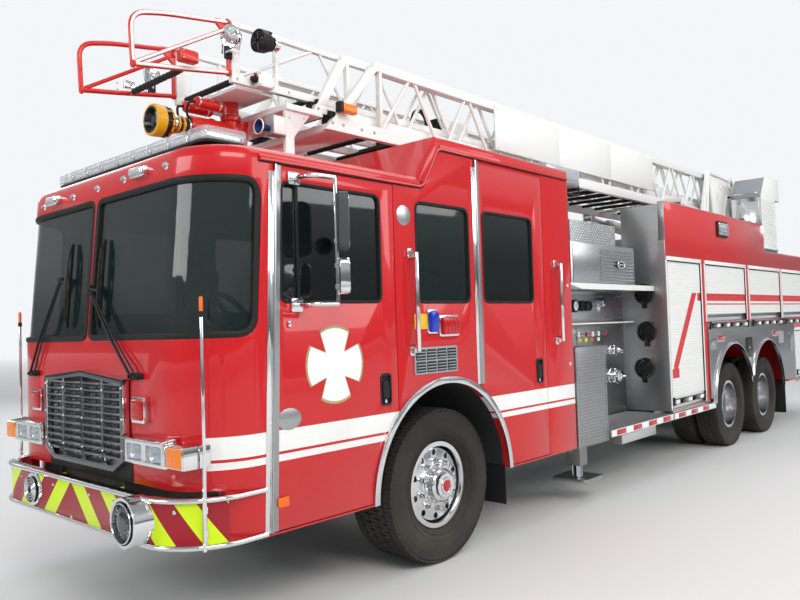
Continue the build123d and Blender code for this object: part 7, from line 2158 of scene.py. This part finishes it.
# Guard rail round the deck's rear, open at the ladder
rail_path = [(AXLE - 8.0 + 1.21 * cos(radians(a)), max(-1.15, min(1.15, 1.21 * sin(radians(a)))))
             for a in range(112, 250, 6)]
for z, radius in ((3.62, 0.019), (3.20, 0.015)):
    stage.tube([(a, b, z) for a, b in rail_path], radius, chrome, 12)
for k in (0, 4, 9, 13, 18, len(rail_path) - 1):
    a, b = rail_path[k]
    stage.tube([(a, b, DECK_Z - 0.002), (a, b, 3.62)], 0.017, chrome, 12)
    stage.turned((a, b, DECK_Z), (0, 0, 1), [(0, 0.040), (0.008, 0.040), (0.012, 0.026)], chrome, 20)
    stage.turned((a, b, 3.60), (0, 0, 1), [(0, 0.019), (0.004, 0.026), (0.034, 0.026), (0.038, 0.019)], chrome, 20)
diamonds(stage, (AXLE - 9.10, -0.545, DECK_Z), (1.48, 0, 0), (0, 1.09, 0), 0.045, size=0.018)
for sign in (1, -1):
    diamonds(stage, (AXLE - 8.55, 0.735 if sign > 0 else -1.15, DECK_Z), (0.155 if sign > 0 else 1.30, 0, 0),
             (0, 0.41, 0), 0.045, size=0.018)
stage.done("turntable_body", slot_of["turntable"])


def console_finish(centre, facing):
    """Grey hood with a white end, bright front and white side."""
    x, z = centre.x - AXLE, centre.z
    if z > 3.442 or facing.z < -0.9 and z > 3.43:
        return white if facing.x < -0.7 else hood_grey
    if x < -8.377:
        return black
    return alloy if facing.x > 0.7 else white


hood_grey = finish("hood_grey", (0.22, 0.24, 0.26), 0.42, coat=0.15, tone=0.12)
console = eased("control_console", "turntable_body", white, 0.004)
dress(console, console_finish)
desk = Piece("console_fittings")
louvre = Piece("console_louvre")
louvre.shape([(0, 0, 0), (0.60, 0, 0), (0.60, 0.011, 0.005), (0, 0.011, 0.005), (0, 0, 0.022), (0.60, 0, 0.022)],
             ((0, 1, 2, 3), (3, 2, 5, 4), (0, 3, 4), (1, 5, 2), (0, 4, 5, 1)), white)
slats = repeated(louvre, white, 20, step=(0, 0, 0.0345))
desk.mesh_in(slats, white, Matrix.Translation((AXLE - 8.33, 1.1852, 2.705)))
desk.box(from_axle(-8.368, -7.692), (1.184, 1.190), (3.395, 3.436), white, 0.002)
desk.box(from_axle(-8.368, -8.345), (1.184, 1.191), (2.670, 3.40), white, 0.002)
desk.box(from_axle(-7.715, -7.692), (1.184, 1.191), (2.670, 3.40), white, 0.002)
desk.box(from_axle(-8.42, -7.66), (0.75, 1.198), (2.6652, 2.690), white, 0.006)
desk.box(from_axle(-7.692, -7.686), (0.80, 1.145), (2.74, 3.38), alloy, 0.004)
desk.prism(rounded((0.84, 3.05), (0.93, 3.14), 0.015), "X", AXLE - 7.688, AXLE - 7.678, black, 0.003)
# Sloped hood panel seen from behind: levers, gauges and lamps under the overhang
for k, y in enumerate((0.86, 0.94, 1.02, 1.10)):
    desk.rod((AXLE - 8.374, y, 3.340), (AXLE - 8.455, y, 3.375), 0.006, chrome, 10)
    desk.turned((AXLE - 8.455, y, 3.375), (-0.9, 0, 0.4), [(-0.012, 0.008), (-0.006, 0.016), (0.012, 0.016),
                                                           (0.018, 0.006), (0.019, 0)],
                (gloss_black, gloss_black, red_lens, gloss_black)[k], 16)
for k, y in enumerate((0.84, 0.92, 1.00, 1.08)):
    desk.turned((AXLE - 8.370, y, 3.200), (-1, 0, 0), [(0, 0.034), (0.010, 0.034), (0.014, 0.028), (0.009, 0.026)],
                chrome, 24)
    desk.turned((AXLE - 8.374, y, 3.200), (-1, 0, 0), [(0, 0.027), (0.006, 0.027)], dial_white, 24)
desk.box(from_axle(-8.378, -8.368), (0.80, 1.14), (3.285, 3.310), grey_plastic, 0.002)
desk.box(from_axle(-8.592, -8.586), (0.80, 1.145), (3.50, 3.74), dial_white, 0.003)
# Grab rod on the hood's front and a small lamp
desk.tube(softened([(AXLE - 7.68, 0.80, 3.47), (AXLE - 7.615, 0.80, 3.50), (AXLE - 7.615, 1.145, 3.50),
                    (AXLE - 7.68, 1.145, 3.47)], 0.03),
          0.010, chrome, 10)
desk.rod((AXLE - 7.664, 0.775, 3.475), (AXLE - 7.545, 0.775, 3.462), 0.008, black, 10, 0.002)
desk.turned((AXLE - 7.55, 0.775, 3.463), (1, 0, -0.1), [(0, 0.014), (0.022, 0.020), (0.026, 0.016), (0.027, 0)],
            black, 16)
desk.done("turntable_body", slot_of["control_console"])

eased("lift_barrels", "lift_barrels_body", white, 0.003, angle=35)
eased("lift_rods", "lift_rods_body", rod_chrome, 0, angle=35)
glands = Piece("cylinder_glands")
heading = Vector((2.245, 0, 0.230)).normalized()
for sign in (1, -1):
    foot_at = Vector((AXLE - 8.100, sign * LIFT_Y, 2.950))
    for along, radius, length in ((1.700, 0.074, 0.030), (1.655, 0.077, 0.034), (0.085, 0.076, 0.040)):
        glands.turned(foot_at + heading * (along - length), heading,
                      [(0, radius - 0.004), (0.003, radius), (length - 0.003, radius), (length, radius - 0.006)],
                      steel, 32)
    for along in (0.18, 1.60):
        port = foot_at + heading * along + Vector((0, 0, 0.070))
        glands.turned(port, (0, 0, 1), [(0, 0.016), (0.012, 0.016), (0.014, 0.011), (0.026, 0.011), (0.027, 0)],
                      steel, 6)
    line = [foot_at + heading * 0.18 + Vector((0, -sign * 0.030, 0.078)),
            foot_at + heading * 1.60 + Vector((0, -sign * 0.030, 0.078))]
    glands.tube(line, 0.007, steel, 8)
glands.done("lift_barrels_body", slot_of["lift_barrels"])

# %% [markdown]
# ## Light bar
# A long low bar of clear blocks stands on three feet over the windscreen. Each block holds a bright stepped
# reflector behind a ribbed clear cover, with black joints between the blocks and a black base under them.

# %% Light bar
bar = Piece("light_bar_dressed")
bar_low, bar_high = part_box("light_bar")
bx0, bx1, by = bar_low[0], bar_high[0], bar_high[1]
bar.prism(rounded((bx0, -by), (bx1, by), 0.075, 8), "Z", 2.787, 2.806, black, 0.004)
BLOCKS, CELLS = 9, 5
for k in range(BLOCKS):
    y0, y1 = -by + 2 * by * k / BLOCKS + 0.004, -by + 2 * by * (k + 1) / BLOCKS - 0.004
    end = 0.07 if k in (0, BLOCKS - 1) else 0.0
    block = rounded((bx0 + 0.004, y0), (bx1 - 0.004, y1), 0.006 if not end else 0.035, 4)
    bar.prism(block, "Z", 2.806, 2.884, clear_lens, 0.012, 3)
    bar.box((bx0 + 0.030, bx1 - 0.030), (y0 + 0.012 + end * 0.3, y1 - 0.012 - end * 0.3), (2.807, 2.868), lamp_silver,
            0.010, 2)
    for c in range(CELLS):
        y = y0 + 0.02 + (y1 - y0 - 0.04) * (c + 0.5) / CELLS
        for x, way in ((bx1 - 0.031, 1), (bx0 + 0.031, -1)):
            bar.turned((x, y, 2.838), (way, 0, 0), [(0, 0.019), (0.004, 0.018), (0.006, 0.012), (0.002, 0.006),
                                                    (0.0021, 0)], dial_white, 12)
    for z in (2.822, 2.852, 2.872):
        for x in (bx0 + 0.003, bx1 - 0.003):
            bar.box((x - 0.0025, x + 0.0025), (y0 + 0.01 + end * 0.5, y1 - 0.01 - end * 0.5), (z - 0.003, z + 0.003),
                    clear_lens, 0.0)
for y in (-0.70, 0.0, 0.70):
    bar.box((bx0 + 0.06, bx1 - 0.08), (y - 0.045, y + 0.045), (2.738, 2.790), black, 0.006)
bar.done("chassis", slot_of["light_bar"], ("light_bar",))

# %% [markdown]
# ## Door mirrors
# Each front door carries a tall mirror and a wide-angle one on bent chrome arms. The tall one has a moulded grey
# shell, the other a chromed one. The glass is a real mirror finish, so it shows the studio. Both heads turn in
# towards the driver.

# %% Mirrors
HEAD_X, HEAD_Y, ARM_X = AXLE + 1.130, 1.440, AXLE + 1.330
hood_shell = finish("mirror_shell", (0.055, 0.058, 0.062), 0.42, tone=0.15, grain_scale=600, bump=0.0002)
for side, sign in SIDES:
    arms = Piece(f"mirror_{side}_dressed")
    turn_head = radians(36)
    across = Vector((sin(turn_head), sign * cos(turn_head), 0))
    back = Vector((cos(turn_head), -sign * sin(turn_head), 0))
    middle = Vector((HEAD_X, sign * HEAD_Y, 0))

    def head(low, high, half, thick, shade, glass_shade, corner):
        """One head: a rounded shell with the glass let into its rear face."""
        outline = rounded((-half, low), (half, high), corner, 6)
        glass_edge = rounded((-half + 0.012, low + 0.012), (half - 0.012, high - 0.012), corner * 0.8, 6)
        rings = ((0.5, 0.94), (0.42, 0.99), (0.20, 1.0), (-0.5, 1.0))
        count, points, faces = len(outline), [], []
        centre_z = 0.5 * (low + high)
        for depth, size in rings:
            points += [middle + across * (a * size) + back * (depth * thick)
                       + Vector((0, 0, centre_z + (b - centre_z) * size))
                       for a, b in outline]
        for r in range(len(rings) - 1):
            faces += [(r * count + i, r * count + (i + 1) % count, (r + 1) * count + (i + 1) % count,
                       (r + 1) * count + i)
                      for i in range(count)]
        faces += [tuple(range(count)), tuple(range((len(rings) - 1) * count, len(rings) * count))]
        arms.shape(points, faces, shade, 0.004)
        sheet = [middle + across * a + back * (-0.5 * thick - d) + Vector((0, 0, b)) for d in (-0.002, 0.0025) for a,
                 b in glass_edge]
        size = len(glass_edge)
        arms.shape(sheet, [tuple(range(size)), tuple(range(size, 2 * size)),
                           *[(i, (i + 1) % size, size + (i + 1) % size, size + i) for i in range(size)]], glass_shade)

    head(2.137, 2.486, 0.092, 0.062, hood_shell, mirror_glass, 0.045)
    head(1.885, 2.100, 0.088, 0.058, chrome, mirror_glass, 0.040)
    stem = middle + back * 0.035
    arms.rod(stem + Vector((0, 0, 1.830)), stem + Vector((0, 0, 2.575)), 0.013, chrome, 14, 0.003)
    for z in (2.575, 1.830):
        root = (ARM_X, sign * (CAB_SIDE + 0.004), z)
        arms.tube(softened([root, (ARM_X, sign * 1.40, z), (stem.x, stem.y, z)], 0.07, 7), 0.0135, chrome, 14)
        arms.prism(rounded((ARM_X - 0.045, z - 0.040), (ARM_X + 0.045, z + 0.040), 0.016), "Y",
                   *sorted((sign * (CAB_SIDE - 0.001), sign * (CAB_SIDE + 0.012))), chrome, 0.003)
        for a in (-0.028, 0.028):
            arms.turned((ARM_X + a, sign * (CAB_SIDE + 0.011), z), (0, sign, 0),
                        [(0, 0.008), (0.005, 0.007), (0.0065, 0.004)], steel, 6)
    for z in (2.200, 2.420, 1.930, 2.055):
        arms.turned(stem + Vector((0, 0, z - 0.014)), (0, 0, 1), [(0, 0.013), (0.002, 0.020), (0.026, 0.020),
                                                                  (0.028, 0.013)], steel, 20)
    # Round close-view mirror inboard of the tall head
    inboard = middle - across * 0.175 + Vector((0, 0, 2.200)) + back * 0.02
    arms.turned(inboard, -back, [(-0.014, 0.0), (-0.012, 0.030), (0.0, 0.052), (0.010, 0.056), (0.013, 0.052)],
                hood_shell, 28)
    arms.turned(inboard - back * 0.0105, -back, [(0, 0.050), (0.003, 0.050), (0.0045, 0.030), (0.005, 0)],
                mirror_glass, 28)
    arms.rod(inboard + back * 0.006, stem + Vector((0, 0, 2.200)), 0.006, chrome, 10)
    arms.done(body_of[f"mirror_{side}"], slot_of[f"mirror_{side}"], (f"mirror_{side}",))

# %% [markdown]
# ## Small things on the cab's side
# Lamps, plates, a reflector and a vent sit behind the front door, all bolted on. Badges would name an owner,
# so they are left as blank shapes: smooth metal ovals, and a plain cross on the front door.

# %% Side fittings
small = Piece("cab_side_fittings")
for sign in (1, -1):
    y = sign * CAB_SIDE

    def plate(x0, x1, z0, z1, proud, shade, corner=0.012, bevel=0.003, sink=0.002):
        small.prism(rounded((AXLE + x0, z0), (AXLE + x1, z1), corner), "Y",
                    *sorted((y - sign * sink, y + sign * proud)), shade, bevel)

    plate(0.156, 0.289, 1.660, 1.767, 0.004, yellow)
    plate(0.170, 0.275, 1.674, 1.753, 0.0055, yellow, 0.006, 0.001)
    plate(0.048, 0.162, 1.626, 1.797, 0.014, chrome, 0.02)
    plate(0.060, 0.150, 1.638, 1.785, 0.040, blue_lens, 0.02, 0.012)
    plate(-0.196, 0.034, 1.602, 1.756, 0.014, chrome, 0.02)
    plate(-0.180, 0.018, 1.616, 1.742, 0.038, red_lens, 0.02, 0.012)
    for k in range(5):
        at = -0.158 + 0.0385 * k
        small.box((AXLE + at - 0.012, AXLE + at + 0.012), span(sign, 0.036, 0.040, y), (1.630, 1.728), red_lens,
                  0.002)
    # Vent with two rows of louvres in a grey frame
    plate(-0.170, 0.304, 1.347, 1.534, 0.007, grey_paint, 0.012)
    for row in range(2):
        for column in range(4):
            x0, z0 = -0.155 + 0.114 * column, 1.360 + 0.085 * row
            plate(x0, x0 + 0.102, z0, z0 + 0.074, 0.0085, chassis_black, 0.006, 0.001)
            for k in range(3):
                small.box((AXLE + x0 + 0.006, AXLE + x0 + 0.096), span(sign, 0.004, 0.0125, y),
                          (z0 + 0.010 + 0.021 * k, z0 + 0.018 + 0.021 * k), grey_paint, 0.002)
    # Reflector by the bumper, a lock grille and a latch by the rear door
    plate(1.424, 1.504, 0.685, 0.741, 0.010, orange, 0.008, 0.004)
    plate(1.376, 1.400, 1.702, 1.738, 0.010, chrome, 0.008)
    for z in (1.30, 2.0):
        small.turned((AXLE - 1.80, y, z), (0, sign, 0), [(0, 0.016), (0.005, 0.015), (0.010, 0.008), (0.011, 0)],
                     chrome, 20)
    # Feet of the grab rails
    for x in (0.320, -1.588):
        for z in (1.515, 2.185):
            small.prism(rounded((AXLE + x - 0.026, z - 0.034), (AXLE + x + 0.026, z + 0.034), 0.018), "Y",
                        *span(sign, -0.001, 0.008, y), chrome, 0.003)
            small.turned((AXLE + x, y + sign * 0.006, z), (0, sign, 0), [(0, 0.022), (0.004, 0.021), (0.012, 0.017),
                                                                         (0.026, 0.0165)], chrome, 20)
    # Mud flap behind the front wheel
    small.box(from_axle(-0.806, -0.794), span(sign, 0.85, 1.20), (0.25, 0.560), rubber, 0.003)
    # Round blank plate between the two windows
    small.turned((AXLE + 0.370, y, 2.443), (0, sign, 0), [(0, 0.070), (0.003, 0.070), (0.0045, 0.066), (0.0045, 0.0)],
                 steel, 36)
small.done("chassis", "bright_chrome")
badge_gold = finish("badge_metal", (0.62, 0.48, 0.24), 0.32, metal=0.9, tone=0.12, tone_scale=8)
for side, sign in SIDES:
    badges = Piece(f"front_door_plates_{side}")
    y = sign * CAB_SIDE
    # A blank cross with flared arms: a metal edge under a white face
    for size, lift, shade in ((0.240, 0.0025, badge_gold), (0.224, 0.0035, dial_white)):
        cross = []
        for arm in range(4):
            cross += [(size, radians(90 * arm + lean))
                      for lean in (-31, -20, -10, 0, 10, 20, 31)] + [(0.46 * size, radians(90 * arm + 45))]
        badges.prism([(AXLE + 1.035 + r * cos(a), 1.466 + r * sin(a)) for r, a in cross], "Y",
                     *sorted((y - sign * 0.001, y + sign * lift)), shade, 0.0)
    badges.prism(circle(36, 0.088, 0.062, (AXLE + 1.404, 1.175)), "Y", *span(sign, -0.001, 0.003, y), steel, 0.001)
    badges.done(body_of[f"front_door_{side}"], "stainless")

# %% Scene lamp on its pole
pole = Piece("scene_lamp")
at = Vector((AXLE - 2.13, 1.0, 0))
pole.turned(at + Vector((0, 0, 2.438)), (0, 0, 1), [(0, 0.060), (0.010, 0.060), (0.014, 0.040), (0.090, 0.034),
                                                    (0.092, 0.024)], alloy, 28)
pole.rod(at + Vector((0, 0, 2.52)), at + Vector((0, 0, 2.99)), 0.021, alloy, 20)
pole.turned(at + Vector((0, 0, 2.80)), (0, 0, 1), [(0, 0.022), (0.003, 0.032), (0.030, 0.032), (0.033, 0.022)], black,
            20)
pole.box((at.x - 0.05, at.x + 0.05), (at.y - 0.035, at.y + 0.035), (2.960, 3.000), steel, 0.008)
pole.box(from_axle(-2.43, -1.78), (at.y - 0.065, at.y + 0.065), (2.985, 3.150), grey_paint, 0.022, 3)
pole.box(from_axle(-2.40, -1.81), (at.y + 0.060, at.y + 0.074), (3.000, 3.136), lamp_silver, 0.006)
pole.box(from_axle(-2.40, -1.81), (at.y + 0.073, at.y + 0.080), (3.002, 3.134), clear_lens, 0.003)
for k in range(9):
    x = AXLE - 2.36 + 0.064 * k
    pole.box((x - 0.003, x + 0.003), (at.y - 0.088, at.y - 0.060), (3.005, 3.132), grey_paint, 0.002)
pole.tube(softened([at + Vector((-0.30, 0, 3.08)), at + Vector((-0.39, 0, 3.08)), at + Vector((-0.39, 0, 2.92)),
                    at + Vector((-0.28, 0, 2.92)),
                    at + Vector((-0.04, 0, 2.92))], 0.03), 0.009, black, 10)
pole.done("chassis", "polished_alloy")

# %% [markdown]
# ## Inside the cab
# Little shows through the tinted panes, but the doors open. Seats are crowned cushions with sewn channels
# and piped seams on moulded bases; a subdivided, rounded form is shaped in code, which holds its seams
# better than a simulated pad of this size. The dashboard keeps its CAD form and gets dials and switches.

# %% Cushion builder
def cushion(piece, middle, along, up, half, material, channels=3, crown=0.020, power=7.0):
    """A crowned pad: `along` its length, `up` its sewn face; half sizes in along, across and up."""
    along, up = Vector(along).normalized(), Vector(up).normalized()
    across = up.cross(along)
    pad = bmesh.new()
    bmesh.ops.create_cube(pad, size=2.0)
    bmesh.ops.subdivide_edges(pad, edges=pad.edges, cuts=13, use_grid_fill=True)
    for vertex in pad.verts:
        a, b, c = vertex.co
        a, b, c = (sin(v * pi / 2) * 0.35 + v * 0.65 for v in (a, b, c))
        size = (abs(a) ** power + abs(b) ** power + abs(c) ** power) ** (-1 / power)
        a, b, c = a * size, b * size, c * size
        dome = (1 - a * a) * (1 - b * b)
        pull = 1 - 0.035 * ((1 - a * a) + (1 - b * b)) * (1 - c * c)
        lift = crown * dome if c > 0 else 0.0
        if c > 0.55 and channels:
            groove = abs(((b * 0.5 + 0.5) * channels) % 1.0 - 0.5) * 2
            lift -= (0.011 * max(0.0, (groove - 0.72) / 0.28) ** 1.5 * min(1.0, 6 * (1 - abs(b)))
                 * min(1.0, 5 * (1 - abs(a))))
        vertex.co = (Vector(middle) + along * (a * half[0] * pull) + across * (b * half[1] * pull)
                     + up * (c * half[2] + lift))
    bmesh.ops.recalc_face_normals(pad, faces=pad.faces)
    data = bpy.data.meshes.new("pad")
    pad.to_mesh(data)
    pad.free()
    piece.mesh_in(data, material)
    rim = [Vector(middle) + along * (half[0] * 0.955 * a) + across * (half[1] * 0.955 * b) + up * (half[2] * 0.60)
           for a, b in rounded((-1, -1), (1, 1), 0.24, 5)]
    piece.tube(rim, 0.0045, grey_plastic, 6, closed=True)


# %% Seats
floor_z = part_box("seats")[0][2]
cushions, backs, bases = Piece("seat_cushions"), Piece("seat_backs"), Piece("seat_bases")
belt_web = finish("belt_webbing", (0.45, 0.035, 0.02), 0.75, tone=0.12, grain_scale=900, stretch=(1, 1, 3),
                  bump=0.0003)
places = [(1.000, 0.690), (1.000, -0.690), (-1.390, -0.920), (-1.390, -0.310), (-1.390, 0.310), (-1.390, 0.920)]
for x, y in places:
    spot = Vector((AXLE + x, y, floor_z))
    cushion(cushions, spot + Vector((0.015, 0, 0.390)), (1, 0, 0), (0, 0, 1), (0.240, 0.225, 0.055), seat_cloth)
    back_up = Vector((-0.145, 0, 0.640)).normalized()
    back_face = Vector((back_up.z, 0, -back_up.x))
    cushion(backs, spot + Vector((-0.235, 0, 0.745)), back_up, back_face, (0.310, 0.205, 0.048), seat_cloth)
    cushion(backs, spot + Vector((-0.300, 0, 1.145)), back_up, back_face, (0.075, 0.125, 0.036), seat_cloth, 0, 0.010,
            5.0)
    bases.box((spot.x - 0.155, spot.x + 0.155), (y - 0.155, y + 0.155), (floor_z, floor_z + 0.315), grey_plastic,
              0.020, 3)
    bases.box((spot.x - 0.220, spot.x + 0.250), (y - 0.215, y + 0.215), (floor_z + 0.310, floor_z + 0.338),
              grey_plastic, 0.010)
    for s in (1, -1):
        bases.rod(spot + Vector((-0.275, s * 0.06, 1.03)), spot + Vector((-0.295, s * 0.06, 1.12)), 0.006, chrome, 10)
        bases.tube(softened([spot + Vector((-0.20, s * 0.21, 0.34)), spot + Vector((-0.16, s * 0.222, 0.45)),
                             spot + Vector((-0.12, s * 0.215, 0.47))], 0.03), 0.007, black, 8)
    strap_path = [spot + Vector((-0.245, 0.175, 1.00)), spot + Vector((-0.130, 0.150, 0.92)),
                  spot + Vector((-0.115, 0.02, 0.70)),
                  spot + Vector((-0.105, -0.18, 0.475))]
    strap = softened(strap_path, 0.05)
    bases.strip(strap, [back_face] * len(strap), [(-0.022, 0.0), (-0.022, 0.0025), (0.022, 0.0025), (0.022, 0.0)],
                belt_web, closed=False)
    bases.box((spot.x - 0.115, spot.x - 0.085), (y - 0.215, y - 0.175), (floor_z + 0.43, floor_z + 0.50), black,
              0.006)
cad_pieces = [cushions.done("chassis", "seat_fabric", ("seats",), 60), backs.done("chassis", "seat_fabric", (), 60)]
bases.done("chassis", "grey_plastic")

# %% Dashboard
dash = eased("dashboard", "chassis", cabin_grey, 0.004)
hub_at = Vector((AXLE + 1.420, 0.690, 1.760))


def dash_finish(centre, facing):
    """The steering wheel is glossy black, the column black."""
    return gloss_black if (centre - hub_at).length < 0.24 else None


dress(dash, dash_finish)
panel = Piece("dash_panel")
for k, (y, radius) in enumerate(((0.55, 0.045), (0.66, 0.055), (0.79, 0.055), (0.90, 0.045))):
    place = Vector((AXLE + 1.640, y, 1.640))
    aim = Vector((-0.92, 0, 0.38)).normalized()
    panel.turned(place - aim * 0.012, aim, [(0, radius + 0.006), (0.020, radius + 0.006), (0.022, radius),
                                            (0.014, radius - 0.002)], chrome, 28)
    panel.turned(place - aim * 0.010, aim, [(0, radius - 0.001), (0.016, radius - 0.001)], dial_white if k % 2
                 else gloss_black, 28)
for row in range(2):
    for k in range(9):
        y = -0.20 + 0.055 * k
        panel.box(from_axle(1.600, 1.622), (y - 0.018, y + 0.018), (1.555 + 0.05 * row, 1.585 + 0.05 * row),
                  (gloss_black, red_lens, black, amber)[(k + row) % 4], 0.004)
panel.done("chassis", "grey_plastic")

# %% [markdown]
# ## Materials for what is left
# The remaining CAD nodes have the right shape as they stand. Each takes the finish of its own kind: cast
# iron, chassis black or floor mat.

# %% Carried-over nodes
floor_mat = finish("floor_mat", (0.030, 0.031, 0.033), 0.85, tone=0.2, tone_scale=6, grain_scale=260, bump=0.0012)
left_over = {"axles": chassis_black, "cab_floor": floor_mat, "chassis_frame": chassis_black, "engine": cast_iron,
             "knuckle_left": chassis_black, "knuckle_right": chassis_black}
for name, shade in left_over.items():
    nodes[name].data.materials.clear()
    nodes[name].data.materials.append(shade)
print(len(left_over), "nodes keep their own mesh")
